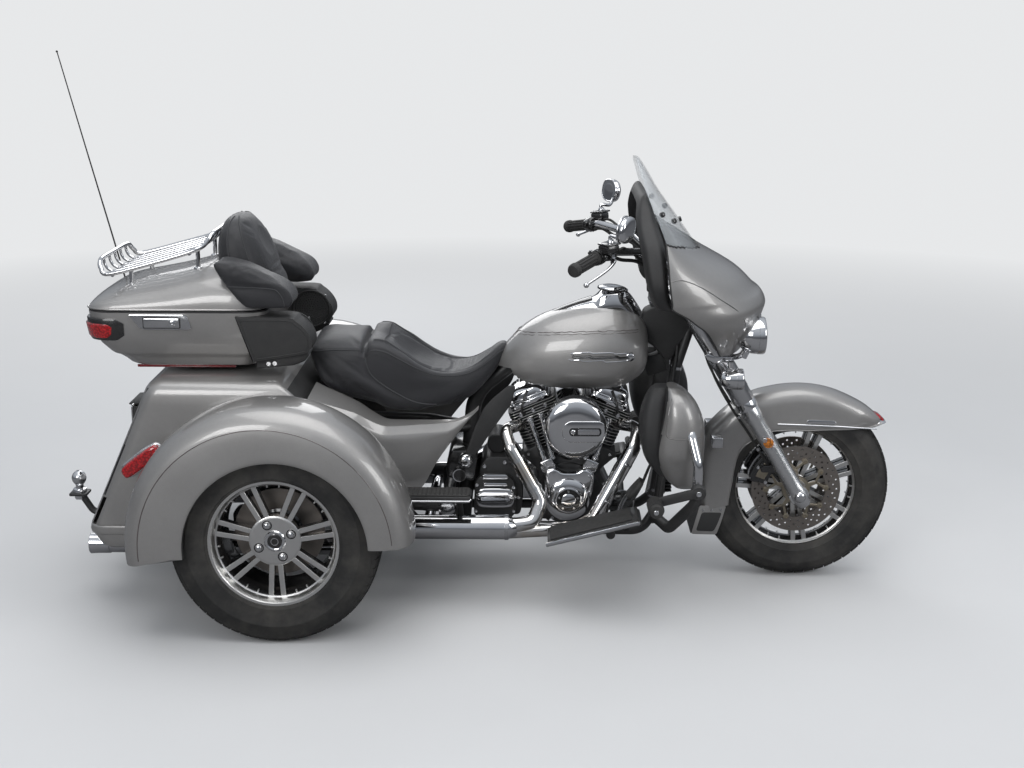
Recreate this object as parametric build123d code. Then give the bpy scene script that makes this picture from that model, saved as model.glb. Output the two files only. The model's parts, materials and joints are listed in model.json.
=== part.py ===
from build123d import *
import os
from math import cos, sin, tan, radians

# A full-size touring trike: one steered front wheel, two driven rear wheels,
# a trunk between the rear fenders and a top case with a hinged lid.
# Millimetres. X points forward, Y to the rider's left and Z up, ground at z = 0.
# Pieces are placed from the rear axle at x = 0. At the end the whole model is
# moved along X so that its bounding box is centred on the origin.

# Overall layout
wheelbase = 1674.0
front_datum = 1674.0       # the wheelbase that the front end's places are given for
rear_track = 1080.0
steering_rake = 26.0       # degrees from vertical, the steering stem
trail = 100.0
fork_angle = 31.0          # degrees from vertical, the fork legs
fork_spacing = 240.0       # between the two fork legs

# Clearances
seat_gap = 0.3             # between pieces that rest on each other
shaft_gap = 0.05           # radial, shaft in bore
moving_gap = 6.0           # between bodies that move past each other

# Rear wheels
rear_tyre_radius = 324.0
rear_tyre_width = 205.0
rear_bead_radius = 191.0
rear_rim_width = 165.0     # between the flanges
rear_hub_radius = 62.0
rear_disc_radius = 140.0

# Front wheel
front_tyre_radius = 320.0
front_tyre_width = 130.0
front_bead_radius = 203.0
front_rim_width = 76.0
front_hub_radius = 38.0
front_disc_radius = 150.0
front_disc_offset = 58.0   # disc's middle plane from the wheel's

# Both kinds of wheel
spoke_pairs = 7
spoke_width = 19.0
spoke_depth = 20.0
spoke_spread = 8.5         # degrees from a pair's middle to each spoke
barrel_wall = 8.0
flange_height = 15.0
flange_thickness = 6.0
disc_thickness = 6.0
axle_radius = 12.5
rear_stub_radius = 20.0
rear_stub_length = 60.0

# Frame tubes
neck_radius = 34.0
stem_radius = 16.0
backbone_radius = 26.0
downtube_radius = 16.0
rail_radius = 14.0
rail_spacing = 260.0
rail_height = 195.0
neck_low = 835.0           # heights of the steering neck's ends on its axis
neck_high = 965.0
front_cross_x = 1068.0      # the cross tubes that carry the engine and the gearbox
rear_cross_x = 650.0
swing_pivot_x = 500.0
swing_pivot_z = 300.0
swing_pivot_radius = 22.0
swing_arm_y = 190.0

# Engine
crank_x = 905.0
crank_z = 316.0
cylinder_tilt = 23.0       # degrees of each cylinder from vertical
cylinder_radius = 60.0
fin_radius = 80.0
fin_thickness = 5.0
fin_pitch = 12.0
fin_count = 12
cylinder_foot = 140.0      # from the crank's axis to the first fin
case_half_width = 108.0
cam_cover_radius = 88.0
air_cleaner_radius = 102.0
rocker_height = 62.0
head_height = 45.0

# Exhaust
header_radius = 25.0
muffler_radius = 40.0
muffler_height = 258.0
muffler_y = 285.0
muffler_front_x = 735.0
tail_radius = 33.0
tail_height = 180.0
tail_x = -678.0
tail_y = 250.0

# Bodywork
panel_wall = 6.0
trunk_half_width = 395.0
trunk_edge_radius = 40.0   # the long rounded edges on top
trunk_front_x = 75.0
trunk_chamfer_long = 85.0   # the slope at the top of the trunk's front
trunk_chamfer_high = 75.0
trunk_top_z = 765.0
trunk_floor_z = 392.0
trunk_skirt_z = 293.0        # lower edge of the trunk's skirt
bumper_low_z = 216.0
fender_side_y = 694.0
fender_radius = 443.0
fender_opening_radius = 284.0
front_fender_radius = 350.0
front_fender_half_width = 76.0
front_fender_lip_radius = 230.0
front_fender_wall = 4.0

# Top case
case_seam_z = 970.0
case_floor_z = 786.0
case_rear_x = -637.0
case_front_x = -62.0
case_half_y = 285.0
case_wall = 6.0
hinge_places = (-480.0, -250.0)
hinge_radius = 6.0
hinge_pin_radius = 3.0
hinge_y = case_half_y + 7.0

# Trunk door, in the sloping rear face of the trunk
door_thickness = 18.0
door_low_z = 420.0
door_high_z = 690.0
door_half_width = 290.0
door_hinge_places = (-200.0, 200.0)

# Plate holder
plate_width = 190.0
plate_height = 112.0
plate_low_z = 498.0
plate_wall = 3.0
plate_hole_span_y = 146.0
plate_hole_span_z = 70.0
plate_hole_radius = 3.5

# Handlebar, fork and fairing
slider_radius = 31.0
cover_radius = 36.0
bar_radius = 12.7
grip_radius = 19.0
fairing_wall = 6.0
windshield_wall = 6.0
antenna_radius = 2.5
lamp_bar_x = wheelbase - 250.0
lamp_bar_z = 797.0


def flat_y(points, y, radius=0):
    corners = [(x, y, z) for x, z in points]
    if radius:
        return make_face(FilletPolyline(*corners, radius=radius, close=True))
    return make_face(Polyline(*corners, close=True))


def slab_y(points, y_low, y_high, radius=0):
    # A side outline of (x, z) points, thick along Y.
    return extrude(flat_y(points, y_low, radius), amount=y_high - y_low, dir=(0, 1, 0))


def slab_z(points, z_low, z_high, radius=0):
    # A plan outline of (x, y) points, thick along Z.
    corners = [(x, y, z_low) for x, y in points]
    line = FilletPolyline(*corners, radius=radius, close=True) if radius else Polyline(*corners, close=True)
    return extrude(make_face(line), amount=z_high - z_low, dir=(0, 0, 1))


def slab_x(points, x_low, x_high, radius=0):
    # A cross outline of (y, z) points, thick along X.
    corners = [(x_low, y, z) for y, z in points]
    line = FilletPolyline(*corners, radius=radius, close=True) if radius else Polyline(*corners, close=True)
    return extrude(make_face(line), amount=x_high - x_low, dir=(1, 0, 0))


def block(x, y, z):
    # A box from three (low, high) pairs.
    size = [high - low for low, high in (x, y, z)]
    middle = [(high + low) / 2 for low, high in (x, y, z)]
    return Pos(*middle) * Box(*size)


def rod(start, end, radius):
    start = Vector(*start)
    end = Vector(*end)
    plane = Plane(origin=start, z_dir=end - start)
    return Solid.make_cylinder(radius, (end - start).length, plane)


def bent_tube(points, radius, bends):
    path = FilletPolyline(*points, radius=bends)
    start = Plane(origin=path @ 0, z_dir=path % 0)
    return sweep(start * Circle(radius), path=path)


def disc_y(x, z, y_low, y_high, radius):
    return rod((x, y_low, z), (x, y_high, z), radius)


def fused(shapes):
    whole = shapes[0]
    return whole.fuse(*shapes[1:]) if len(shapes) > 1 else whole


def largest(shape):
    return max(shape.solids(), key=lambda solid: solid.volume)


def both_sides(shape):
    return Compound([shape, mirror(shape, about=Plane.XZ)])


def fused_both(shape):
    return fused([shape, mirror(shape, about=Plane.XZ)])


def section_x(x, half_y, z_low, z_high, radius):
    # One cross-section of a loft along X, a rectangle with round corners.
    corners = [(x, half_y, z_low), (x, half_y, z_high), (x, -half_y, z_high), (x, -half_y, z_low)]
    return make_face(FilletPolyline(*corners, radius=radius, close=True))


def section_z(z, x_low, x_high, y_low, y_high, radius):
    corners = [(x_low, y_low, z), (x_high, y_low, z), (x_high, y_high, z), (x_low, y_high, z)]
    return make_face(FilletPolyline(*corners, radius=radius, close=True))


def bow_section(z, nose_x, side_x, half_y, wall):
    # One level of a shell that bows forward: an arc band open to the rear.
    outer = ThreePointArc((side_x, -half_y, z), (nose_x, 0, z), (side_x, half_y, z))
    inner = ThreePointArc((side_x, -half_y + wall, z), (nose_x - wall, 0, z), (side_x, half_y - wall, z))
    ends = [Line(outer @ 0, inner @ 0), Line(outer @ 1, inner @ 1)]
    return make_face(Curve() + [outer, inner, *ends])


def turned_y(profile, start_angle, arc, centre):
    # Turns (y, r) points about a cross axis, from start_angle, by arc degrees.
    # Angles run from the rear over the top to the front.
    corners = [(-r, y, 0) for y, r in profile]
    face = make_face(Polyline(*corners, close=True))
    shape = revolve(face, axis=Axis((0, 0, 0), (0, 1, 0)), revolution_arc=arc)
    return Pos(centre[0], 0, centre[1]) * Rot(0, start_angle, 0) * shape


def steering_x(z):
    # The steering axis in side view.
    return wheelbase + trail - z * tan(radians(steering_rake))


def ahead(x):
    # A place on the front end, which moves with the wheelbase.
    return x + wheelbase - front_datum


def fork_x(z):
    # The fork legs' centre line in side view, through the front axle.
    return wheelbase - (z - front_tyre_radius) * tan(radians(fork_angle))


def tyre(radius, width, bead_radius, rim_width):
    half_bead = rim_width / 2 - seat_gap
    foot = bead_radius + seat_gap
    half = [(half_bead, foot), (half_bead, foot + flange_height + 6), (width / 2, (radius + foot) / 2 + 8),
            (width / 2 - 9, radius - 22), (width / 2 - 28, radius - 4), (width / 6, radius)]
    other = [(-y, r) for y, r in reversed(half)]
    return turned_y(half + other, 0, 360, (0, 0))


def rim_barrel(bead_radius, rim_width):
    half = rim_width / 2
    inner = bead_radius - barrel_wall
    edge = half + flange_thickness
    top = bead_radius + flange_height
    profile = [(-edge, inner), (edge, inner), (edge, top), (half, top), (half, bead_radius),
               (-half, bead_radius), (-half, top), (-edge, top)]
    return turned_y(profile, 0, 360, (0, 0))


def spokes(bead_radius, hub_radius, spoke_y):
    inner = hub_radius - 6
    outer = bead_radius - barrel_wall / 2
    bar = Pos((inner + outer) / 2, spoke_y, 0) * Box(outer - inner, spoke_depth, spoke_width)
    bars = []
    for pair in range(spoke_pairs):
        for side in (-1, 1):
            angle = pair * 360 / spoke_pairs + side * spoke_spread
            bars.append(Rot(0, angle, 0) * bar)
    return bars


def rear_rim(side):
    # side is 1 on the left and -1 on the right; the wheel's outer face is away from the trunk.
    edge = rear_rim_width / 2
    spoke_y = side * (edge - spoke_depth)
    hub = disc_y(0, 0, side * (-edge + 20), side * (edge - 6), rear_hub_radius)
    cap = disc_y(0, 0, side * (edge - 6), side * (edge + 8), 32)
    disc = disc_y(0, 0, side * (-edge + 4), side * (-edge + 4 + disc_thickness), rear_disc_radius)
    carrier = disc_y(0, 0, side * (-edge + 4), side * (-edge + 24), rear_hub_radius)
    parts = [rim_barrel(rear_bead_radius, rear_rim_width), hub, cap, disc, carrier]
    whole = fused(parts + spokes(rear_bead_radius, rear_hub_radius, spoke_y))
    bore = disc_y(0, 0, side * (-edge - 1), side * (-edge + rear_stub_length + 2), rear_stub_radius + shaft_gap)
    return whole - bore


def front_rim():
    hub_end = front_disc_offset + disc_thickness
    hub = disc_y(0, 0, -hub_end, hub_end, front_hub_radius)
    parts = [rim_barrel(front_bead_radius, front_rim_width), hub]
    parts += spokes(front_bead_radius, front_hub_radius, 0)
    for side in (-1, 1):
        middle = side * front_disc_offset
        disc = disc_y(0, 0, middle - disc_thickness / 2, middle + disc_thickness / 2, front_disc_radius)
        hole = disc_y(0, 0, middle - disc_thickness, middle + disc_thickness, 96)
        spider = disc_y(0, 0, middle - disc_thickness / 2, middle + disc_thickness / 2, 62)
        arms = [Rot(0, turn * 60, 0) * Pos(80, middle, 0) * Box(50, disc_thickness, 16) for turn in range(6)]
        parts.append(fused([disc - hole, spider, *arms]))
    return fused(parts) - disc_y(0, 0, -hub_end - 1, hub_end + 1, axle_radius + shaft_gap)


def wheels():
    front = Pos(wheelbase, 0, front_tyre_radius)
    pieces["front_rim"] = front * front_rim()
    pieces["front_tyre"] = front * tyre(front_tyre_radius, front_tyre_width, front_bead_radius, front_rim_width)
    for name, side in (("left", 1), ("right", -1)):
        place = Pos(0, side * rear_track / 2, rear_tyre_radius)
        pieces["rear_rim_" + name] = place * rear_rim(side)
        pieces["rear_tyre_" + name] = place * tyre(
            rear_tyre_radius, rear_tyre_width, rear_bead_radius, rear_rim_width)


def rear_axle():
    z = rear_tyre_radius
    wheel_face = rear_track / 2 - rear_rim_width / 2
    housing_end = wheel_face - moving_gap
    stub_end = wheel_face + rear_stub_length
    housing = disc_y(0, z, -housing_end, housing_end, 36)
    drive_case = disc_y(0, z, -80, 80, 62)
    stubs = disc_y(0, z, -stub_end, stub_end, rear_stub_radius)
    flanges = [disc_y(0, z, side * (housing_end - 14), side * housing_end, 60) for side in (-1, 1)]
    arms = [rod((10, side * swing_arm_y, z), (swing_pivot_x, side * swing_arm_y, swing_pivot_z), 24)
            for side in (-1, 1)]
    pivot = disc_y(swing_pivot_x, swing_pivot_z, -swing_arm_y - 20, swing_arm_y + 20, swing_pivot_radius)
    caliper_y = housing_end - 40
    calipers = [block((-165, -70), (side * caliper_y - 16, side * caliper_y + 16), (z - 40, z + 50))
                for side in (-1, 1)]
    brackets = [block((-100, 0), (side * caliper_y - 8, side * caliper_y + 8), (z - 20, z + 20))
                for side in (-1, 1)]
    return fused([housing, drive_case, stubs, *flanges, *arms, pivot, *calipers, *brackets])


def frame_tubes():
    neck = rod((steering_x(neck_low), 0, neck_low), (steering_x(neck_high), 0, neck_high), neck_radius)
    bore = rod((steering_x(neck_low - 20), 0, neck_low - 20), (steering_x(neck_high + 20), 0, neck_high + 20),
               stem_radius + shaft_gap)
    backbone = bent_tube(backbone_route(), backbone_radius, [200, 120])
    half = rail_spacing / 2
    tubes = []
    for side in (-1, 1):
        y = side * half
        down = [(steering_x(900) - 22, side * 20, 900), (ahead(1262), side * 36, 740),
                (ahead(1205), side * 80, 260),
                (1150, y, rail_height),
                (420, y, rail_height), (300, y, 330), (trunk_front_x - 20, y, 430)]
        tubes.append(bent_tube(down, downtube_radius, [200, 110, 60, 90, 90]))
        upper = [(566, side * 16, 520), (430, side * 100, 520), (trunk_front_x - 20, side * 150, 520)]
        tubes.append(bent_tube(upper, rail_radius, [60]))
        tubes.append(block((swing_pivot_x - 30, swing_pivot_x + 34), (y - 6, y + 6),
                           (rail_height, swing_pivot_z + 40)))
    crosses = [disc_y(x, rail_height, -half, half, rail_radius) for x in (front_cross_x, rear_cross_x)]
    pivot_hole = disc_y(swing_pivot_x, swing_pivot_z, -half - 10, half + 10, swing_pivot_radius + seat_gap)
    behind = block((0, trunk_front_x + seat_gap), (-half - 60, half + 60), (300, 600))
    return fused([neck, backbone, *tubes, *crosses]) - bore - pivot_hole - behind


def backbone_route():
    return [(steering_x(905) - 4, 0, 905), (800, 0, 808), (585, 0, 636), (545, 0, rail_height)]


def engine_block():
    outline = [(790, 225), (1030, 225), (1050, 300), (1000, 400), (1065, 450), (1010, 480),
               (905, 425), (800, 480), (745, 450), (800, 400)]
    case = slab_y(outline, -case_half_width, case_half_width)
    shaft = disc_y(crank_x, crank_z, -case_half_width, case_half_width, 112)
    foot = block((front_cross_x - 18, front_cross_x + 18), (-40, 40), (rail_height + rail_radius + seat_gap, 262))
    web = block((1020, front_cross_x), (-40, 40), (240, 262))
    return fused([case, shaft, foot, web])


def along_cylinder(side, distance, y=0):
    # A point on a cylinder's axis. side is 1 for the front cylinder, -1 for the rear.
    lean = radians(cylinder_tilt) * side
    return (crank_x + distance * sin(lean), y, crank_z + distance * cos(lean))


def cylinders():
    both = []
    for side in (-1, 1):
        top = cylinder_foot + fin_count * fin_pitch
        crown = along_cylinder(side, top + head_height)
        parts = [rod(along_cylinder(side, cylinder_foot - 20), crown, cylinder_radius)]
        for fin in range(fin_count):
            start = cylinder_foot + fin * fin_pitch
            parts.append(rod(along_cylinder(side, start), along_cylinder(side, start + fin_thickness), fin_radius))
        head = rod(along_cylinder(side, top), along_cylinder(side, top + head_height), fin_radius)
        beyond = block((crank_x - side * 400, crank_x + side * 0.5)[::side], (-200, 200), (200, 900))
        both.append(largest(fused(parts + [head]) - beyond - engine_shape))
    return Compound(both)


def rocker_covers():
    covers = []
    for side in (-1, 1):
        low = cylinder_foot + fin_count * fin_pitch + head_height + seat_gap
        plane = Plane(origin=along_cylinder(side, low),
                      x_dir=(cos(radians(cylinder_tilt)), 0, -side * sin(radians(cylinder_tilt))),
                      z_dir=(side * sin(radians(cylinder_tilt)), 0, cos(radians(cylinder_tilt))))
        foot = extrude(plane * RectangleRounded(138, 178, 26), amount=18)
        lid = extrude(plane.offset(18) * RectangleRounded(118, 158, 30), amount=rocker_height - 18)
        covers.append(foot + lid)
    return Compound(covers)


def cam_cover():
    low = -case_half_width - seat_gap
    cover = disc_y(crank_x, crank_z, low, low - 62, cam_cover_radius)
    ring = disc_y(crank_x, crank_z, low - 62, low - 72, 48)
    neck = slab_y([(850, 380), (960, 380), (1000, 430), (965, 462), (905, 415), (845, 462), (810, 430)], low - 50, low)
    whole = fused([cover, ring, neck])
    tubes = []
    for side in (-1, 1):
        for step in (-1, 1):
            foot = (crank_x + side * 62 + step * 16, low - 30, crank_z + 110)
            head = along_cylinder(side, cylinder_foot + fin_count * fin_pitch + 30, low - 22)
            tubes.append(rod(foot, (head[0] + step * 20, head[1], head[2]), 10))
    return fused([whole, *tubes])


def air_cleaner():
    x, z = crank_x + 18, crank_z + 259
    back = disc_y(x, z, -150, -208, air_cleaner_radius - 8)
    front = disc_y(x, z, -208, -242, air_cleaner_radius)
    throat = disc_y(crank_x + 6, z - 16, -64, -152, 32)
    bolt_x, _, bolt_z = along_cylinder(1, 276)
    bolt = disc_y(bolt_x + 3, bolt_z, -fin_radius - seat_gap, -155, 8)
    return fused([back, front, throat, bolt]) - cylinder_envelope(seat_gap)


def gearbox():
    half = case_half_width
    case = slab_y([(612, 240), (740, 240), (745, 400), (720, 440), (628, 440), (612, 400)], -half, half, 12)
    cover = slab_y([(590, 245), (715, 245), (722, 310), (712, 366), (600, 366), (585, 310)], -half - 44, -half, 22)
    starter = disc_y(664, 474, -60, 60, 34)
    foot = block((rear_cross_x - 18, rear_cross_x + 18), (-40, 40), (rail_height + rail_radius + seat_gap, 262))
    return fused([case, cover, starter, foot])


def primary_cover():
    low = case_half_width + seat_gap
    ends = [(crank_x, crank_z, 98), (640, 310, 90)]
    discs = [disc_y(x, z, low, low + 80, r) for x, z, r in ends]
    bar = slab_y([(640, 220), (crank_x, 218), (crank_x, 414), (640, 400)], low, low + 80)
    derby = disc_y(660, 310, low + 80, low + 94, 66)
    return fused([*discs, bar, derby])


def exhaust_pipes():
    y = -muffler_y
    rear = bent_tube([(752, -40, 548), (690, -150, 548), (712, -200, 500), (812, -235, 330),
                      (786, -268, muffler_height + 4), (muffler_front_x - 30, y, muffler_height)],
                     header_radius, [28, 30, 70, 28])
    front = bent_tube([(1060, -30, 548), (1135, -130, 556), (1112, -195, 500), (975, -235, muffler_height + 6),
                       (850, -255, muffler_height), (775, y, muffler_height), (muffler_front_x - 30, y, muffler_height)],
                      header_radius, [30, 30, 60, 100, 60])
    behind = block((600, muffler_front_x), (y - 60, y + 80), (muffler_height - 60, muffler_height + 60))
    return fused([rear, front]) - behind - cylinder_envelope(seat_gap)


def mufflers():
    parts = []
    for side, front in ((-1, muffler_front_x - seat_gap), (1, 560)):
        y = side * muffler_y
        parts.append(rod((front, y, muffler_height), (350, y, muffler_height), muffler_radius))
        tail = [(360, y, muffler_height), (300, y, muffler_height), (190, side * (tail_y + 10), tail_height),
                (-330, side * tail_y, tail_height), (tail_x, side * tail_y, tail_height)]
        parts.append(bent_tube(tail, tail_radius, [60, 120, 400]))
    cross = disc_y(440, muffler_height - 8, -muffler_y, muffler_y, 20)
    return fused([*parts, cross])


def tank_body(grow):
    # x, half width, low z, high z, corner radius
    rows = [(662, 44, 706, 782, 30), (740, 104, 694, 862, 66), (860, 150, 684, 922, 88),
            (1010, 168, 686, 950, 100), (1110, 158, 706, 930, 92), (1156, 120, 748, 884, 60)]
    rows[0] = (rows[0][0] - grow, *rows[0][1:])
    rows[-1] = (rows[-1][0] + grow, *rows[-1][1:])
    return loft([section_x(x, half + grow, low - grow, high + grow, corner)
                 for x, half, low, high, corner in rows])


def fuel_tank():
    tunnel = slab_y([(640, 640), (1200, 640), (1200, 800), (1000, 800), (760, 742), (640, 742)], -98, 98)
    backbone = bent_tube(backbone_route(), backbone_radius + seat_gap, [200, 120])
    half = backbone_radius + seat_gap
    slot = slab_y([(640, 640), (1200, 640), (1200, 884), (800, 808), (640, 680)], -half, half)
    return tank_body(0) - tunnel - backbone - slot


def tank_console():
    outline = [(672, 740), (700, 792), (800, 900), (900, 950), (1000, 986), (1060, 1000), (1098, 985),
               (1150, 905), (1140, 880), (1040, 900), (860, 860), (700, 740)]
    plan = [(660, -26), (1010, -62), (1080, -62), (1160, -34), (1160, 34), (1080, 62), (1010, 62), (660, 26)]
    strip = slab_y(outline, -70, 70) & slab_z(plan, 600, 1100)
    door = Pos(985, 0, 982) * Rot(0, -20, 0) * Cylinder(36, 12)
    return (strip + door) - tank_body(seat_gap)


def seat():
    side = [(364, 616), (300, 624), (232, 652), (118, 682), (50, 744), (50, 822), (95, 854), (190, 848), (262, 852),
            (305, 846), (350, 800), (420, 760), (520, 738), (580, 756), (676, 824), (700, 806), (668, 735), (598, 646)]
    plan = [(40, -150), (230, -178), (460, -172), (560, -130), (705, -70), (705, 70), (560, 130), (460, 172),
            (230, 178), (40, 150)]
    cushion = slab_y(side, -200, 200, 8) & slab_z(plan, 500, 1000, 20)
    channel = bent_tube(backbone_route(), backbone_radius + seat_gap, [200, 120])
    return cushion - tank_body(seat_gap) - channel - trunk_shape(-seat_gap)


def side_covers():
    side = [(trunk_front_x + seat_gap, 690), (216, 648), (306, 592), (330, 590), (539, 592), (606, 632), (560, 560),
            (473, 464), (417, 373), (250, 373), (trunk_front_x + seat_gap, 420)]
    plan = [(60, -330), (300, -250), (620, -172), (620, -160), (296, -238), (60, -318)]
    return both_sides(slab_y(side, -400, 0) & slab_z(plan, 300, 800))


def rear_slope_x(z):
    # The trunk's sloping rear face in side view.
    return -424 - (trunk_top_z - z) * 215 / 472


def trunk_shape(inset):
    # The trunk's outer block, or its inside when inset is the wall.
    low = trunk_floor_z + inset
    high = trunk_top_z - inset
    front = trunk_front_x - inset
    side = [(rear_slope_x(low) + inset * 1.2, low), (rear_slope_x(high) + inset * 1.2, high),
            (front - trunk_chamfer_long, high), (front, high - trunk_chamfer_high), (front, low)]
    half = trunk_half_width - inset
    cross = [(-half, low - 90), (half, low - 90), (half, high), (-half, high)]
    return slab_y(side, -half, half) & slab_x(cross, rear_slope_x(low) - 20, front + 20, trunk_edge_radius - inset)


def trunk_body():
    body = trunk_shape(0) - trunk_shape(panel_wall)
    opening = slab_y([(rear_slope_x(door_low_z) - 60, door_low_z - moving_gap),
                      (rear_slope_x(door_low_z) + 60, door_low_z - moving_gap),
                      (rear_slope_x(door_high_z) + 60, door_high_z + moving_gap),
                      (rear_slope_x(door_high_z) - 60, door_high_z + moving_gap)],
                     -door_half_width - moving_gap, door_half_width + moving_gap)
    skirt_low = trunk_skirt_z
    skirt = slab_y([(rear_slope_x(skirt_low), skirt_low), (rear_slope_x(trunk_floor_z), trunk_floor_z),
                    (-210, trunk_floor_z), (-330, skirt_low + 40), (-420, skirt_low)],
                   -trunk_half_width, trunk_half_width)
    inside = slab_y([(rear_slope_x(skirt_low) + panel_wall * 1.2, skirt_low - 5),
                     (rear_slope_x(trunk_floor_z) + panel_wall * 1.2, trunk_floor_z),
                     (0, trunk_floor_z), (0, skirt_low - 5)],
                    -trunk_half_width + panel_wall, trunk_half_width - panel_wall)
    return fused([(body + (skirt - inside)) - opening, *door_knuckles()])


def door_hinge():
    # The door's hinge axis in side view, just outside the sloping face.
    z = door_low_z - 3
    return rear_slope_x(z) - 7, z


def trunk_door():
    side = [(rear_slope_x(door_low_z), door_low_z), (rear_slope_x(door_high_z), door_high_z),
            (rear_slope_x(door_high_z) + door_thickness, door_high_z),
            (rear_slope_x(door_low_z) + door_thickness, door_low_z)]
    panel = slab_y(side, -door_half_width, door_half_width)
    handle_z = door_high_z - 60
    handle = block((rear_slope_x(handle_z) - 22, rear_slope_x(handle_z) + 8), (-60, 60), (handle_z - 12, handle_z + 12))
    x, z = door_hinge()
    leaves = []
    for y in door_hinge_places:
        leaves.append(disc_y(x, z, y - 13.5, y + 13.5, hinge_radius))
        leaves.append(slab_y([(x - 3, z + 2), (x + 22, z + 4), (x + 28, z + 30), (x + 6, z + 30)], y - 13.5, y + 13.5))
    bore = disc_y(x, z, -300, 300, hinge_pin_radius + shaft_gap)
    return fused([panel, handle, *leaves]) - bore


def plate_holder():
    # A blank upright plate on two gussets, which stand on the sloping door.
    half = plate_width / 2
    high = plate_low_z + plate_height
    top_x = rear_slope_x(high) - seat_gap * 1.1
    low_x = rear_slope_x(plate_low_z) - seat_gap * 1.1
    face_x = low_x - 12
    plate = block((face_x, face_x + plate_wall), (-half, half), (plate_low_z, high))
    side = [(face_x, plate_low_z), (low_x, plate_low_z), (top_x, high), (face_x, high)]
    gussets = [slab_y(side, y - 3, y + 3) for y in (-half + 3, half - 3)]
    hood = block((face_x - 16, top_x), (-half, half), (high - 4, high))
    hood = hood & slab_y([(face_x - 16, high - 4), (top_x - 4, high - 4), (top_x, high), (face_x - 16, high)], -half, half)
    holes = [rod((face_x - 2, y * plate_hole_span_y / 2, plate_middle_z() + z * plate_hole_span_z / 2),
                 (face_x + plate_wall + 2, y * plate_hole_span_y / 2, plate_middle_z() + z * plate_hole_span_z / 2),
                 plate_hole_radius) for y in (-1, 1) for z in (-1, 1)]
    return fused([plate, *gussets, hood]) - holes


def plate_middle_z():
    return plate_low_z + plate_height / 2


def door_knuckles():
    x, z = door_hinge()
    parts = []
    for y in door_hinge_places:
        parts.append(disc_y(x, z, y - 40, y + 40, hinge_pin_radius))
        for low, high in ((y - 40, y - 14), (y + 14, y + 40)):
            parts.append(disc_y(x, z, low, high, hinge_radius))
            parts.append(slab_y([(x - 3, z - 2), (x + 12, z - 2), (x + 2, z - 26), (x - 8, z - 26)], low, high))
    return parts


def fender_profile(inset):
    # (y, r) points of the rear fender's section, from the wheel opening to the trunk.
    side = fender_side_y - inset
    crown = fender_radius - inset
    inner = trunk_half_width + seat_gap
    return [(side, fender_opening_radius), (side, crown - 66), (side - 22, crown - 24), (side - 70, crown),
            (side - 150, crown - 6), (inner, crown - 34)]


def rear_fender():
    outer = fender_profile(0)
    inner = [(y, r) for y, r in reversed(fender_profile(panel_wall))]
    profile = outer + inner
    centre = (-16, rear_tyre_radius - 6)
    return turned_y(profile, -8, 191, centre)


def rear_bumper():
    low = bumper_low_z
    high = trunk_skirt_z - seat_gap
    half = trunk_half_width - 3
    bar = slab_y([(-638, high), (-640, 262), (-606, low), (-560, low), (-560, high)], -half, half)
    ends = [slab_y([(-606, low), (-640, 262), (-638, high), (-480, high), (-470, low + 9)], *span)
            for span in ((-half, -half + 20), (half - 20, half))]
    return fused([bar, *ends])


def hitch():
    plate = bent_tube([(-640, 0, 200), (-740, 0, 200), (-785, 0, 262)], 11, [40])
    stem = rod((-785, 0, 255), (-785, 0, 310), 12)
    ball = Pos(-785, 0, 324) * Sphere(25)
    seat_plate = rod((-785, 0, 268), (-785, 0, 276), 24)
    crossbar = rod((-560, 0, 200), (-660, 0, 200), 14)
    receiver = block((-700, -300), (-20, 20), (185, bumper_low_z - seat_gap))
    return fused([plate, stem, ball, seat_plate, crossbar, receiver])


def case_level(z, inset, shrink):
    return section_z(z, case_rear_x + inset + shrink, case_front_x - inset - shrink * 0.3,
                     -case_half_y + inset + shrink * 0.4, case_half_y - inset - shrink * 0.4, 70 - inset)


def knuckles(lengths, axis_y, axis_z, radius):
    # Barrels of a hinge along X, from (low, high) pairs.
    return [rod((low, axis_y, axis_z), (high, axis_y, axis_z), radius) for low, high in lengths]


def case_block(grow):
    return loft([case_level(case_floor_z - grow, -grow, 90), case_level(case_floor_z + 50, -grow, 30),
                 case_level(case_seam_z - 2 + grow, -grow, 0)])


def topcase_box():
    inner = loft([case_level(case_floor_z + case_wall, case_wall, 90), case_level(case_floor_z + 50, case_wall, 30),
                  case_level(case_seam_z - 1, case_wall, 0)])
    legs = [block((x - 20, x + 20), (side * 120 - 15, side * 120 + 15), (trunk_top_z + seat_gap, case_floor_z + 2))
            for x in (-330, -150) for side in (-1, 1)]
    barrels = []
    for x in hinge_places:
        spans = [(x - 40, x - 14), (x + 14, x + 40)]
        barrels += knuckles(spans, hinge_y, case_seam_z, hinge_radius)
        barrels += knuckles([(x - 40, x + 40)], hinge_y, case_seam_z, hinge_pin_radius)
        barrels += [block(span, (case_half_y - 8, hinge_y + 3), (case_seam_z - 26, case_seam_z)) for span in spans]
    return fused([case_block(0) - inner, *legs, *barrels]) - hinge_relief()


def hinge_relief():
    # Keeps the fixed leaves below the seam inside the wall line.
    return block((case_rear_x - 9, case_front_x + 9), (0, case_half_y - 1), (case_seam_z - 1.5, case_seam_z + 9))


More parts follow.
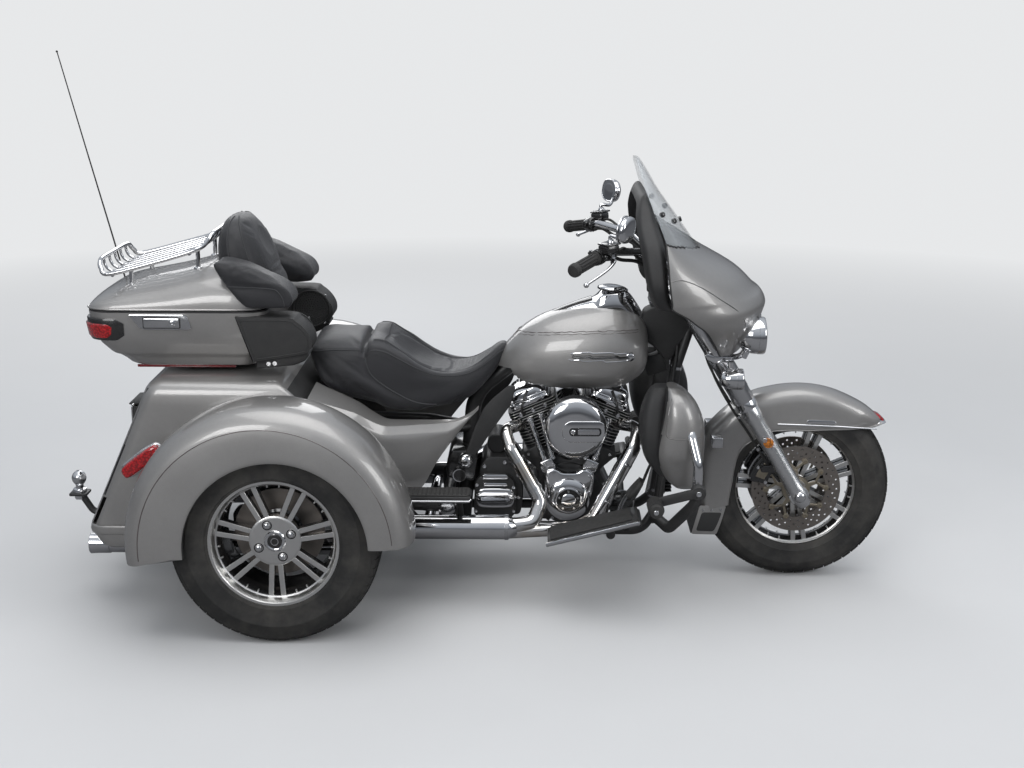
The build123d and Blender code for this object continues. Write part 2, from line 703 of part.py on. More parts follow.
def lid_shape(inset):
    low = case_seam_z
    side = [(case_rear_x + inset, low), (case_rear_x + 6 + inset, low + 16), (-575 + inset, 1020 - inset),
            (-379, 1066 - inset), (-250, 1104 - inset), (-150, 1100 - inset), (-96 - inset, 1050),
            (case_front_x - inset, low)]
    half = case_half_y - inset
    cross = [(-half, low), (-half + 6, low + 34 - inset), (-half + 60, 1068 - inset), (-90, 1110 - inset),
             (90, 1110 - inset), (half - 60, 1068 - inset), (half - 6, low + 34 - inset), (half, low)]
    plan = [(case_rear_x + inset, -half), (case_front_x - inset, -half), (case_front_x - inset, half),
            (case_rear_x + inset, half)]
    block_shape = slab_y(side, -half - 5, half + 5) & slab_x(cross, case_rear_x - 5, case_front_x + 5)
    return block_shape & slab_z(plan, 900, 1200, 70 - inset)


def topcase_lid():
    seam = block((case_rear_x - 9, case_front_x + 9), (-case_half_y - 9, case_half_y + 9),
                 (case_seam_z - 9, case_seam_z + moving_gap - 2))
    shell = lid_shape(0) - lid_shape(case_wall) - seam
    leaves = []
    for x in hinge_places:
        span = (x - 13.5, x + 13.5)
        leaves += knuckles([span], hinge_y, case_seam_z, hinge_radius)
        leaves.append(block(span, (case_half_y - 4, hinge_y + 3), (case_seam_z + 4, case_seam_z + 30)))
    bore = rod((case_rear_x, hinge_y, case_seam_z), (case_front_x, hinge_y, case_seam_z), hinge_pin_radius + shaft_gap)
    return fused([shell, *leaves]) - bore


def lid_top(x):
    # Height of the lid's middle at x, between the rear slope's ends.
    rows = [(-575, 1020), (-379, 1066), (-250, 1104)]
    for (xa, za), (xb, zb) in zip(rows, rows[1:]):
        if xa <= x <= xb:
            return za + (zb - za) * (x - xa) / (xb - xa)
    return rows[-1][1]


def luggage_rack():
    half = 205
    rear_x, front_x = -600, -262
    rail = bent_tube([(front_x, -half + 30, 1196), (rear_x + 40, -half, 1076), (rear_x, -half + 50, 1066),
                      (rear_x, half - 50, 1066), (rear_x + 40, half, 1076), (front_x, half - 30, 1196)],
                     8, [30, 30, 30, 30])
    front_bar = rod((front_x, -half + 30, 1196), (front_x, half - 30, 1196), 8)
    top_bar = bent_tube([(rear_x + 6, -half + 70, 1066), (rear_x - 10, -half + 80, 1118), (rear_x - 10, half - 80, 1118),
                         (rear_x + 6, half - 70, 1066)], 7, [24, 24])
    slats = []
    for y in (-120, -60, 0, 60, 120):
        slats.append(rod((rear_x, y, 1066), (front_x, y, 1196), 6))
    posts = []
    for side in (-1, 1):
        for x, z in ((-520, 1102), (-300, 1183)):
            y = side * 120
            posts.append(rod((x, y, lid_top(x) + seat_gap - 6), (x, y, z), 7))
    return fused([rail, front_bar, top_bar, *slats, *posts]) - lid_shape(-seat_gap)


def backrest():
    pad = loft([section_z(985, -110, -34, -165, 165, 30), section_z(1080, -245, -60, -182, 182, 38),
                section_z(1190, -240, -108, -160, 160, 38), section_z(1248, -212, -155, -92, 92, 22)])
    low = case_seam_z + 10
    arm_side = [(-126, low), (-226, 1130), (-90, 1112), (-8, 1062), (24, 1044), (34, 1010), (26, low)]
    outer_y = case_half_y + 15
    arms = [slab_y(arm_side, *span, 12) for span in ((-outer_y, -150), (150, outer_y))]
    return fused([pad, *arms]) - lid_shape(-seat_gap)


def speaker_pods():
    high = case_seam_z - 16
    side = [(-146, high), (-100, 815), (60, 838), (84, 858), (84, 890), (66, 922), (28, high)]
    return both_sides(slab_y(side, -302, -190, 12) - case_block(seat_gap))


def topcase_lamps():
    side = [(-652, 946), (-640, 876), (-504, 876), (-500, 890), (-545, 946)]
    return both_sides(slab_y(side, -290, -150, 5) - case_block(seat_gap))


def rear_signals():
    x, z = -432, 537
    lens = Pos(x, -470, z) * Rot(0, -37, 0) * Box(150, 30, 32)
    base = disc_y(x, z, -460, -trunk_half_width - seat_gap, 15)
    return both_sides(lens + base)


def antenna():
    y = case_half_y + 20
    base = rod((-640, y, 836), (-640, y, 880), 12)
    bracket = block((-652, -500), (200, y + 8), (838, 846)) - case_block(seat_gap)
    mast = rod((-645, y, 870), (-848, y, 1756), antenna_radius)
    return fused([base, bracket, mast])


def leg_shields():
    # z, rear x, front x, inner y, outer y
    rows = [(404, 1236, 1322, -190, -330), (484, 1182, 1330, -172, -385), (560, 1172, 1333, -165, -408),
            (640, 1188, 1325, -190, -408), (700, 1198, 1296, -240, -392), (745, 1206, 1246, -250, -350)]
    body = loft([section_z(z, ahead(rear), ahead(front), outer, inner, 18) for z, rear, front, inner, outer in rows])
    return both_sides(body - guard_tube(16 + seat_gap))


def guard_route():
    route = [(1192, -98, 236), (1226, -300, 262), (1300, -432, 400), (1300, -432, 520), (1272, -388, 636),
             (1254, -120, 612), (1254, -40, 612)]
    return [(ahead(x), y, z) for x, y, z in route]


def guard_tube(radius):
    return bent_tube(guard_route(), radius, [80, 90, 100, 60, 60])


def engine_guard():
    whole = fused_both(guard_tube(16))
    bridge = rod((ahead(1254), -60, 612), (ahead(1254), 60, 612), 16)
    return fused([whole, bridge]) - frame_shape


def highway_pegs():
    peg = rod((ahead(1296), -468, 440), (ahead(1160), -484, 408), 17)
    clamp = disc_y(ahead(1300), 440, -474, -448.5, 22)
    return both_sides(peg + clamp)


def rails(grow):
    # The straight lower frame tubes, which carry the boards and the foot controls.
    half = rail_spacing / 2
    return fused([rod((440, y, rail_height), (1115, y, rail_height), downtube_radius + grow) for y in (-half, half)])


def floorboards():
    board = slab_y([(836, 247), (1110, 320), (1126, 306), (1128, 322), (1108, 338), (830, 263)], -430, -292)
    half = rail_spacing / 2
    supports = [rod((1100, -half - 4, rail_height + 4), (1096, -306, 310), 9),
                rod((1010, -half - 4, rail_height + 4), (1010, -314, 298), 9)]
    return both_sides(fused([board, *supports]) - rails(seat_gap))


def passenger_boards():
    board = slab_y([(374, 372), (584, 372), (590, 386), (584, 396), (374, 396), (368, 386)], -388, -290)
    bracket = rod((546, -304, 384), (546, -rail_spacing / 2 - 4, rail_height + 8), 10)
    return both_sides(fused([board, bracket]) - rails(seat_gap))


def foot_controls():
    start = rail_spacing / 2 + 4
    pivot = rod((1040, -start, 200), (1040, -275, 230), 9)
    arm = rod((1040, -262, 230), (1096, -262, 392), 8)
    pad = Pos(1112, -290, 398) * Rot(0, -28, 0) * Box(62, 78, 14)
    shift = rod((1040, 262, 230), (1128, 262, 372), 8)
    toe = rod((1128, 262, 372), (1128, 340, 372), 11)
    pivot_left = rod((1040, start, 200), (1040, 275, 230), 9)
    return Compound([fused([pivot, arm, pad]) - rails(seat_gap), fused([shift, toe, pivot_left]) - rails(seat_gap)])


def cylinder_envelope(grow):
    # The room that each cylinder's fins and head take up.
    top = cylinder_foot + fin_count * fin_pitch + head_height
    return fused([rod(along_cylinder(side, cylinder_foot - 4), along_cylinder(side, top + grow), fin_radius + grow)
                  for side in (-1, 1)])


def horn():
    y = fin_radius + 8 + seat_gap
    middle = along_cylinder(1, 268)
    bar = rod((2 * crank_x - middle[0], y, middle[2]), (middle[0], y, middle[2]), 8)
    return fused([disc_y(crank_x, middle[2], y + 30, y + 80, 55), disc_y(crank_x, middle[2], y, y + 35, 16), bar])


def fork():
    half = fork_spacing / 2
    parts = []
    for side in (-1, 1):
        y = side * half
        low = (fork_x(front_tyre_radius - 22), y, front_tyre_radius - 22)
        parts.append(rod(low, (fork_x(630), y, 630), slider_radius))
        parts.append(rod((fork_x(628), y, 628), (fork_x(1012), y, 1012), cover_radius))
        parts.append(disc_y(wheelbase, front_tyre_radius, side * 72, side * (half + 20), 30))
    axle = disc_y(wheelbase, front_tyre_radius, -half - 26, half + 26, axle_radius)
    lower = clamp_plate(800)
    upper = clamp_plate(992)
    stem = rod((steering_x(790), 0, 790), (steering_x(1004), 0, 1004), stem_radius)
    return fused([*parts, axle, lower, upper, stem])


def clamp_plate(z):
    half = fork_spacing / 2
    back = min(fork_x(z), steering_x(z)) - 34
    front = max(fork_x(z), steering_x(z)) + 34
    plate = block((back, front), (-half - 36, half + 36), (-13, 13))
    middle = (back + front) / 2
    return Pos(middle, 0, z) * Rot(0, -steering_rake, 0) * Pos(-middle, 0, 0) * plate


def fork_legs(grow):
    half = fork_spacing / 2
    legs = []
    for side in (-1, 1):
        y = side * half
        legs.append(rod((fork_x(280), y, 280), (fork_x(630), y, 630), slider_radius + grow))
        legs.append(rod((fork_x(620), y, 620), (fork_x(1030), y, 1030), cover_radius + grow))
    return fused(legs)


def front_calipers():
    y = front_disc_offset
    body = block((-62, 62), (-y - 26, -y + 26), (-30, 30))
    gap = disc_thickness / 2 + moving_gap
    slot = block((-63, 63), (-y - gap, -y + gap), (-31, 14))
    ear = block((-20, 52), (-fork_spacing / 2, -y - 20), (0, 26))
    caliper = Rot(0, -58, 0) * Pos(0, 0, front_disc_radius - 12) * fused([body - slot, ear])
    placed = Pos(wheelbase, 0, front_tyre_radius) * caliper
    return both_sides(placed - fork_legs(seat_gap))


def bar_route():
    route = [(1248, 1038, 0), (1238, 1050, 105), (1120, 1150, 190), (1010, 1168, 300), (912, 1137, 442)]
    return [(ahead(x), z, y) for x, z, y in route]


def handlebar():
    right = [(x, -y, z) for x, z, y in reversed(bar_route()[1:])]
    left = [(x, y, z) for x, z, y in bar_route()]
    tube = bent_tube(right + left, bar_radius, [60, 70, 60, 90, 60, 70, 60])
    risers = [rod((fork_x(1005) + 4, side * 60, 980), (ahead(1243), side * 60, 1044), 15) for side in (-1, 1)]
    return fused([tube, *risers]) - fork_shape


def grip_point(share):
    # A point along the grip end of the right bar, 0 at the last bend.
    (xa, za, ya), (xb, zb, yb) = bar_route()[-2:]
    return (xa + (xb - xa) * share, -(ya + (yb - ya) * share), za + (zb - za) * share)


def hand_controls():
    grip = rod(grip_point(0.38), grip_point(1.02), grip_radius)
    switch = rod(grip_point(0.16), grip_point(0.38), 24)
    x, y, z = grip_point(0.24)
    reservoir = block((x + 14, x + 62), (y - 22, y + 34), (z + 10, z + 46))
    lever = bent_tube([(x + 20, y + 5, z), (x + 66, y - 20, z - 6), (x + 20, y - 160, z - 40)], 7, [22])
    return both_sides(fused([grip, switch, reservoir, lever]) - bar_shape)


def mirrors():
    x, y, z = grip_point(0.24)
    stem = bent_tube([(x + 40, y, z + 46.3), (x + 40, y, z + 66), (ahead(1054), -462, 1228)], 6, [14])
    head = Pos(ahead(1060), -470, 1262) * Rot(0, 0, -78) * extrude(Plane.XZ * RectangleRounded(104, 78, 36), amount=26)
    return both_sides(stem + head)


def fairing_rows():
    # z, nose x, side x, half width
    rows = [(1196, 1235, 1192, 350), (1144, 1323, 1198, 378), (1076, 1449, 1204, 396), (1022, 1508, 1214, 398),
            (975, 1546, 1262, 380), (920, 1530, 1326, 332), (862, 1500, 1362, 262), (815, 1468, 1384, 205)]
    return [(z, ahead(nose), ahead(side), half) for z, nose, side, half in rows]


def fairing_below(rise):
    # Everything under the fairing's sloping top edge.
    slope = 79 / 190
    high = 1216 + rise
    return slab_y([(ahead(1100), high + 50 * slope), (ahead(1600), high - 450 * slope),
                   (ahead(1600), 700), (ahead(1100), 700)], -500, 500)


def fairing_solid(grow):
    faces = []
    for z, nose, side, half in fairing_rows():
        arc = ThreePointArc((side - grow, -half - grow, z), (nose + grow, 0, z), (side - grow, half + grow, z))
        faces.append(make_face(Curve() + [arc, Line(arc @ 1, arc @ 0)]))
    return loft(faces)


def fairing_outer():
    shell = loft([bow_section(*row, fairing_wall) for row in fairing_rows()])
    return (shell & fairing_below(0)) - lamp_cups(seat_gap)


def lamp_cups(grow):
    cups = [rod((ahead(1440), side * 200, 880), (ahead(1524) + grow, side * 200, 880), 59 + grow) for side in (-1, 1)]
    return fused([rod((ahead(1478), 0, 918), (ahead(1560) + grow, 0, 918), 94 + grow), *cups,
                  *lamp_posts(13, 14 + grow)])


def fairing_inner():
    rim = loft([section_x(ahead(1215), 366, 1010, 1190, 60), section_x(ahead(1110), 330, 1030, 1236, 60)])
    dish = loft([section_x(ahead(1168), 352, 1024, 1172, 50), section_x(ahead(1108), 318, 1042, 1224, 50)])
    notch = block((ahead(1090), ahead(1300)), (-225, 225), (900, 1130))
    return largest(rim - dish - notch - fairing_solid(seat_gap) - windshield_shell(seat_gap))


def windshield_shell(grow):
    # z, nose x, side x, half width
    rows = [(1100, 1356, 1216, 330), (1160, 1309, 1206, 298), (1330, 1186, 1140, 212), (1424, 1128, 1108, 128)]
    return loft([bow_section(z, ahead(nose) + grow, ahead(side) - grow, half + grow, windshield_wall + 2 * grow)
                 for z, nose, side, half in rows])


def windshield():
    return windshield_shell(0) - fairing_below(seat_gap)


def headlamp():
    bezel = rod((ahead(1478), 0, 918), (ahead(1552), 0, 918), 94)
    lens = rod((ahead(1552), 0, 918), (ahead(1560), 0, 918), 82)
    return fused([bezel, lens])


def lamp_posts(reach, radius):
    # Short posts from the lamp bar up into the lamp cups.
    return [rod((lamp_bar_x + 26 + reach, side * 200, lamp_bar_z + 32 + reach * 1.15),
                (lamp_bar_x + 4, side * 200, lamp_bar_z + 6), radius) for side in (-1, 1)]


def passing_lamps():
    cups = [rod((ahead(1440), side * 200, 880), (ahead(1524), side * 200, 880), 59) for side in (-1, 1)]
    bar = disc_y(lamp_bar_x, lamp_bar_z, -205, 205, 13)
    mounts = [rod((lamp_bar_x, side * 120, lamp_bar_z), (fork_x(790), side * 120, 790), 13) for side in (-1, 1)]
    return fused([*cups, bar, *lamp_posts(0, 14), *mounts]) - fork_shape


def front_signals():
    lamp = rod((ahead(1384), -200, 738), (ahead(1462), -200, 738), 34)
    stalk = rod((lamp_bar_x, -200, 760), (lamp_bar_x, -200, lamp_bar_z - 13 - seat_gap), 10)
    return both_sides(lamp + stalk)


def front_fender():
    wall = front_fender_wall
    half = front_fender_half_width
    shoulder = front_fender_radius - 58
    lip = front_fender_lip_radius
    top = front_fender_radius
    outer = [(half, lip), (half, shoulder), (half - 12, top - 26), (half - 36, top - 6), (0, top)]
    inner = [(half - wall, lip), (half - wall, shoulder), (half - wall - 10, top - 26 - wall),
             (half - wall - 34, top - 6 - wall), (0, top - wall)]
    ring = outer + [(-y, r) for y, r in reversed(outer[:-1])] + [(-y, r) for y, r in inner[:-1]] + inner[::-1]
    shell = turned_y(ring, -14, 160, (wheelbase, front_tyre_radius))
    open_front = block((wheelbase - 84, wheelbase + 500), (-200, 200), (0, 542))
    bracket = block((fork_x(500) - 20, fork_x(500) + 20), (half - 2, fork_spacing / 2), (488, 512))
    return fused([shell - open_front, fused_both(bracket)]) - fork_legs(seat_gap) - front_arch()


def front_arch():
    half = front_fender_half_width - front_fender_wall
    return disc_y(wheelbase, front_tyre_radius, -half, half, front_fender_radius - 60)


def centre_and_write():
    box = Compound(list(pieces.values())).bounding_box()
    shift = -(box.min.X + box.max.X) / 2
    for name, shape in pieces.items():
        export_step(Pos(shift, 0, 0) * shape, "parts/" + name + ".step")
    print("moved along X by", round(shift, 3))
    print("steering pivot", round(steering_x(900) + shift, 3), 0, 900)
    print("steering axis", -round(sin(radians(steering_rake)), 6), 0, round(cos(radians(steering_rake)), 6))
    print("front axle", round(wheelbase + shift, 3), 0, front_tyre_radius)
    print("rear axle", round(shift, 3), rear_track / 2, rear_tyre_radius)
    print("lid hinge", 0, hinge_y, case_seam_z)
    print("door hinge", round(door_hinge()[0] + shift, 3), 0, door_hinge()[1])


os.makedirs("parts", exist_ok=True)
pieces = {}
wheels()
frame_shape = frame_tubes()
engine_shape = engine_block()
fork_shape = fork()
bar_shape = handlebar()
pieces["rear_axle"] = rear_axle()
pieces["frame"] = frame_shape
pieces["engine_case"] = engine_shape
pieces["cylinders"] = cylinders()
pieces["rocker_covers"] = rocker_covers()
pieces["cam_cover"] = cam_cover()
pieces["air_cleaner"] = air_cleaner()
pieces["gearbox"] = gearbox()
pieces["primary_cover"] = primary_cover()
pieces["exhaust_pipes"] = exhaust_pipes()
pieces["mufflers"] = mufflers()
pieces["fuel_tank"] = fuel_tank()
pieces["tank_console"] = tank_console()
pieces["seat"] = seat()
pieces["side_covers"] = side_covers()
pieces["trunk_body"] = trunk_body()
pieces["trunk_door"] = trunk_door()
pieces["plate_holder"] = plate_holder()
right_fender = mirror(rear_fender(), about=Plane.XZ)
pieces["rear_fender_left"] = rear_fender()
pieces["rear_fender_right"] = right_fender
pieces["rear_bumper"] = rear_bumper()
pieces["hitch"] = hitch()
pieces["topcase_box"] = topcase_box()
pieces["topcase_lid"] = topcase_lid()
pieces["luggage_rack"] = luggage_rack()
pieces["backrest"] = backrest()
pieces["speaker_pods"] = speaker_pods()
pieces["topcase_lamps"] = topcase_lamps()
pieces["rear_signals"] = rear_signals()
pieces["antenna"] = antenna()
pieces["leg_shields"] = leg_shields()
pieces["engine_guard"] = engine_guard()
pieces["highway_pegs"] = highway_pegs()
pieces["floorboards"] = floorboards()
pieces["passenger_boards"] = passenger_boards()
pieces["foot_controls"] = foot_controls()
pieces["horn"] = horn()
pieces["fork"] = fork_shape
pieces["front_calipers"] = front_calipers()
pieces["handlebar"] = bar_shape
pieces["hand_controls"] = hand_controls()
pieces["mirrors"] = mirrors()
pieces["fairing_outer"] = fairing_outer()
pieces["fairing_inner"] = fairing_inner()
pieces["windshield"] = windshield()
pieces["headlamp"] = headlamp()
pieces["passing_lamps"] = passing_lamps()
pieces["front_signals"] = front_signals()
pieces["front_fender"] = front_fender()
centre_and_write()
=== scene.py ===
import bpy, bmesh, json
from math import sin, cos, tan, asin, pi, radians, sqrt, atan2
from mathutils import Vector, Matrix
from mathutils.bvhtree import BVHTree
from mathutils.kdtree import KDTree

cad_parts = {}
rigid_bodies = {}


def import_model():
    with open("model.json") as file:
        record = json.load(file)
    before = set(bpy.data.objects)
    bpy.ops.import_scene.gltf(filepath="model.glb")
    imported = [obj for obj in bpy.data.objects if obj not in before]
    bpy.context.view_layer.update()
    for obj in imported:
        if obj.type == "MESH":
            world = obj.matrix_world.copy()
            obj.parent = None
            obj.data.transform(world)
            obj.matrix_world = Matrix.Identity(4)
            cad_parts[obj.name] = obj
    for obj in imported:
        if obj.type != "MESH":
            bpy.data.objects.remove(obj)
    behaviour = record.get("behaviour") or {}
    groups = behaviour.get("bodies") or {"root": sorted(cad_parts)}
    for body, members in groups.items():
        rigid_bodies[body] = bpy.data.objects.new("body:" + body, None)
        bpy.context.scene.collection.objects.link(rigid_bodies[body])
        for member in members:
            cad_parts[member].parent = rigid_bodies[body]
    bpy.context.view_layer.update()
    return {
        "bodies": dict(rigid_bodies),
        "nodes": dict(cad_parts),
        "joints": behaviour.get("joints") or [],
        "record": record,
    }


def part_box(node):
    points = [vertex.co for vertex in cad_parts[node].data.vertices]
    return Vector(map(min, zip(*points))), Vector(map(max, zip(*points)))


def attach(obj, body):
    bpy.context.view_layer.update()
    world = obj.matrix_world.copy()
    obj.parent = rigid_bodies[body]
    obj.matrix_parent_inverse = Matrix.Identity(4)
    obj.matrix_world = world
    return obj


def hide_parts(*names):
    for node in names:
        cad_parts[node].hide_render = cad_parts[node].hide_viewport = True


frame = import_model()
cad = frame["nodes"]
tyreLow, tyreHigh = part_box("rear_tyre_left")
axleX = (tyreLow.x + tyreHigh.x) / 2  # every size below is in mm from the rear axle, forward, left and up
print("frame:", len(cad), "nodes")


def metres(p):
    return Vector((axleX + p[0] / 1000, p[1] / 1000, p[2] / 1000))


zero, upward, toRight = (0, 0, 0), (0, 0, 1), (0, -1, 0)


# Forms: points in mm with faces, which add up with +
class Form:
    def __init__(self, points=(), faces=()):
        self.points = [Vector(p) for p in points]
        self.faces = [tuple(f) for f in faces]

    def __add__(self, other):
        n = len(self.points)
        return Form(self.points + other.points, self.faces + [tuple(i + n for i in f) for f in other.faces])

    def moved(self, matrix):
        return Form([matrix @ p for p in self.points], self.faces)

    def mirrored(self):
        return Form([(p.x, -p.y, p.z) for p in self.points], [f[::-1] for f in self.faces])

    def both(self):
        return self + self.mirrored()


def joined(forms):
    whole = Form()
    for form in forms:
        whole = whole + form
    return whole


def toward(start, aim):
    # A matrix that takes Z to aim and the origin to start.
    return Matrix.Translation(Vector(start)) @ Vector(aim).to_track_quat("Z", "Y").to_matrix().to_4x4()


def loops(rings, closed=True, capped=True):
    # Skins rings of points that all have the same count.
    count = len(rings[0])
    points = [p for ring in rings for p in ring]
    faces = []
    for r in range(len(rings) - 1):
        for i in range(count if closed else count - 1):
            j = (i + 1) % count
            faces.append((r * count + i, r * count + j, (r + 1) * count + j, (r + 1) * count + i))
    if capped:
        faces.append(tuple(range(count - 1, -1, -1)))
        faces.append(tuple((len(rings) - 1) * count + i for i in range(count)))
    return Form(points, faces)


def filled(ring):
    # One face that fills a ring.
    return Form(ring, [tuple(range(len(ring)))])


def turned(profile, start, aim, steps=48, closed=False):
    # Turns (radius, along) points about an axis.
    place = toward(start, aim)
    rings = []
    for k in range(steps):
        a = 2 * pi * k / steps
        rings.append([place @ Vector((r * cos(a), r * sin(a), t)) for r, t in profile])
    return loops(rings + rings[:1], closed=closed, capped=False)


def rod(a, b, radius, sides=24, soft=0.8):
    a, b = Vector(a), Vector(b)
    long = (b - a).length
    return turned([(0, 0), (radius - soft, 0), (radius, soft), (radius, long - soft), (radius - soft, long),
                   (0, long)], a, b - a, sides)


def spline(a, b, c, d, t):
    # A Catmull-Rom step from b to c.
    return 0.5 * (2 * b + (c - a) * t + (2 * a - 5 * b + 4 * c - d) * t * t + (3 * b - a - 3 * c + d) * t ** 3)


def smoothPath(points, steps=6):
    pts = [Vector(p) for p in points]
    ends = [2 * pts[0] - pts[1]] + pts + [2 * pts[-1] - pts[-2]]
    made = []
    for k in range(1, len(ends) - 2):
        made += [spline(*ends[k - 1:k + 3], s / steps) for s in range(steps)]
    return made + [pts[-1]]


def bentPath(points, bend, steps=5):
    # Straight runs with rounded corners, as a bent tube has.
    pts = [Vector(p) for p in points]
    made = [pts[0]]
    for a, b, c in zip(pts, pts[1:], pts[2:]):
        u, v = (a - b).normalized(), (c - b).normalized()
        turn = pi - u.angle(v)
        reach = min(bend * tan(turn / 2), (a - b).length * 0.48, (c - b).length * 0.48)
        p, q = b + u * reach, b + v * reach
        for k in range(steps + 1):
            t = k / steps
            made.append((1 - t) ** 2 * p + 2 * t * (1 - t) * b + t * t * q)
    return made + [pts[-1]]


def tube(path, radius, sides=14, flat=1.0):
    # Sweeps a circle along the path without twist; radius may be a list.
    path = [Vector(p) for p in path]
    ways = [(path[min(k + 1, len(path) - 1)] - path[max(k - 1, 0)]).normalized() for k in range(len(path))]
    side = ways[0].orthogonal().normalized()
    rings = []
    for k, (p, way) in enumerate(zip(path, ways)):
        side = (side - way * side.dot(way)).normalized()
        up = way.cross(side)
        r = radius[k] if isinstance(radius, (list, tuple)) else radius
        rings.append([p + (side * cos(a) + up * sin(a) * flat) * r
                      for a in (2 * pi * i / sides for i in range(sides))])
    return loops(rings)


def cleaned(form):
    # A bmesh of the form, its doubles merged and its normals outwards.
    mesh = toMesh(form)
    work = bmesh.new()
    work.from_mesh(mesh)
    bpy.data.meshes.remove(mesh)
    bmesh.ops.remove_doubles(work, verts=work.verts, dist=0.01)
    bmesh.ops.recalc_face_normals(work, faces=work.faces)
    return work


def softened(form, width, segments=2, angle=28):
    # Rounds every edge that is sharper than the angle.
    work = cleaned(form)
    edges = [e for e in work.edges if len(e.link_faces) == 2 and e.calc_face_angle(0) > radians(angle)]
    bmesh.ops.bevel(work, geom=edges, offset=width, segments=segments, profile=0.5, affect="EDGES",
                    clamp_overlap=True)
    return fromBmesh(work)


def toMesh(form, name="form"):
    mesh = bpy.data.meshes.new(name)
    mesh.from_pydata([tuple(p) for p in form.points], [], form.faces)
    return mesh


def fromBmesh(work):
    work.verts.ensure_lookup_table()
    made = Form([v.co.copy() for v in work.verts], [[v.index for v in f.verts] for f in work.faces])
    work.free()
    return made


def fromMesh(mesh):
    return Form([v.co.copy() for v in mesh.vertices], [tuple(p.vertices) for p in mesh.polygons])


def rounded(outline, corner, steps=4):
    # Rounds the corners of a closed outline of (a, b) points.
    pts = [Vector((a, b, 0)) for a, b in outline]
    made = []
    for k, b in enumerate(pts):
        a, c = pts[k - 1], pts[(k + 1) % len(pts)]
        u, v = (a - b), (c - b)
        reach = min(corner, u.length * 0.45, v.length * 0.45)
        p, q = b + u.normalized() * reach, b + v.normalized() * reach
        for s in range(steps + 1):
            t = s / steps
            m = (1 - t) ** 2 * p + 2 * t * (1 - t) * b + t * t * q
            made.append((m.x, m.y))
    return made


across = {"x": lambda a, b, t: (t, a, b), "y": lambda a, b, t: (a, t, b), "z": lambda a, b, t: (a, b, t)}


def slab(outline, low, high, plane="y", corner=0.0, soft=1.5, segments=2):
    # An outline pushed from low to high across its plane, with softened rims.
    pts = rounded(outline, corner) if corner else list(outline)
    put = across[plane]
    form = loops([[Vector(put(a, b, t)) for a, b in pts] for t in (low, high)])
    return softened(form, soft, segments, 40) if soft else form


def box(centre, size, turn=(0, 0, 0), soft=1.5):
    x, y, z = (s / 2 for s in size)
    ring = [(-x, -y), (x, -y), (x, y), (-x, y)]
    form = loops([[Vector((a, b, h)) for a, b in ring] for h in (-z, z)])
    form = softened(form, soft) if soft else form
    place = Matrix.Translation(Vector(centre)) @ Matrix.Rotation(radians(turn[2]), 4, "Z") \
        @ Matrix.Rotation(radians(turn[1]), 4, "Y") @ Matrix.Rotation(radians(turn[0]), 4, "X")
    return form.moved(place)


def ball(centre, radius, stretch=(1, 1, 1), steps=24):
    half = steps // 2
    profile = [(radius * sin(pi * k / half), -radius * cos(pi * k / half)) for k in range(half + 1)]
    form = turned(profile, zero, upward, steps)
    return Form([(centre[0] + p.x * stretch[0], centre[1] + p.y * stretch[1], centre[2] + p.z * stretch[2])
                 for p in form.points], form.faces)


def between(rows, steps):
    # More rows of numbers, smoothly through the given ones.
    made = []
    for k in range(len(rows) - 1):
        four = rows[max(k - 1, 0)], rows[k], rows[k + 1], rows[min(k + 2, len(rows) - 1)]
        made += [[spline(*entry, s / steps) for entry in zip(*four)] for s in range(steps)]
    return made + [list(rows[-1])]


def pebble(half, low, high, waist=0.5, power=2.4, count=48, lower=None):
    # A closed ring in Y and Z, a superellipse whose widest level is at the waist share.
    level = low + (high - low) * waist
    lower = lower or power
    ring = []
    for k in range(count):
        a = 2 * pi * k / count
        p = power if sin(a) >= 0 else lower
        y = half * abs(cos(a)) ** (2 / p) * (1 if cos(a) >= 0 else -1)
        up = abs(sin(a)) ** (2 / p)
        ring.append((y, level + (high - level) * up if sin(a) >= 0 else level - (level - low) * up))
    return ring


def thick(form, wall):
    # Gives an open skin a wall inside it, with closed rims.
    work = cleaned(form)
    work.verts.index_update()
    count = len(work.verts)
    points = [v.co.copy() for v in work.verts] + [v.co - v.normal * wall for v in work.verts]
    faces = [tuple(v.index for v in f.verts) for f in work.faces]
    faces += [tuple(count + i for i in reversed(f)) for f in faces]
    for edge in work.edges:
        if edge.is_boundary:
            loop = edge.link_loops[0]
            a, b = loop.vert.index, loop.link_loop_next.vert.index
            faces.append((b, a, a + count, b + count))
    work.free()
    return Form(points, faces)


def carved(form, tools):
    # Cuts closed forms out of a closed form.
    target, cutter = [shown(name, toMesh(fromBmesh(cleaned(part))))
                      for name, part in (("target", form), ("cutter", joined(tools)))]
    cut = target.modifiers.new("cut", "BOOLEAN")
    cut.object, cut.solver = cutter, "EXACT"
    cut.use_self = True
    made = fromMesh(baked(target))
    for o in (target, cutter):
        bpy.data.objects.remove(o)
    return made


def shown(name, data):
    # A new object of the scene.
    obj = bpy.data.objects.new(name, data)
    bpy.context.scene.collection.objects.link(obj)
    return obj


def baked(obj):
    bpy.context.view_layer.update()
    return bpy.data.meshes.new_from_object(obj.evaluated_get(bpy.context.evaluated_depsgraph_get()))


# Geometry Nodes: one tree sets an item on points, one strings it along a path
def socketIn(tree, name, kind):
    return tree.interface.new_socket(name, in_out="INPUT", socket_type="NodeSocket" + kind).identifier


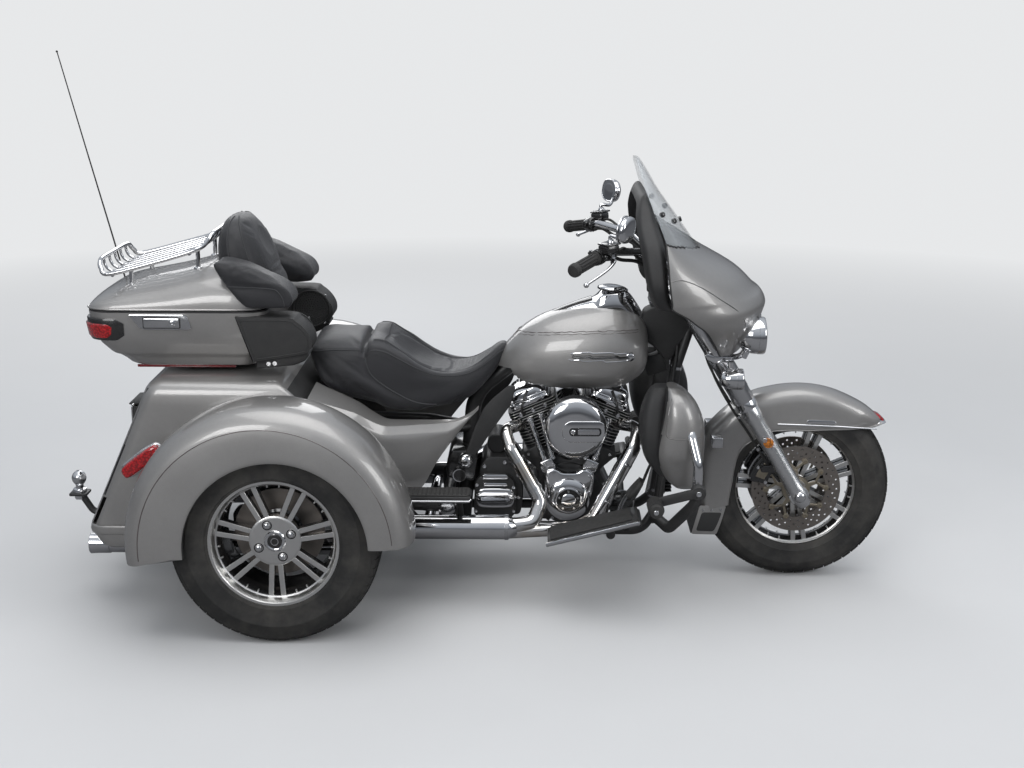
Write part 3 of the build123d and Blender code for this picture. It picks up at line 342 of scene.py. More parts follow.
def itemTree(name, alongPath):
    tree = bpy.data.node_groups.new(name, "GeometryNodeTree")
    names = {"shape": socketIn(tree, "Places", "Geometry"), "item": socketIn(tree, "Item", "Object"),
             "finish": socketIn(tree, "Finish", "Material"),
             "spacing": socketIn(tree, "Spacing", "Float")}
    tree.interface.new_socket("Geometry", in_out="OUTPUT", socket_type="NodeSocketGeometry")
    add, link = tree.nodes.new, tree.links.new
    start, end, item = add("NodeGroupInput"), add("NodeGroupOutput"), add("GeometryNodeObjectInfo")
    spread = add("GeometryNodeInstanceOnPoints")
    real, paint = add("GeometryNodeRealizeInstances"), add("GeometryNodeSetMaterial")
    link(start.outputs["Item"], item.inputs["Object"])
    if alongPath:
        walk = add("GeometryNodeCurveToPoints")
        walk.mode = "LENGTH"
        link(start.outputs["Places"], walk.inputs["Curve"])
        link(start.outputs["Spacing"], walk.inputs["Length"])
        link(walk.outputs["Points"], spread.inputs["Points"])
        link(walk.outputs["Rotation"], spread.inputs["Rotation"])
    else:
        link(start.outputs["Places"], spread.inputs["Points"])
        turn = None
        for word, axis, pivot in (("aim", "Z", "AUTO"), ("side", "X", "Z")):
            read, align = add("GeometryNodeInputNamedAttribute"), add("FunctionNodeAlignRotationToVector")
            read.data_type = "FLOAT_VECTOR"
            read.inputs["Name"].default_value = word
            align.axis, align.pivot_axis = axis, pivot
            link(read.outputs["Attribute"], align.inputs["Vector"])
            if turn:
                link(turn.outputs["Rotation"], align.inputs["Rotation"])
            turn = align
        link(turn.outputs["Rotation"], spread.inputs["Rotation"])
    link(item.outputs["Geometry"], spread.inputs["Instance"])
    link(spread.outputs["Instances"], real.inputs["Geometry"])
    link(real.outputs["Geometry"], paint.inputs["Geometry"])
    link(start.outputs["Finish"], paint.inputs["Material"])
    link(paint.outputs["Geometry"], end.inputs["Geometry"])
    return tree, names


trees = {False: itemTree("itemsOnPoints", False), True: itemTree("itemsAlongPath", True)}


def runTree(data, item, along, finish, spacing):
    tree, names = trees[along]
    holder, source = shown("places", data), shown("item", toMesh(item))
    step = holder.modifiers.new("items", "NODES")
    step.node_group = tree
    step[names["item"]] = source
    step[names["finish"]], step[names["spacing"]] = finish, float(spacing)
    made = fromMesh(baked(holder))
    holder.modifiers.remove(step)
    for o in (holder, source):
        bpy.data.objects.remove(o)
    return made


def repeated(item, places, finish=None):
    # The item's Z goes to each place's aim and its X as near as it can to side.
    mesh = bpy.data.meshes.new("places")
    mesh.from_pydata([tuple(p[0]) for p in places], [], [])
    for k, word in ((1, "aim"), (2, "side")):
        data = mesh.attributes.new(word, "FLOAT_VECTOR", "POINT")
        for entry, place in zip(data.data, places):
            entry.vector = Vector(place[k] if len(place) > k else (1, 0.01, 0.02)).normalized()
    return runTree(mesh, item, False, finish, 0)


def strung(item, path, spacing, finish=None):
    # Sets the item along a path, its Z on the path.
    curve = bpy.data.curves.new("path", "CURVE")
    curve.dimensions = "3D"
    line = curve.splines.new("POLY")
    line.points.add(len(path) - 1)
    for point, p in zip(line.points, path):
        point.co = (*p, 1)
    return runTree(curve, item, True, finish, spacing)


def round2(radius, count, start=0.0):
    return [(radius * cos(start + 2 * pi * k / count), radius * sin(start + 2 * pi * k / count))
            for k in range(count)]


def ringPlaces(centre, aim, radius, count, start=0.0, lift=0.0):
    # Places on a circle; side points outwards.
    place = toward(centre, aim)
    turn = place.to_3x3()
    return [(place @ Vector((x, y, lift)), Vector(aim), turn @ Vector((x, y, 0)))
            for x, y in round2(radius, count, start)]


def boltItem(radius, high):
    # A round screw head, hollow in the middle.
    return turned([(0, 0), (radius, 0), (radius, high * 0.8), (radius * 0.88, high), (radius * 0.5, high),
                   (radius * 0.5, high * 0.4), (0, high * 0.4)], zero, upward, 12)


def screws(places, aim=toRight, radius=6.0, high=5.0):
    # Screw heads at (x, y, z) places that all look the same way.
    return repeated(boltItem(radius, high), [(Vector(p), aim) for p in places], finish=m(chrome))


def piece(name, body, parts, replaces=(), angle=32):
    # One object from {finish: form}, in metres at the origin, riding on its body.
    whole = joined(parts.values())
    mesh = toMesh(whole, name)
    for finish in parts:
        mesh.materials.append(finish)
    kinds = [k for k, form in enumerate(parts.values()) for _ in form.faces]
    mesh.polygons.foreach_set("material_index", kinds)
    work = bmesh.new()
    work.from_mesh(mesh)
    bmesh.ops.remove_doubles(work, verts=work.verts, dist=0.01)
    bmesh.ops.dissolve_degenerate(work, edges=work.edges, dist=0.002)
    bmesh.ops.recalc_face_normals(work, faces=work.faces)
    for v in work.verts:
        v.co = metres(v.co)
    work.to_mesh(mesh)
    work.free()
    mesh.shade_smooth()
    mesh.set_sharp_from_angle(angle=radians(angle))
    obj = shown(name, mesh)
    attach(obj, body)
    if replaces:
        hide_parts(*[n for n in replaces if n in cad])
    return obj


# Shader maths: a socket that takes part in sums
class Value:
    def __init__(self, finish, socket):
        self.finish, self.socket = finish, socket

    def sum(self, word, a, b=None):
        node = self.finish.add("Math", {"operation": word}, {0: a} if b is None else {0: a, 1: b})
        return Value(self.finish, node.outputs[0])

    def __add__(self, other): return self.sum("ADD", self, other)
    def __radd__(self, other): return self.sum("ADD", other, self)
    def __sub__(self, other): return self.sum("SUBTRACT", self, other)
    def __mul__(self, other): return self.sum("MULTIPLY", self, other)


class Finish:
    def __init__(self, name, colour, roughness, metallic=0.0, **extra):
        self.material = bpy.data.materials.new(name)
        self.material.use_nodes = True
        self.tree = self.material.node_tree
        self.shader = self.tree.nodes["Principled BSDF"]
        self.set({"Base Color": (*colour, 1), "Roughness": roughness, "Metallic": metallic})
        self.set({key.replace("_", " "): value for key, value in extra.items()})
        self.where = self.add("TexCoord").outputs["Object"]

    def add(self, kind, settings=None, values=None):
        node = self.tree.nodes.new("ShaderNode" + kind)
        for key, value in (settings or {}).items():
            setattr(node, key, value)
        for key, value in (values or {}).items():
            self.feed(node.inputs[key], value)
        return node

    def feed(self, socket, value):
        if isinstance(value, Value):
            self.tree.links.new(value.socket, socket)
        elif isinstance(value, bpy.types.NodeSocket):
            self.tree.links.new(value, socket)
        else:
            socket.default_value = value

    def set(self, values):
        for key, value in values.items():
            self.feed(self.shader.inputs[key], value)

    def noise(self, scale, detail=3.0, rough=0.55):
        node = self.add("TexNoise", None,
                        {"Vector": self.where, "Scale": scale, "Detail": detail, "Roughness": rough})
        return Value(self, node.outputs[0])

    def cells(self, scale, feature="F1", out="Distance"):
        node = self.add("TexVoronoi", {"feature": feature}, {"Vector": self.where, "Scale": scale})
        return Value(self, node.outputs[out])

    def spread(self, value, low, high, toLow=0.0, toHigh=1.0):
        node = self.add("MapRange", {"clamp": True},
                        {"Value": value, "From Min": low, "From Max": high, "To Min": toLow, "To Max": toHigh})
        return Value(self, node.outputs[0])

    def mix(self, factor, a, b):
        node = self.add("Mix", {"data_type": "RGBA"}, {0: factor, 6: (*a, 1) if isinstance(a, tuple) else a,
                                                       7: (*b, 1) if isinstance(b, tuple) else b})
        return node.outputs[2]

    def bump(self, height, distance, strength=1.0):
        self.set({"Normal": self.add("Bump", None,
                                     {"Height": height, "Distance": distance, "Strength": strength}).outputs[0]})


def paintFinish(name, colour):
    f = Finish(name, colour, 0.36, 0.72, Coat_Weight=1.0, Coat_Roughness=0.035)
    tone = f.noise(3.0, 2.0) * 0.5 + f.cells(900.0, out="Color") * 0.1 + f.noise(60.0, 4.0) * 0.12
    dark, pale = tuple(c * 0.86 for c in colour), tuple(min(c * 1.16, 1) for c in colour)
    f.set({"Base Color": f.mix(f.spread(tone, 0.25, 0.65), dark, pale)})
    f.set({"Roughness": 0.30 + f.cells(700.0) * 0.25 + f.noise(9.0) * 0.06})
    return f


def metalFinish(name, colour, roughness, smudge=0.08, grain=None, **extra):
    f = Finish(name, colour, roughness, 1.0, **extra)
    cloud = f.noise(14.0, 5.0)
    f.set({"Roughness": roughness + (cloud - 0.5) * smudge + f.noise(160.0, 2.0) * smudge * 0.4})
    f.set({"Base Color": f.mix(f.spread(cloud, 0.35, 0.75), colour, tuple(c * 0.90 for c in colour))})
    if grain:
        f.bump(f.noise(grain[0], 3.0), grain[1], 0.6)
    return f


paint = paintFinish("pewterPaint", (0.355, 0.345, 0.335))
# A darker copy of the pewter paint: painted shade for the grooves and seams drawn as lines on the fairing and leg
# shields.
grooveShadePaint = paintFinish("pewterGrooveShade", (0.20, 0.195, 0.19))
chrome = metalFinish("chrome", (0.80, 0.80, 0.81), 0.055, 0.05)
chromeSatin = metalFinish("satinChrome", (0.68, 0.68, 0.69), 0.20, 0.10)
alloy = metalFinish("machinedAlloy", (0.80, 0.79, 0.77), 0.30, 0.12, (420.0, 0.0004))
forkAlloy = metalFinish("forkAlloy", (0.80, 0.80, 0.80), 0.24, 0.10, (300.0, 0.0003))
discSteel = metalFinish("discSteel", (0.30, 0.27, 0.245), 0.42, 0.16, (240.0, 0.0004))
bronze = metalFinish("bronzeCarrier", (0.42, 0.37, 0.29), 0.38, 0.10)
pipeChrome = metalFinish("bluedPipe", (0.76, 0.75, 0.74), 0.10, 0.06)
heat = pipeChrome.noise(5.0, 3.0)
pipeChrome.set({"Base Color": pipeChrome.mix(pipeChrome.spread(heat, 0.50, 0.72), (0.76, 0.75, 0.74),
                                             (0.62, 0.52, 0.40))})

engineBlack = Finish("engineBlack", (0.018, 0.018, 0.019), 0.42, 0.0, Coat_Weight=0.25, Coat_Roughness=0.25)
wrinkle = engineBlack.noise(420.0, 4.0)
engineBlack.set({"Base Color": engineBlack.mix(engineBlack.noise(22.0), (0.012, 0.012, 0.013), (0.03, 0.029, 0.028))})
engineBlack.set({"Roughness": 0.38 + wrinkle * 0.22})
engineBlack.bump(wrinkle, 0.0006, 0.7)
glossBlack = Finish("glossBlack", (0.012, 0.012, 0.013), 0.22, 0.0, Coat_Weight=0.8, Coat_Roughness=0.08)
glossBlack.set({"Roughness": 0.18 + glossBlack.noise(30.0, 5.0) * 0.14})
glossBlack.set({"Base Color": glossBlack.mix(glossBlack.noise(8.0), (0.010, 0.010, 0.011), (0.022, 0.021, 0.020))})
plastic = Finish("grainedPlastic", (0.022, 0.022, 0.023), 0.52)
grains = plastic.cells(620.0)
plastic.set({"Base Color": plastic.mix(plastic.noise(18.0, 4.0), (0.016, 0.016, 0.017), (0.036, 0.035, 0.034))})
plastic.set({"Roughness": 0.44 + grains * 0.30})
plastic.bump(grains, 0.0005, 0.5)
rubber = Finish("gripRubber", (0.020, 0.020, 0.020), 0.66)
rubber.set({"Base Color": rubber.mix(rubber.noise(25.0, 5.0), (0.014, 0.014, 0.014), (0.040, 0.038, 0.036)),
            "Roughness": 0.55 + rubber.noise(90.0) * 0.25})
rubber.bump(rubber.noise(500.0, 2.0), 0.0003, 0.5)
tyreRubber = Finish("tyreRubber", (0.022, 0.021, 0.020), 0.72)
dust = tyreRubber.noise(7.0, 6.0, 0.65)
tyreRubber.set({"Base Color": tyreRubber.mix(tyreRubber.spread(dust, 0.42, 0.80), (0.016, 0.0155, 0.015),
                                             (0.062, 0.057, 0.050)),
                "Roughness": 0.62 + tyreRubber.noise(45.0) * 0.22})
tyreRubber.bump(tyreRubber.noise(260.0, 4.0), 0.0005, 0.6)


def leatherFinish(name, colour, shine=0.40):
    f = Finish(name, colour, shine, Sheen_Weight=0.12, Sheen_Roughness=0.45)
    hide = f.cells(330.0, "DISTANCE_TO_EDGE")
    wide = f.noise(5.0, 4.0)
    f.set({"Base Color": f.mix(f.spread(wide, 0.35, 0.75), colour, tuple(c * 1.75 for c in colour)),
           "Roughness": shine + wide * 0.12 - f.spread(hide, 0.0, 0.3, 0.0, 0.10)})
    f.bump(f.spread(hide, 0.0, 0.12) * 0.6 + f.noise(900.0, 2.0) * 0.25 + wide * 0.5, 0.0009, 0.55)
    return f


leather = leatherFinish("seatLeather", (0.013, 0.013, 0.015), 0.44)
leatherSide = leatherFinish("seatSkirt", (0.012, 0.012, 0.014), 0.5)
thread = Finish("blackThread", (0.035, 0.035, 0.038), 0.7)
thread.set({"Base Color": thread.mix(thread.noise(700.0), (0.02, 0.02, 0.022), (0.06, 0.06, 0.064))})


def lensFinish(name, colour, facet=150.0):
    f = Finish(name, colour, 0.08, Coat_Weight=1.0, Coat_Roughness=0.03)
    cell = f.cells(facet, out="Distance")
    f.set({"Base Color": f.mix(f.spread(cell, 0.1, 0.7), colour, tuple(c * 0.35 for c in colour))})
    f.bump(cell, 0.001, 0.35)
    return f


redLens = lensFinish("redLens", (0.52, 0.012, 0.016))
darkRed = lensFinish("darkRedReflector", (0.24, 0.010, 0.014), facet=320.0)
amberLens = lensFinish("amberLens", (0.62, 0.20, 0.02))
clearLens = Finish("clearLens", (0.86, 0.88, 0.90), 0.06, Transmission_Weight=0.75, IOR=1.46, Coat_Weight=0.6)
clearLens.bump(clearLens.cells(120.0), 0.0015, 0.4)
clearLens.set({"Base Color": clearLens.mix(clearLens.noise(40.0), (0.80, 0.83, 0.86), (0.92, 0.93, 0.94))})
screen = Finish("windscreen", (0.86, 0.90, 0.93), 0.03, Transmission_Weight=0.5, IOR=1.12, Alpha=0.30,
                Coat_Weight=0.5)
screen.set({"Base Color": screen.mix(screen.noise(4.0), (0.80, 0.85, 0.88), (0.90, 0.93, 0.95)),
            "Roughness": 0.02 + screen.noise(12.0, 5.0) * 0.05})
mirrorGlass = metalFinish("mirrorGlass", (0.88, 0.90, 0.91), 0.02, 0.02)
pinstripe = Finish("darkStripe", (0.06, 0.045, 0.045), 0.3, Coat_Weight=1.0, Coat_Roughness=0.05)
pinstripe.set({"Base Color": pinstripe.mix(pinstripe.noise(30.0), (0.050, 0.036, 0.036), (0.085, 0.062, 0.060))})
dial = Finish("dialFace", (0.62, 0.62, 0.60), 0.5)
dial.set({"Base Color": dial.mix(dial.noise(60.0), (0.55, 0.55, 0.53), (0.68, 0.68, 0.66))})
print("finishes made")

cadFinish = {
    "paint": ("side_covers trunk_body trunk_door rear_fender_left rear_fender_right rear_bumper topcase_box "
              "topcase_lid leg_shields fairing_outer front_fender fuel_tank", paint),
    "chrome": ("rocker_covers cam_cover air_cleaner tank_console hitch luggage_rack engine_guard handlebar mirrors "
               "headlamp passing_lamps front_signals horn", chrome),
    "pipes": ("exhaust_pipes mufflers", pipeChrome),
    "black": ("frame rear_axle engine_case cylinders gearbox primary_cover antenna foot_controls", engineBlack),
    "fork": ("fork front_calipers", forkAlloy),
    "rim": ("front_rim rear_rim_left rear_rim_right", alloy),
    "tyre": ("front_tyre rear_tyre_left rear_tyre_right", tyreRubber),
    "leather": ("seat backrest", leather),
    "plastic": ("speaker_pods fairing_inner floorboards passenger_boards hand_controls plate_holder highway_pegs",
                plastic),
    "red": ("topcase_lamps rear_signals", redLens),
    "clear": ("windshield", screen),
}
for names, finish in cadFinish.values():
    for name in names.split():
        if name in cad:
            cad[name].data.materials.clear()
            cad[name].data.materials.append(finish.material)


def m(finish):
    return finish.material


# Camera, light and floor
view = {"at": (804, -4794, 1917), "down": 14.62, "turn": 1.10, "lens": 51.55}
camera = shown("camera", bpy.data.cameras.new("camera"))
camera.data.lens, camera.data.sensor_width = view["lens"], 36
camera.location = metres(view["at"])
camera.rotation_euler = (radians(90 - view["down"]), 0, radians(view["turn"]))
bpy.context.scene.camera = camera
bpy.context.scene.view_settings.view_transform = "Standard"

lamps = [  # name, place in m, aim in m, size in m, power in W
    ("skyLight", (0.2, -0.6, 5.2), (0, 0, 0.6), 5.0, 150),
    ("sideLight", (-2.6, -5.6, 3.2), (-0.3, 0, 0.7), 2.6, 115),
    ("frontLight", (4.6, -2.6, 2.6), (0.6, 0, 0.8), 2.2, 60),
    ("backLight", (-1.2, 5.0, 3.0), (0, 0, 0.7), 3.0, 60),
]
for name, place, aim, size, power in lamps:
    lamp = shown(name, bpy.data.lights.new(name, "AREA"))
    lamp.data.size, lamp.data.energy = size, power
    lamp.location = place
    lamp.rotation_euler = (Vector(aim) - Vector(place)).to_track_quat("-Z", "Y").to_euler()

world = bpy.data.worlds.new("studio")
bpy.context.scene.world = world
world.use_nodes = True
sky = world.node_tree
sky.nodes.clear()
skyOut, rays = sky.nodes.new("ShaderNodeOutputWorld"), sky.nodes.new("ShaderNodeLightPath")
lit, seen, mixSky = (sky.nodes.new("ShaderNode" + kind) for kind in ("Background", "Background", "MixShader"))
litHeight, litSplit, litRamp = (sky.nodes.new("ShaderNode" + kind)
                                for kind in ("TexCoord", "SeparateXYZ", "ValToRGB"))
for stop, (place, colour) in zip([litRamp.color_ramp.elements[0], litRamp.color_ramp.elements.new(0.25),
                                  litRamp.color_ramp.elements[-1]],
                                 [(0.0, (0.20, 0.21, 0.23, 1)), (0.25, (0.52, 0.56, 0.62, 1)),
                                  (0.85, (0.88, 0.93, 1.0, 1))]):
    stop.position, stop.color = place, colour
sky.links.new(litHeight.outputs["Generated"], litSplit.inputs[0])
sky.links.new(litSplit.outputs["Z"], litRamp.inputs[0])
sky.links.new(litRamp.outputs[0], lit.inputs["Color"])
lit.inputs["Strength"].default_value = 0.62
seen.inputs["Color"].default_value, seen.inputs["Strength"].default_value = (0.80, 0.81, 0.82, 1), 1.0
either = sky.nodes.new("ShaderNodeMath")
either.operation = "MAXIMUM"
sky.links.new(rays.outputs["Is Camera Ray"], either.inputs[0])
sky.links.new(rays.outputs["Is Transmission Ray"], either.inputs[1])
sky.links.new(either.outputs[0], mixSky.inputs[0])
sky.links.new(lit.outputs[0], mixSky.inputs[1])
sky.links.new(seen.outputs[0], mixSky.inputs[2])
sky.links.new(mixSky.outputs[0], skyOut.inputs[0])

floorFinish = Finish("paleFloor", (0.62, 0.62, 0.62), 0.85)
floorFinish.set({"Base Color": floorFinish.mix(floorFinish.noise(1.2, 3.0), (0.60, 0.60, 0.60), (0.64, 0.64, 0.64))})
farAway = floorFinish.add("VectorMath", {"operation": "LENGTH"}, {0: floorFinish.where}).outputs["Value"]
path = floorFinish.add("LightPath").outputs
onlySeen = Value(floorFinish, path["Is Camera Ray"])
pale = floorFinish.add("Emission", None, {"Color": (0.80, 0.81, 0.82, 1), "Strength": 1.0}).outputs[0]
fade = floorFinish.spread(farAway, 2.6, 7.5) * onlySeen
floorMix = floorFinish.add("MixShader", None, {0: fade, 1: floorFinish.shader.outputs[0], 2: pale})
dim = floorFinish.add("BsdfDiffuse", None, {"Color": (0.17, 0.17, 0.175, 1)}).outputs[0]
floorAll = floorFinish.add("MixShader", None,
                           {0: Value(floorFinish, path["Is Glossy Ray"]), 1: floorMix.outputs[0], 2: dim})
floorFinish.feed(floorFinish.tree.nodes["Material Output"].inputs[0], floorAll.outputs[0])
floorMesh = toMesh(loops([[Vector((x * 40, y * 40, z)) for x, y in round2(1, 64)] for z in (-0.02, 0.0)]), "floor")
floorMesh.materials.append(m(floorFinish))
floor = shown("floor", floorMesh)
print("stage set")

# Wheels: the outward side of a wheel, Z along the axle from its middle plane
rearWheel = {"centre": (0, -540, 324), "radius": 324, "half": 102.5, "bead": 191, "lip": 208, "lipIn": 190,
             "spokeEnd": 180, "face": 58, "hub": 80, "edge": 88, "pairGap": (12.5, 19.5), "spokeWidth": 15.5,
             "start": -90}
frontWheel = {"centre": (1674, 0, 320), "radius": 320, "half": 65, "bead": 203, "lip": 220, "lipIn": 200,
              "spokeEnd": 197, "face": 30, "hub": 44, "edge": 44, "pairGap": (9, 19), "spokeWidth": 15.0,
              "start": -83}


def tyreForm(w, blocks, pitches):
    h, r, bead = w["half"], w["radius"], w["bead"]
    side = [(bead, 0.80 * h), (bead + 6, 0.86 * h), (bead + 16, 0.90 * h), (bead + 20, 0.955 * h),
            (bead + 24, 0.955 * h), (bead + 30, 0.95 * h), (bead + 0.42 * (r - bead), 0.99 * h),
            (bead + 0.50 * (r - bead), 1.0 * h), (bead + 0.53 * (r - bead), 1.012 * h),
            (bead + 0.56 * (r - bead), 1.012 * h), (bead + 0.58 * (r - bead), 0.995 * h)]
    crown = blocks["crown"]
    outline = side + crown + [(q, -t) for q, t in reversed(side + crown)] + [(bead - 6, 0)]
    carcass = turned(outline, w["centre"], toRight, 120, closed=True)
    places = ringPlaces(w["centre"], toRight, blocks["base"], pitches)
    places = [(p, out, aim) for p, aim, out in places]
    return carcass + repeated(blocks["item"], places, finish=m(tyreRubber))


def spokePair(w, low, high, trim=0.0):
    # Two spokes along X, from the hub's edge to the rim.
    forms = []
    for side in (-1, 1):
        a, b = Vector((w["hub"] - 8, side * w["pairGap"][0])), Vector((w["spokeEnd"] + 3, side * w["pairGap"][1]))
        n = Vector((-(b - a).y, (b - a).x)).normalized() * (w["spokeWidth"] / 2 - trim)
        forms.append(slab([a - n, b - n, b + n, a + n], low, high, "z", soft=0.8, segments=1))
    return joined(forms)


def wheelSide(w, deep):
    # Forms of a rim's visible side, by finish.
    at, out = w["centre"], toRight
    e, f, lip, lipIn, end = w["edge"], w["face"], w["lip"], w["lipIn"], w["spokeEnd"]
    lipForm = turned([(lip - 3, e - 9), (lip, e - 6), (lip, e), (lip - 3, e + 2), (lipIn + 3, e + 1), (lipIn, e - 2),
                      (end + 4, f + 4), (end, f + 1), (end, f - 3), (end + 3, f - 6), (lipIn + 2, e - 12)], at, out,
                     96, closed=True)
    barrel = turned([(end + 3, f - 3), (end - 2, f - 4), (end - 7, f - 14), (end - 8, -deep), (end + 3, -deep)], at,
                    out, 72, closed=True)
    pairs = ringPlaces(at, out, 0.01, 7, radians(w["start"]))
    faces = repeated(spokePair(w, f - 3, f + 1), pairs, finish=m(alloy))
    bodies = repeated(spokePair(w, f - 26, f - 2.9, -0.6), pairs, finish=m(glossBlack))
    hub = w["hub"]
    dish = turned([(0, f - 30), (hub - 6, f - 30), (hub, f - 20), (hub, f + 1), (hub - 3, f + 3), (hub - 9, f + 3.2),
                   (0, f + 3.2)], at, out, 72)
    tick = box((end - 4, 0, f - 6), (10, 4.2, 9), soft=0.6)
    step = 2 * pi / 7
    ticks = [p for shift in (-0.105, 0.105)
             for p in ringPlaces(at, out, 0.01, 7, radians(w["start"]) + step / 2 + shift)]
    return {"alloy": lipForm + faces + dish + repeated(tick, ticks, finish=m(alloy)), "black": barrel + bodies}


def treadItem(rows, long, base=-3.0):
    # One pitch of tread blocks, X across the tyre and Z outwards.
    forms = []
    for low, high, rise, skew in rows:
        form = slab([(low, -long / 2), (high, -long / 2 + skew), (high, long / 2 + skew), (low, long / 2)], base,
                    rise, "z", soft=0)
        forms.append(form)
    return joined(forms)


shoulderItem = slab([(74, 3.4), (90, -1.5), (99, -14), (94, -18), (74, -6)], -12.8, 12.8, "y", soft=0)


def withMirror(item):
    # The item and its mirror image across X.
    return item + Form([(-p.x, p.y, p.z) for p in item.points], [f[::-1] for f in item.faces])


rearBlocks = {"base": 316, "crown": [(300, 99), (309, 93), (314, 84), (316, 66), (316, 0.01)],
              "item": treadItem([(-60, -36, 7.2, 5), (-31, -5, 8, -4), (5, 31, 8, 4), (36, 60, 7.2, -5),
                                 (-72, -64, 5.6, 3), (64, 72, 5.6, -3)], 26) + withMirror(shoulderItem)}
rearTyre = tyreForm(rearWheel, rearBlocks, 66)
sideItem = slab([(34, -6.5), (54, -19), (60, -31), (57, -35), (34, -16)], -14.5, 14.5, "y", soft=0)
frontBlocks = {"base": 312, "crown": [(284, 62.5), (294, 57), (303, 44), (309, 28), (312, 0.01)],
               "item": treadItem([(-9, 9, 7.6, 4), (-30, -13, 3.5, -6), (13, 30, 3.5, 6)], 31, -8)
               + withMirror(sideItem)}
frontTyre = tyreForm(frontWheel, frontBlocks, 56)
print("tyres made")


def rearHub(w):
    at, out, f = w["centre"], toRight, w["face"] + 3.2
    lugs = ringPlaces(at, out, 55, 4, radians(24), f)
    well = turned([(15.5, 0), (15.5, 0.8), (12, 1.0), (12, 0)], zero, upward, 28, closed=True)
    nut = turned([(0, 0), (10.5, 0), (10.5, 6), (8.5, 9.5), (4, 11.5), (0, 12)], zero, upward, 12)
    centre = toward(at, out)
    cap = turned([(0, 0), (34, 0), (34, 2), (31, 5), (26, 5.5), (24, 4.5), (24, 2.5), (0, 2.5)], (0, 0, f - 0.5),
                 (0, 0, 1), 48).moved(centre)
    inset = turned([(0, 2), (22.5, 2), (22.5, 4.6), (19, 6), (0, 6.4)], (0, 0, f - 0.5), (0, 0, 1), 48).moved(centre)
    rims = turned([(12, 6.0), (12, 7.4), (10, 7.4), (10, 6.0)], (0, 0, f - 0.5), (0, 0, 1), 40,
                  closed=True).moved(centre)
    return {"chrome": repeated(nut, lugs, finish=m(chrome)) + cap + rims,
            "black": repeated(well, lugs, finish=m(glossBlack)) + inset}


def discForm(at, outer, inner, low, high, holes):
    disc = turned([(outer, low), (outer, high), (inner, high), (inner, low)], at, toRight, 96, closed=True)
    spots = []
    for radius, shift in ((outer - 12, 0.0), (outer - 24, 0.5), (outer - 36, 0.0)):
        spots += ringPlaces(at, toRight, radius, holes, shift * 2 * pi / holes, low - 2)
    drill = turned([(0, 0), (3.6, 0), (3.6, high - low + 4), (0, high - low + 4)], zero, upward, 10)
    return carved(disc, [repeated(drill, spots)])


sideForms, hubForms = wheelSide(rearWheel, 84), rearHub(rearWheel)
backFlange = turned([(172, -84), (172, -70), (186, -78), (206, -80), (208, -84), (206, -88), (190, -88)],
                    rearWheel["centre"], toRight, 96, closed=True)
rearDisc = turned([(140, -34), (140, -26), (70, -26), (70, -34)], rearWheel["centre"], toRight, 72, closed=True)
rearBell = turned([(0, -60), (62, -60), (66, -30), (74, -26), (66, -22), (60, 30), (0, 30)], rearWheel["centre"],
                  toRight, 48)
rearRim = {m(alloy): sideForms["alloy"],
           m(glossBlack): sideForms["black"] + hubForms["black"] + backFlange + rearBell,
           m(chrome): hubForms["chrome"], m(discSteel): rearDisc}
for body, side in (("rear_wheel_right", False), ("rear_wheel_left", True)):
    word = body.replace("rear_wheel_", "")
    piece("rearRim" + word.capitalize(), body, {k: f.mirrored() if side else f for k, f in rearRim.items()},
          ["rear_rim_" + word])
    piece("rearTyre" + word.capitalize(), body, {m(tyreRubber): rearTyre.mirrored() if side else rearTyre},
          ["rear_tyre_" + word])


def carrierForm(at):
    # The five-armed spider that holds a front disc.
    arms = []
    for k in range(5):
        a = 2 * pi * k / 5 + 0.35
        hubSide, tip = Vector((34 * cos(a), 34 * sin(a))), Vector((70 * cos(a), 70 * sin(a)))
        n = Vector((-sin(a), cos(a)))
        arms.append(slab([hubSide - n * 9, tip - n * 5, tip + n * 5, hubSide + n * 9], 59, 66, "z", soft=0.8,
                         segments=1))
        for side in (-1, 1):
            b = a + side * 0.30
            end = Vector((101 * cos(b), 101 * sin(b)))
            q = Vector((-sin(b), cos(b)))
            arms.append(slab([tip - q * 5, end - q * 4.5, end + q * 4.5, tip + q * 5], 59, 65, "z", soft=0.8,
                             segments=1))
            arms.append(turned([(0, 56), (10, 56), (10, 66), (5, 67), (5, 64), (0, 64)], (end.x, end.y, 0), (0, 0, 1),
                               20))
    ring = turned([(30, 58), (48, 58), (46, 68), (30, 68)], zero, upward, 48, closed=True)
    return joined(arms + [ring]).moved(toward(at, toRight))


frontAt = frontWheel["centre"]
frontSide = wheelSide(frontWheel, 2)
frontDisc = discForm(frontAt, 150, 101, 55, 60.5, 26)
frontHub = turned([(0, 0), (44, 0), (44, 26), (38, 40), (38, 66), (30, 70), (24, 70), (24, 66), (0, 66)], frontAt,
                  toRight, 48)
frontRim = {m(alloy): frontSide["alloy"].both(), m(glossBlack): frontSide["black"].both(),
            m(discSteel): frontDisc.both(), m(bronze): carrierForm(frontAt).both(), m(chromeSatin): frontHub.both()}
piece("frontRim", "front_wheel", frontRim, ["front_rim"])
piece("frontTyre", "front_wheel", {m(tyreRubber): frontTyre}, ["front_tyre"])
print("wheels made")

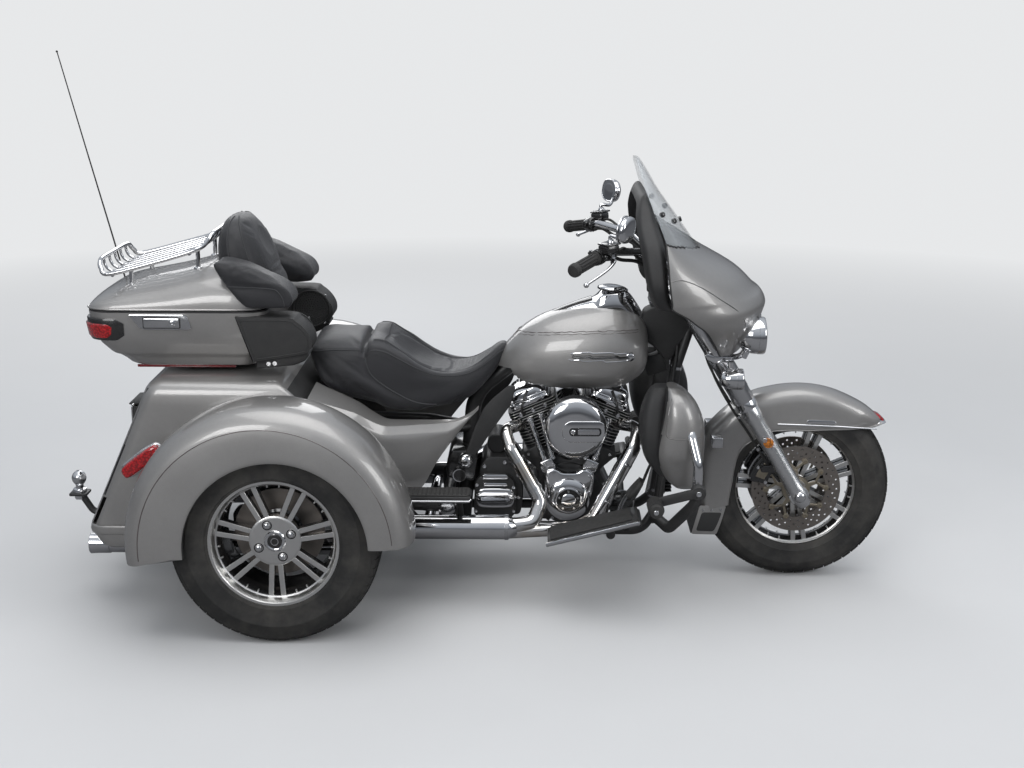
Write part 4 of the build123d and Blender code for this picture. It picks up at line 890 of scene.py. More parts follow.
# Fuel tank
tankRows = [  # x, half width, low, high
    (658, 26, 712, 768), (672, 48, 696, 786), (700, 78, 682, 818), (745, 108, 672, 864), (800, 133, 667, 900),
    (860, 150, 664, 924), (940, 163, 663, 942), (1010, 168, 665, 951), (1070, 166, 674, 946), (1112, 157, 692, 930),
    (1142, 140, 716, 904), (1158, 112, 744, 878), (1163, 70, 772, 850)]
tankRings = []
for x, half, low, high in between(tankRows, 4):
    ring = []
    roof = min(742 + max(0, x - 760) * 0.24, 800, high - 26)
    for y, z in pebble(half, low, high, 0.42, 2.25, 64, 2.6):
        if abs(y) < 98:
            z = max(z, roof if abs(y) < 86 else low + (roof - low) * (98 - abs(y)) / 12)
        ring.append(Vector((x, y, z)))
    tankRings.append(ring)
tank = loops(tankRings)
piece("fuelTank", "chassis", {m(paint): tank}, ["fuel_tank"], angle=50)

consoleRows = [  # x, half width, top, edge drop
    (676, 17, 784, 14), (720, 22, 826, 16), (790, 30, 882, 18), (860, 36, 921, 20), (930, 44, 949, 22),
    (985, 58, 968, 30), (1010, 64, 990, 40), (1040, 66, 1000, 44), (1075, 64, 999, 46), (1105, 56, 976, 46),
    (1130, 46, 942, 44), (1152, 36, 905, 40)]
stripRings, stripPads = [], []
for x, half, top, drop in between(consoleRows, 5):
    base = top - drop - 12
    stripRings.append([Vector((x, y, z))
                       for y, z in [(-half, base), (-half, top - drop), (-half * 0.86, top - drop * 0.34),
                                    (-half * 0.5, top - 2), (0, top), (half * 0.5, top - 2),
                                    (half * 0.86, top - drop * 0.34), (half, top - drop), (half, base)]])
    if x < 985:
        stripPads.append([Vector((x, y, z)) for y, z in
                         [(-half * 0.46, top - 6), (-half * 0.46, top + 2.5), (-half * 0.3, top + 5), (0, top + 6),
                          (half * 0.3, top + 5), (half * 0.46, top + 2.5), (half * 0.46, top - 6)]])
fuelDoor = turned([(0, 0), (47, 0), (47, 4), (44, 8), (30, 12), (0, 14)], (1046, 0, 994), (0.10, 0, 1), 48)
doorRing = turned([(47.5, 0), (51, 0), (51, 5), (47.5, 5)], (1046, 0, 993), (0.10, 0, 1), 48, closed=True)
piece("tankConsole", "chassis", {m(chrome): loops(stripRings) + fuelDoor, m(glossBlack): loops(stripPads) + doorRing},
      ["tank_console"], angle=40)


def onTank(x, level, lift=0.6):
    # A point on the tank's right side at a height.
    rows = between(tankRows, 8)
    row = min(rows, key=lambda r: abs(r[0] - x))
    ring = pebble(row[1] + lift, row[2] - lift, row[3] + lift, 0.42, 2.25, 256, 2.6)
    y, z = min((p for p in ring if p[0] < 0), key=lambda p: abs(p[1] - level))
    return Vector((x, y, z))


badgeTop = [onTank(x, 812 + 3 * sin(pi * (x - 905) / 200), 2.5) for x in range(905, 1106, 8)]
badgeLow = [onTank(x, 790 - 2 * sin(pi * (x - 905) / 200), 2.5) for x in range(898, 1106, 8)]
badgeBand = [onTank(x, 801, 1.0) for x in range(912, 1100, 8)]
badge = tube(badgeTop, 2.4, 8) + tube(badgeLow, 1.8, 8) + ball(onTank(1098, 801, 1), 15, (1, 0.28, 1), 20)
stripes = joined([tube([onTank(x, 852 + (x - 700) * 0.165 - (x - 700) ** 2 * 0.00022, 0.1)
                        for x in range(716, 1132, 10)], 1.1, 6),
                  tube([onTank(x, 845 + (x - 700) * 0.165 - (x - 700) ** 2 * 0.00022, 0.1)
                        for x in range(716, 1134, 10)], 0.7, 6)])
piece("tankTrim", "chassis",
      {m(chrome): badge.both(), m(glossBlack): tube(badgeBand, 6.0, 8, 0.35).both(), m(pinstripe): stripes.both()})
print("tank made")


def curved(points, steps=4, closed=True):
    # A smooth ring through (a, b) points.
    n = len(points)
    made = []
    for k in range(n if closed else n - 1):
        four = [points[(k + i) % n] if closed else points[min(max(k + i, 0), n - 1)] for i in (-1, 0, 1, 2)]
        made += [tuple(spline(*entry, s / steps) for entry in zip(*four)) for s in range(steps)]
    return made if closed else made + [tuple(points[-1])]


def pillow(outline, low, high, plane="y", power=4.0, steps=12, smooth=4, edge=1.0):
    # A cushion form: a smooth outline that shrinks towards both faces.
    ring = curved(outline, smooth) if smooth else list(outline)
    ca, cb = (sum(p[k] for p in ring) / len(ring) for k in (0, 1))
    middle, half = (low + high) / 2, (high - low) / 2
    put = across[plane]
    rings = []
    for k in range(steps + 1):
        s = sin(pi * (k / steps - 0.5))
        shrink = max(1 - abs(s) ** power, 0.0) ** (1 / power) * edge + (1 - edge)
        shrink = max(shrink, 0.02)
        rings.append([Vector(put(ca + (a - ca) * shrink, cb + (b - cb) * shrink, middle + half * s))
                      for a, b in ring])
    return loops(rings)


def planRing(rear, front, half, corner, z, frontCorner=None, steps=6):
    # A level rectangle with round corners; the front ones may be tighter.
    made = []
    for x, y, c, a0 in ((front, half, frontCorner or corner, 0), (rear, half, corner, 90),
                        (rear, -half, corner, 180), (front, -half, frontCorner or corner, 270)):
        cx, cy = x - c * (1 if x == front else -1), y - c * (1 if y > 0 else -1)
        for k in range(steps + 1):
            a = radians(a0 + 90 * k / steps)
            made.append(Vector((cx + c * cos(a), cy + c * sin(a), z)))
    return made


def parted(form, test):
    # Two forms, by a test of each face's middle.
    sides = ([], [])
    for face in form.faces:
        middle = sum((form.points[i] for i in face), Vector()) / len(face)
        sides[0 if test(middle) else 1].append(face)
    return Form(form.points, sides[0]), Form(form.points, sides[1])


# Rear fenders
arch = {"x": -16, "z": 318, "crown": 443, "opening": 280, "openingShift": 31, "front": 330, "rearLip": 297,
        "rearCrown": 260}


def fenderSection(angle):
    # (y, r, is the outside) round the fender's section at an angle about the wheel.
    shift = arch["openingShift"]
    lip = shift * cos(angle) + sqrt(arch["opening"] ** 2 - (shift * sin(angle)) ** 2)
    side = [(-692, lip), (-695, lip + 8), (-694.5, lip + 0.35 * (384 - lip)), (-692, lip + 0.72 * (384 - lip)),
            (-686, 389), (-676, 408), (-660, 424), (-638, 435), (-610, 441), (-570, 443), (-520, 441), (-470, 434),
            (-432, 421), (-408, 406), (-395.5, 390)]
    inner = [(-398, 384), (-436, 412), (-472, 426), (-520, 434), (-570, 436), (-610, 434), (-636, 428), (-655, 418),
             (-670, 402), (-680, 384), (-686, lip + 0.6 * (384 - lip)), (-688, lip + 12), (-680, lip + 7),
             (-672, lip + 5), (-672, lip), (-684, lip - 2)]
    return curved(side, 3, closed=False), inner


def fenderPoint(y, r, share):
    low = arch["rearLip"] + (arch["rearCrown"] - arch["rearLip"]) * min(max((r - 280) / 163, 0), 1)
    start = asin((arch["front"] - arch["z"]) / r)
    stop = pi - asin((low - arch["z"]) / r)
    a = start + (stop - start) * share
    return Vector((arch["x"] + r * cos(a), y, arch["z"] + r * sin(a)))


outRings, inRings = [], []
for k in range(97):
    share = k / 96
    out, inside = fenderSection(pi * share)
    outRings.append([fenderPoint(y, r, share) for y, r in out])
    inRings.append([outRings[-1][-1]] + [fenderPoint(y, r, share) for y, r in inside] + [outRings[-1][0]])
fenderSkin = loops(outRings, closed=False, capped=False)
fenderLining = loops(inRings, closed=False, capped=False)
for rings in ((outRings[0], inRings[0]), (outRings[-1], inRings[-1])):
    rim = rings[0] + rings[1][1:-1]
    fenderSkin = fenderSkin + filled(rim)
fenderLines = joined([tube([fenderPoint(-688 if r < 390 else -683, r, 0.012 + 0.976 * k / 90) for k in range(91)],
                           wide, 6) for r, wide in ((383, 1.2), (391, 0.8))])
fender = {m(paint): fenderSkin, m(plastic): fenderLining, m(pinstripe): fenderLines}
piece("rearFenderRight", "chassis", fender, ["rear_fender_right"], 40)
piece("rearFenderLeft", "chassis", {k: f.mirrored() for k, f in fender.items()}, ["rear_fender_left"], 40)

# Trunk between the fenders, with its door, skirt and bumper
trunkBack = {"x": -424, "top": 765, "run": 215, "drop": 472}


def slopeX(z):
    # Where the trunk's back is at a height.
    return trunkBack["x"] - (trunkBack["top"] - z) * trunkBack["run"] / trunkBack["drop"]


trunkRows = [(293, -420, 391, 50), (297, -418, 395, 52), (330, -340, 395, 52), (391, -212, 395, 52),
             (392, 75, 395, 52), (560, 75, 395, 50), (682, 75, 395, 48), (692, 72, 395, 47), (724, 36, 395, 46),
             (742, 15, 391, 46), (754, 1, 383, 44), (762, -10, 369, 40), (765, -22, 352, 34)]
trunkOuter = loops([planRing(slopeX(z) + max(0, z - 752) * 1.6, front, half, corner, z, 18)
                    for z, front, half, corner in trunkRows])
cavity = slab([(slopeX(400) + 9, 400), (slopeX(745) + 9, 745), (-1, 745), (66, 685), (66, 400)], -376, 376, "y",
              soft=0)
skirtCavity = slab([(slopeX(285) + 9, 285), (slopeX(386) + 9, 386), (-190, 386), (-190, 285)], -386, 386, "y", soft=0)
doorway = slab([(slopeX(414) - 60, 414), (slopeX(414) + 60, 414), (slopeX(696) + 60, 696), (slopeX(696) - 60, 696)],
               -296, 296, "y", soft=0)
trunkShell = carved(trunkOuter, [cavity, skirtCavity, doorway])
inside, outside = parted(trunkShell,
                         lambda p: 400.5 < p.z < 745.5 and abs(p.y) < 377 and slopeX(p.z) + 9.5 < p.x < 66.5)
sealPath = [Vector((slopeX(z) + 4, y, z)) for y, z in
            [(-296, 414), (-296, 696), (296, 696), (296, 414)] + [(-296, 414)]]
seal = tube(bentPath(sealPath, 8), 3.2, 8)
piece("trunkBody", "chassis", {m(paint): outside, m(plastic): inside + seal}, ["trunk_body"], 35)

doorTurn = atan2(trunkBack["run"], trunkBack["drop"])


def leant(form):
    # A flat form set on the trunk's sloping back.
    return Form([(slopeX(p.z) + p.x, p.y, p.z) for p in form.points], form.faces)


door = leant(slab([(-286, 424), (286, 424), (286, 686), (-286, 686)], 0, 18, "x", corner=10, soft=3.5, segments=3))
pressing = leant(slab([(-262, 446), (262, 446), (262, 664), (-262, 664)], -4, 2, "x", corner=26, soft=1.8,
                      segments=2))


def onDoor(y, z, out=0.0):
    return Vector((slopeX(z) - out * cos(doorTurn), y, z + out * sin(doorTurn)))


pull = tube(bentPath([onDoor(-56, 632, 2), onDoor(-52, 632, 19), onDoor(52, 632, 19), onDoor(56, 632, 2)], 12), 7, 12)
lock = turned([(0, 0), (13, 0), (13, 4), (10, 6), (5, 6), (5, 3), (0, 3)], onDoor(0, 600, 3),
              (-cos(doorTurn), 0, sin(doorTurn)), 24)
leafPlates = joined([box((slopeX(436) + 2, y, 436), (12, 26, 24), (0, 24, 0), soft=2) for y in (-200, 200)])
piece("trunkDoor", "trunk_door", {m(paint): door + pressing, m(chrome): pull + lock, m(plastic): leafPlates},
      ["trunk_door"], 35)

plateX = slopeX(498) - 12
plate = slab([(-95, 498), (95, 498), (95, 610), (-95, 610)], plateX, plateX + 2.5, "x", corner=8, soft=0.6,
             segments=1)
plateRim = tube(bentPath([(plateX - 0.5, a, b)
                          for a, b in [(0, 499), (-94, 499), (-94, 609), (94, 609), (94, 499), (0, 499)]], 8), 2.6, 8)
plateBolts = repeated(boltItem(5.5, 4),
                      [(Vector((plateX, a * 73, 554 + b * 35)), (-1, 0, 0)) for a in (-1, 1) for b in (-1, 1)],
                      finish=m(chrome))
plateHood = slab([(plateX - 16, 607), (plateX - 16, 612), (slopeX(612) + 3, 613), (slopeX(603) + 3, 603)], -70, 70,
                 "y", corner=3, soft=1)
gussets = joined([slab([(plateX, 500), (slopeX(500) + 2, 500), (slopeX(606) + 2, 606), (plateX, 606)], y - 3, y + 3,
                       "y", soft=0.8) for y in (-88, 88)])
plateLamp = box((plateX - 8, 0, 606), (10, 60, 5), soft=1)
piece("plateHolder", "trunk_door",
      {m(plastic): plateHood + gussets, m(alloy): plate, m(chrome): plateRim + plateBolts, m(clearLens): plateLamp},
      ["plate_holder"])

bumperRows = [(292.6, -636, 391, 54), (288, -641, 394, 56), (272, -644, 395, 57), (265, -642, 394, 56),
              (262, -637, 392, 54), (255, -632, 392, 54), (236, -620, 391, 52), (222, -610, 388, 50),
              (216, -601, 382, 46)]
bumperBar = loops([planRing(rear, -470, half, corner, z, 6) for z, rear, half, corner in bumperRows])
piece("rearBumper", "chassis", {m(paint): bumperBar}, ["rear_bumper"], 24)
print("trunk and fenders made")

# Side covers under the seat
coverRows = [  # x, top, bottom, y of the lower part
    (80, 716, 470, -386), (110, 700, 500, -368), (150, 682, 545, -346), (216, 650, 580, -312), (262, 618, 470, -288),
    (306, 594, 400, -268), (360, 590, 372, -250), (417, 590, 372, -234), (473, 590, 464, -220), (539, 594, 552, -202),
    (585, 614, 606, -188), (606, 632, 628, -180)]
coverRings = []
for x, top, low, y in between(coverRows, 4):
    span = top - low
    shelf = min(24, span * 0.3)
    ring = [(max(y + 14, -192), top + 5), (y + 14, top + 1), (y + 2, top - 1),
            (y - 9 * min(1, span / 60), top - shelf), (y - 12 * min(1, span / 60), top - shelf - 4)]
    ring += [(y - (12 - 10 * t ** 2.2) * min(1, span / 60), top - shelf - 4 + (low - top + shelf + 4) * t)
             for t in (0.15, 0.3, 0.5, 0.7, 0.85, 1.0)]
    ring += [(y + 10, low), (y + 14, (top + low) / 2), (y + 15, top - 3), (max(y + 15, -192), top + 1)]
    coverRings.append([Vector((x, a, b)) for a, b in ring])
sideCover = loops(coverRings)
piece("sideCovers", "chassis", {m(paint): sideCover.both()}, ["side_covers"], 38)

# Pads: blown up by cloth between their seams
padCloth = {"shrink": 5.0, "voxel": 6.5, "pressure": 4.0, "cap": 9.0, "groove": 9.0, "frames": 20}


def swollen(form, seams, shrink, voxel, pressure, cap, groove, frames):
    work = cleaned(form)
    work.normal_update()
    for v in work.verts:
        v.co = (v.co - v.normal * shrink) * 0.001
    mesh = toMesh(fromBmesh(work), "pad")

    def passed(start, kind, **settings):
        # The mesh after one modifier.
        body = shown("padBody", start)
        modifier = body.modifiers.new("step", kind)
        for word, value in settings.items():
            setattr(modifier, word, value)
        made = baked(body)
        bpy.data.objects.remove(body)
        return made

    start = passed(mesh, "REMESH", mode="VOXEL", voxel_size=voxel / 1000)
    body = shown("padBody", start)
    sewn = body.vertex_groups.new(name="sewn")
    lines = KDTree(sum(len(line) for line in seams))
    for k, p in enumerate(p for line in seams for p in line):
        lines.insert(p, k)
    lines.balance()
    for v in start.vertices:
        far = lines.find(v.co * 1000)[2] - shrink
        sewn.add([v.index], max(0.0, min(1.0, 1.15 - far / groove)), "REPLACE")
    cloth = body.modifiers.new("swell", "CLOTH")
    stuff = cloth.settings
    stuff.quality, stuff.mass, stuff.bending_stiffness = 4, 0.3, 0.5
    stuff.use_pressure, stuff.uniform_pressure_force = True, pressure
    stuff.effector_weights.gravity = 0
    stuff.vertex_group_mass = "sewn"
    cloth.collision_settings.use_collision = False
    cloth.point_cache.frame_start, cloth.point_cache.frame_end = 1, frames
    for frame in range(1, frames + 1):
        bpy.context.scene.frame_set(frame)
    blown = baked(body)
    bpy.data.objects.remove(body)
    bpy.context.scene.frame_set(1)
    for old, new in zip(start.vertices, blown.vertices):
        step = (new.co - old.co) * 1000
        new.co = old.co * 1000 + step * min(1.0, cap / max(step.length, 0.001))
    return fromMesh(passed(blown, "SUBSURF", levels=1, render_levels=1))


class Laid:
    # Lays paths on a pad's surface.
    def __init__(self, form):
        self.tree = BVHTree.FromPolygons(form.points, form.faces)
        self.middle = sum(form.points, Vector()) / len(form.points)

    def __call__(self, path, lift=0.4):
        made = []
        for p in path:
            place, normal = self.tree.find_nearest(Vector(p))[:2]
            made.append(place + normal * (lift if normal.dot(place - self.middle) > 0 else -lift))
        return made


def otherSide(path):
    return [Vector((p[0], -p[1], p[2])) for p in path]


# Seat: stations along X, each half of a section from the middle of the top down to the middle of the bottom
seatRows = [
    (47, [(0, 815), (50, 815), (100, 812), (128, 804), (140, 792), (142, 778), (132, 766), (0, 766)]),
    (60, [(0, 842), (60, 842), (112, 839), (144, 828), (160, 806), (162, 776), (150, 752), (0, 752)]),
    (95, [(0, 856), (65, 855), (118, 850), (152, 836), (172, 806), (176, 760), (164, 704), (0, 704)]),
    (150, [(0, 852), (65, 852), (120, 848), (154, 836), (175, 810), (179, 750), (168, 676), (0, 674)]),
    (205, [(0, 848), (65, 849), (122, 847), (157, 835), (178, 810), (183, 740), (169, 660), (0, 658)]),
    (226, [(0, 846), (65, 847), (122, 845), (157, 833), (179, 808), (184, 735), (170, 655), (0, 653)]),
    (234, [(0, 822), (65, 824), (120, 826), (154, 818), (178, 796), (184, 732), (170, 652), (0, 650)]),
    (243, [(0, 846), (65, 848), (123, 849), (158, 838), (181, 812), (186, 731), (171, 650), (0, 648)]),
    (264, [(0, 852), (65, 856), (125, 857), (161, 847), (183, 824), (188, 726), (172, 644), (0, 642)]),
    (300, [(0, 838), (65, 847), (125, 853), (163, 844), (186, 820), (190, 716), (173, 628), (0, 626)]),
    (335, [(0, 796), (65, 808), (122, 828), (164, 826), (188, 804), (192, 706), (174, 620), (0, 618)]),
    (372, [(0, 766), (65, 776), (120, 799), (164, 805), (188, 784), (192, 700), (174, 616), (0, 614)]),
    (410, [(0, 750), (65, 755), (116, 768), (158, 778), (182, 764), (188, 700), (172, 614), (0, 610)]),
    (460, [(0, 735), (60, 737), (106, 745), (144, 752), (168, 742), (174, 700), (160, 622), (0, 612)]),
    (520, [(0, 729), (50, 730), (88, 735), (118, 740), (138, 730), (144, 695), (134, 630), (0, 614)]),
    (580, [(0, 748), (36, 749), (62, 751), (86, 748), (104, 734), (110, 700), (102, 644), (0, 636)]),
    (630, [(0, 786), (24, 786), (44, 784), (60, 776), (72, 758), (77, 722), (72, 688), (0, 686)]),
    (668, [(0, 815), (18, 815), (34, 812), (46, 803), (54, 786), (56, 760), (52, 740), (0, 738)]),
    (693, [(0, 819), (12, 819), (22, 816), (31, 808), (37, 796), (38, 782), (34, 772), (0, 772)]),
    (703, [(0, 808), (6, 808), (12, 805), (17, 800), (20, 794), (20, 788), (17, 784), (0, 784)])]
flatRows = [[x] + [v for p in half for v in p] for x, half in seatRows]
seatRings = []
for row in between(flatRows, 6):
    half = list(zip(row[1::2], row[2::2]))
    whole = half + [(-y, z) for y, z in half[-2:0:-1]]
    seatRings.append([Vector((row[0], y, z)) for y, z in curved(whole, 5)])


def seatSeam(column, low, high):
    # A line on the seat along one of the section's points, counted round the ring.
    return [r[column] for r in seatRings if low <= r[0].x <= high]


seatColumns = [seatSeam(c, a, b) for c, a, b in ((20, 242, 700), (12, 260, 640), (18, 52, 228))]
crestRing = min(seatRings, key=lambda ring: abs(ring[0].x - 300))
stepRing = min(seatRings, key=lambda ring: abs(ring[0].x - 234))
crestLine, stepLine = [ring[0:13] for ring in (crestRing, stepRing)]
sideLine = smoothPath([(236, -181, 800), (243, -187, 770), (260, -190, 738), (300, -191.5, 706), (350, -192.5, 676),
                       (400, -189, 652), (470, -172, 636)], 6)
seatLines = seatColumns + [crestLine, stepLine, sideLine]
seatForm = swollen(loops(seatRings), seatLines + [otherSide(line) for line in seatLines], **padCloth)
seatLaid = Laid(seatForm)


def skirtTest(p):
    line = [(40, 788), (80, 774), (240, 742), (262, 728), (300, 700), (350, 666), (412, 640), (460, 632), (600, 652),
            (705, 780)]
    for (xa, za), (xb, zb) in zip(line, line[1:]):
        if xa <= p.x <= xb:
            return p.z < za + (zb - za) * (p.x - xa) / (xb - xa)
    return False


seatSkirt, seatTop = parted(seatForm, skirtTest)

welts = joined([tube(seatLaid(line), 1.9, 8) for line in seatColumns])
stitch = turned([(0, -1.6), (0.8, -1.2), (0.8, 1.2), (0, 1.6)], zero, upward, 6)
stitches = joined([strung(stitch, seatLaid(seatSeam(c, a, b), 0.8), 5.5, m(thread))
                   for c, a, b in ((13, 260, 640), (11, 260, 640), (19, 242, 700), (21, 242, 700), (17, 52, 228))])
crossWelt = tube(seatLaid(crestLine, 0.6), 1.9, 8).both()
sideWelt = tube(seatLaid(sideLine), 2.2, 8)
seatCover = piece("seatCover", "chassis",
                  {m(leather): seatTop, m(leatherSide): seatSkirt,
                   m(thread): welts.both() + stitches.both() + crossWelt + sideWelt.both()}, ["seat"],
                  60)
print("seat made")


# Top case: box, lid, lamps, latch
def caseRing(z, shrink=0.0):
    return planRing(-637 + shrink, -62 - shrink * 0.3, 285 - shrink * 0.4, 70, z, 60, 8)


boxLevels = [(786.5, 134), (787, 122), (792, 112), (806, 98), (823, 74), (826, 63), (834, 54), (858, 32), (885, 14),
             (925, 4), (967, 0)]
boxOuter = [caseRing(z, s) for z, s in boxLevels]
boxInner = [caseRing(max(z, 794), s + 6) for z, s in boxLevels[2:]]
caseShell = loops(boxOuter, capped=False) + loops([boxOuter[-1], boxInner[-1]], capped=False) + filled(boxOuter[0])
caseLining = loops(boxInner, capped=False) + filled(boxInner[0])
caseLegs = joined([box((x, side * 120, 776), (38, 28, 21), soft=3) for x in (-330, -150) for side in (-1, 1)])
seamSeal = tube([p + Vector((0, 0, 1.2)) for p in caseRing(967, 3)] + [caseRing(967, 3)[0] + Vector((0, 0, 1.2))],
                2.6, 8)
hingeParts = joined([rod((x + a, 292, 970), (x + b, 292, 970), 6, 16) for x in (-480, -250)
                     for a, b in ((-40, -14), (14, 40))])
piece("topcaseBox", "chassis",
      {m(paint): caseShell, m(plastic): caseLining + seamSeal + caseLegs, m(chrome): hingeParts}, ["topcase_box"],
      40)

lidRows = [  # x, half, top
    (-637, 215, 980), (-635, 232, 987), (-628, 249, 997), (-616, 262, 1007), (-598, 273, 1017), (-575, 280, 1025),
    (-540, 284, 1034), (-480, 285, 1046), (-379, 285, 1068), (-300, 285, 1089), (-250, 285, 1102), (-205, 285, 1107),
    (-160, 284, 1104), (-125, 280, 1086), (-100, 271, 1058), (-82, 258, 1026), (-70, 240, 997), (-62, 215, 980)]


def lidRing(x, half, top, inset=0.0):
    ring = []
    for k in range(41):
        a = pi * k / 40
        y = (half - inset) * abs(cos(a)) ** (2 / 2.9) * (1 if cos(a) >= 0 else -1)
        ring.append(Vector((x + (inset if x < -350 else -inset), y,
                            973 + (top - inset - 973) * abs(sin(a)) ** (2 / 2.5))))
    return ring


lidOuter = [lidRing(*row) for row in between(lidRows, 3)]
lidInner = [lidRing(x, half, top, 6) for x, half, top in between(lidRows, 3)]
lidSkin = loops(lidOuter, closed=False, capped=False)
lidLining = loops(lidInner, closed=False, capped=False)
for skin, inner in ((0, 0), (-1, -1)):
    ends = [lidOuter[skin], lidInner[inner]]
    lidSkin = lidSkin + loops(ends, closed=False, capped=False)
edgeOut = [r[0] for r in lidOuter] + [r[-1] for r in reversed(lidOuter)]
edgeIn = [r[0] for r in lidInner] + [r[-1] for r in reversed(lidInner)]
lidSkin = lidSkin + loops([edgeOut, edgeIn], capped=False) + filled(lidOuter[0]) + filled(lidOuter[-1])
lidBead = tube([p + (p - Vector((-350, 0, p.z))).normalized() * 0.5 + Vector((0, 0, 4)) for p in edgeOut], 3.2, 8)
piece("topcaseLid", "case_lid", {m(paint): lidSkin + lidBead, m(plastic): lidLining}, ["topcase_lid"], 40)

latchPlate = slab([(-490, 962), (-318, 962), (-306, 956), (-296, 918), (-302, 913), (-446, 913), (-462, 920),
                   (-490, 956)], -290, -276, "y", corner=4, soft=2)
latchGrip = slab([(-446, 920), (-332, 920), (-332, 951), (-446, 951)], -295, -287, "y", corner=4, soft=2.5)
latchRim = tube(bentPath([(-490, -291, 960), (-320, -291, 960), (-308, -291, 954), (-298, -291, 920)], 5), 2.4, 8)
# A black sheet in a thin band round the latch grip: painted shade in the groove round the grip.
latchGrooveShade = slab([(-449, 917), (-329, 917), (-329, 954), (-449, 954)], -290.6, -289, "y", corner=4, soft=0.2)
keyhole = turned([(0, 0), (10, 0), (10, 3), (7, 4.5), (2.5, 4.5), (2.5, 1), (0, 1)], (-354, -294.5, 935), toRight, 24)
latches = {m(chromeSatin): latchPlate + latchGrip, m(chrome): latchRim + keyhole, m(plastic): latchGrooveShade}


def lampRings(path, low, high, outside, inside):
    rings = []
    for k, p in enumerate(path):
        way = (path[min(k + 1, len(path) - 1)] - path[max(k - 1, 0)]).normalized()
        out = Vector((way.y, -way.x, 0))
        if out.x > 0.1 and p.x < -600:
            out = -out
        if (p - Vector((-350, 0, 0))).dot(out) < 0:
            out = -out
        fade = min(k, len(path) - 1 - k)
        grow = outside * min(1, 0.35 + fade * 0.3)
        squeeze = 0.5 * (high - low) * (1 - min(1, 0.55 + fade * 0.2))
        def at(z, off):
            s = 30 * max(0, (926 - z) / 60)
            return Vector((p.x, p.y, z)) + out * (off - s * 0.35)
        rings.append([at(low + squeeze, inside), at(low + squeeze, grow * 0.7), at(low + squeeze + 4, grow),
                      at(high - squeeze - 4, grow), at(high - squeeze, grow * 0.7), at(high - squeeze, inside)])
    return loops(rings)


straight = [Vector((x, -285, 0)) for x in (-567, -556, -545, -534, -523, -512)]
back = [Vector((-637, y, 0)) for y in (-215, -204, -190, -176, -162)]
corner = [Vector((-567 + 70 * cos(a), -215 + 70 * sin(a), 0))
          for a in (radians(180 + 90 * k / 12) for k in range(13))]
lampWay = back[::-1] + corner[1:] + straight[1:]
housing = lampRings(lampWay, 876, 947, 7, -12)
lens = lampRings(lampWay[2:-3], 884, 931, 11, 2)
reflector = box((-330, -233, 783), (318, 5, 9), (0, 0, 0), soft=1.5)
backReflector = box((-512, 0, 795), (5, 170, 10), soft=1.5)
piece("topcaseLamps", "chassis",
      {m(glossBlack): housing.both(), m(redLens): lens.both(), m(darkRed): reflector.both() + backReflector},
      ["topcase_lamps"], 40)
piece("caseLatches", "chassis", {k: f.both() for k, f in latches.items()})
print("top case made")

# Backrest with arm pads, speaker pods, rack and antenna
padRows = [  # z, middle x, half depth, half width
    (976, -70, 26, 140), (982, -72, 34, 154), (1000, -84, 48, 166), (1030, -112, 70, 176), (1062, -142, 84, 182),
    (1090, -154, 93, 182), (1130, -163, 88, 178), (1170, -171, 77, 168), (1205, -177, 62, 149), (1230, -181, 45, 117),
    (1243, -183, 28, 78), (1248.5, -184, 8, 22)]


def padRing(z, x, deep, half, grow=0.0):
    # A level ring of the backrest, its front sunk between the sides.
    ring = []
    for k in range(64):
        a = 2 * pi * k / 64
        y = (half + grow) * abs(sin(a)) ** (2 / 2.6) * (1 if sin(a) >= 0 else -1)
        front = (deep + grow) * abs(cos(a)) ** (2 / 2.4) * (1 if cos(a) >= 0 else -1)
        dish = 26 * max(0, 1 - ((z - 1150) / 80) ** 2) * max(0, 1 - (y / 105) ** 2) if cos(a) > 0 else 0
        ring.append(Vector((x + front - dish - 10 * (y / 190) ** 2, y, z)))
    return ring


padRings = [padRing(*row) for row in between(padRows, 5)]
padLines = ([[ring[k] for ring in padRings[18:-3]] for k in (12, 52, 18, 46)]
            + [padRings[22][4:29], padRings[22][36:61]])
padForm = swollen(loops(padRings), padLines, **padCloth)
padLaid = Laid(padForm)
padSeam = joined([tube(padLaid(line), 1.9, 8) for line in padLines])
armOutline = [(-124, 984), (-150, 1010), (-182, 1051), (-214, 1100), (-222, 1126), (-200, 1134), (-150, 1127),
              (-100, 1108), (-60, 1086), (-10, 1066), (20, 1044), (33, 1014), (28, 990), (6, 981), (-104, 980)]
armLine = smoothPath([(-182, -298, 1050), (-150, -301, 1052), (-38, -301, 1046), (-12, -300.5, 1032), (0, -300, 1008),
                      (4, -299, 984)], 6)
armRight = swollen(slab(curved(armOutline, 3), -300, -158, "y", soft=26, segments=5), [armLine], **padCloth)
armSeam = tube(Laid(armRight)(armLine), 1.7, 8)
stay = joined([tube(bentPath([(-236, side * 52, 1118), (-200, side * 52, 1100), (-140, side * 52, 1060)], 20), 8, 10)
               for side in (-1, 1)])
backPad = piece("backPads", "case_lid",
                {m(leather): padForm + armRight.both(), m(thread): padSeam + armSeam.both(), m(chrome): stay},
                ["backrest"], 60)

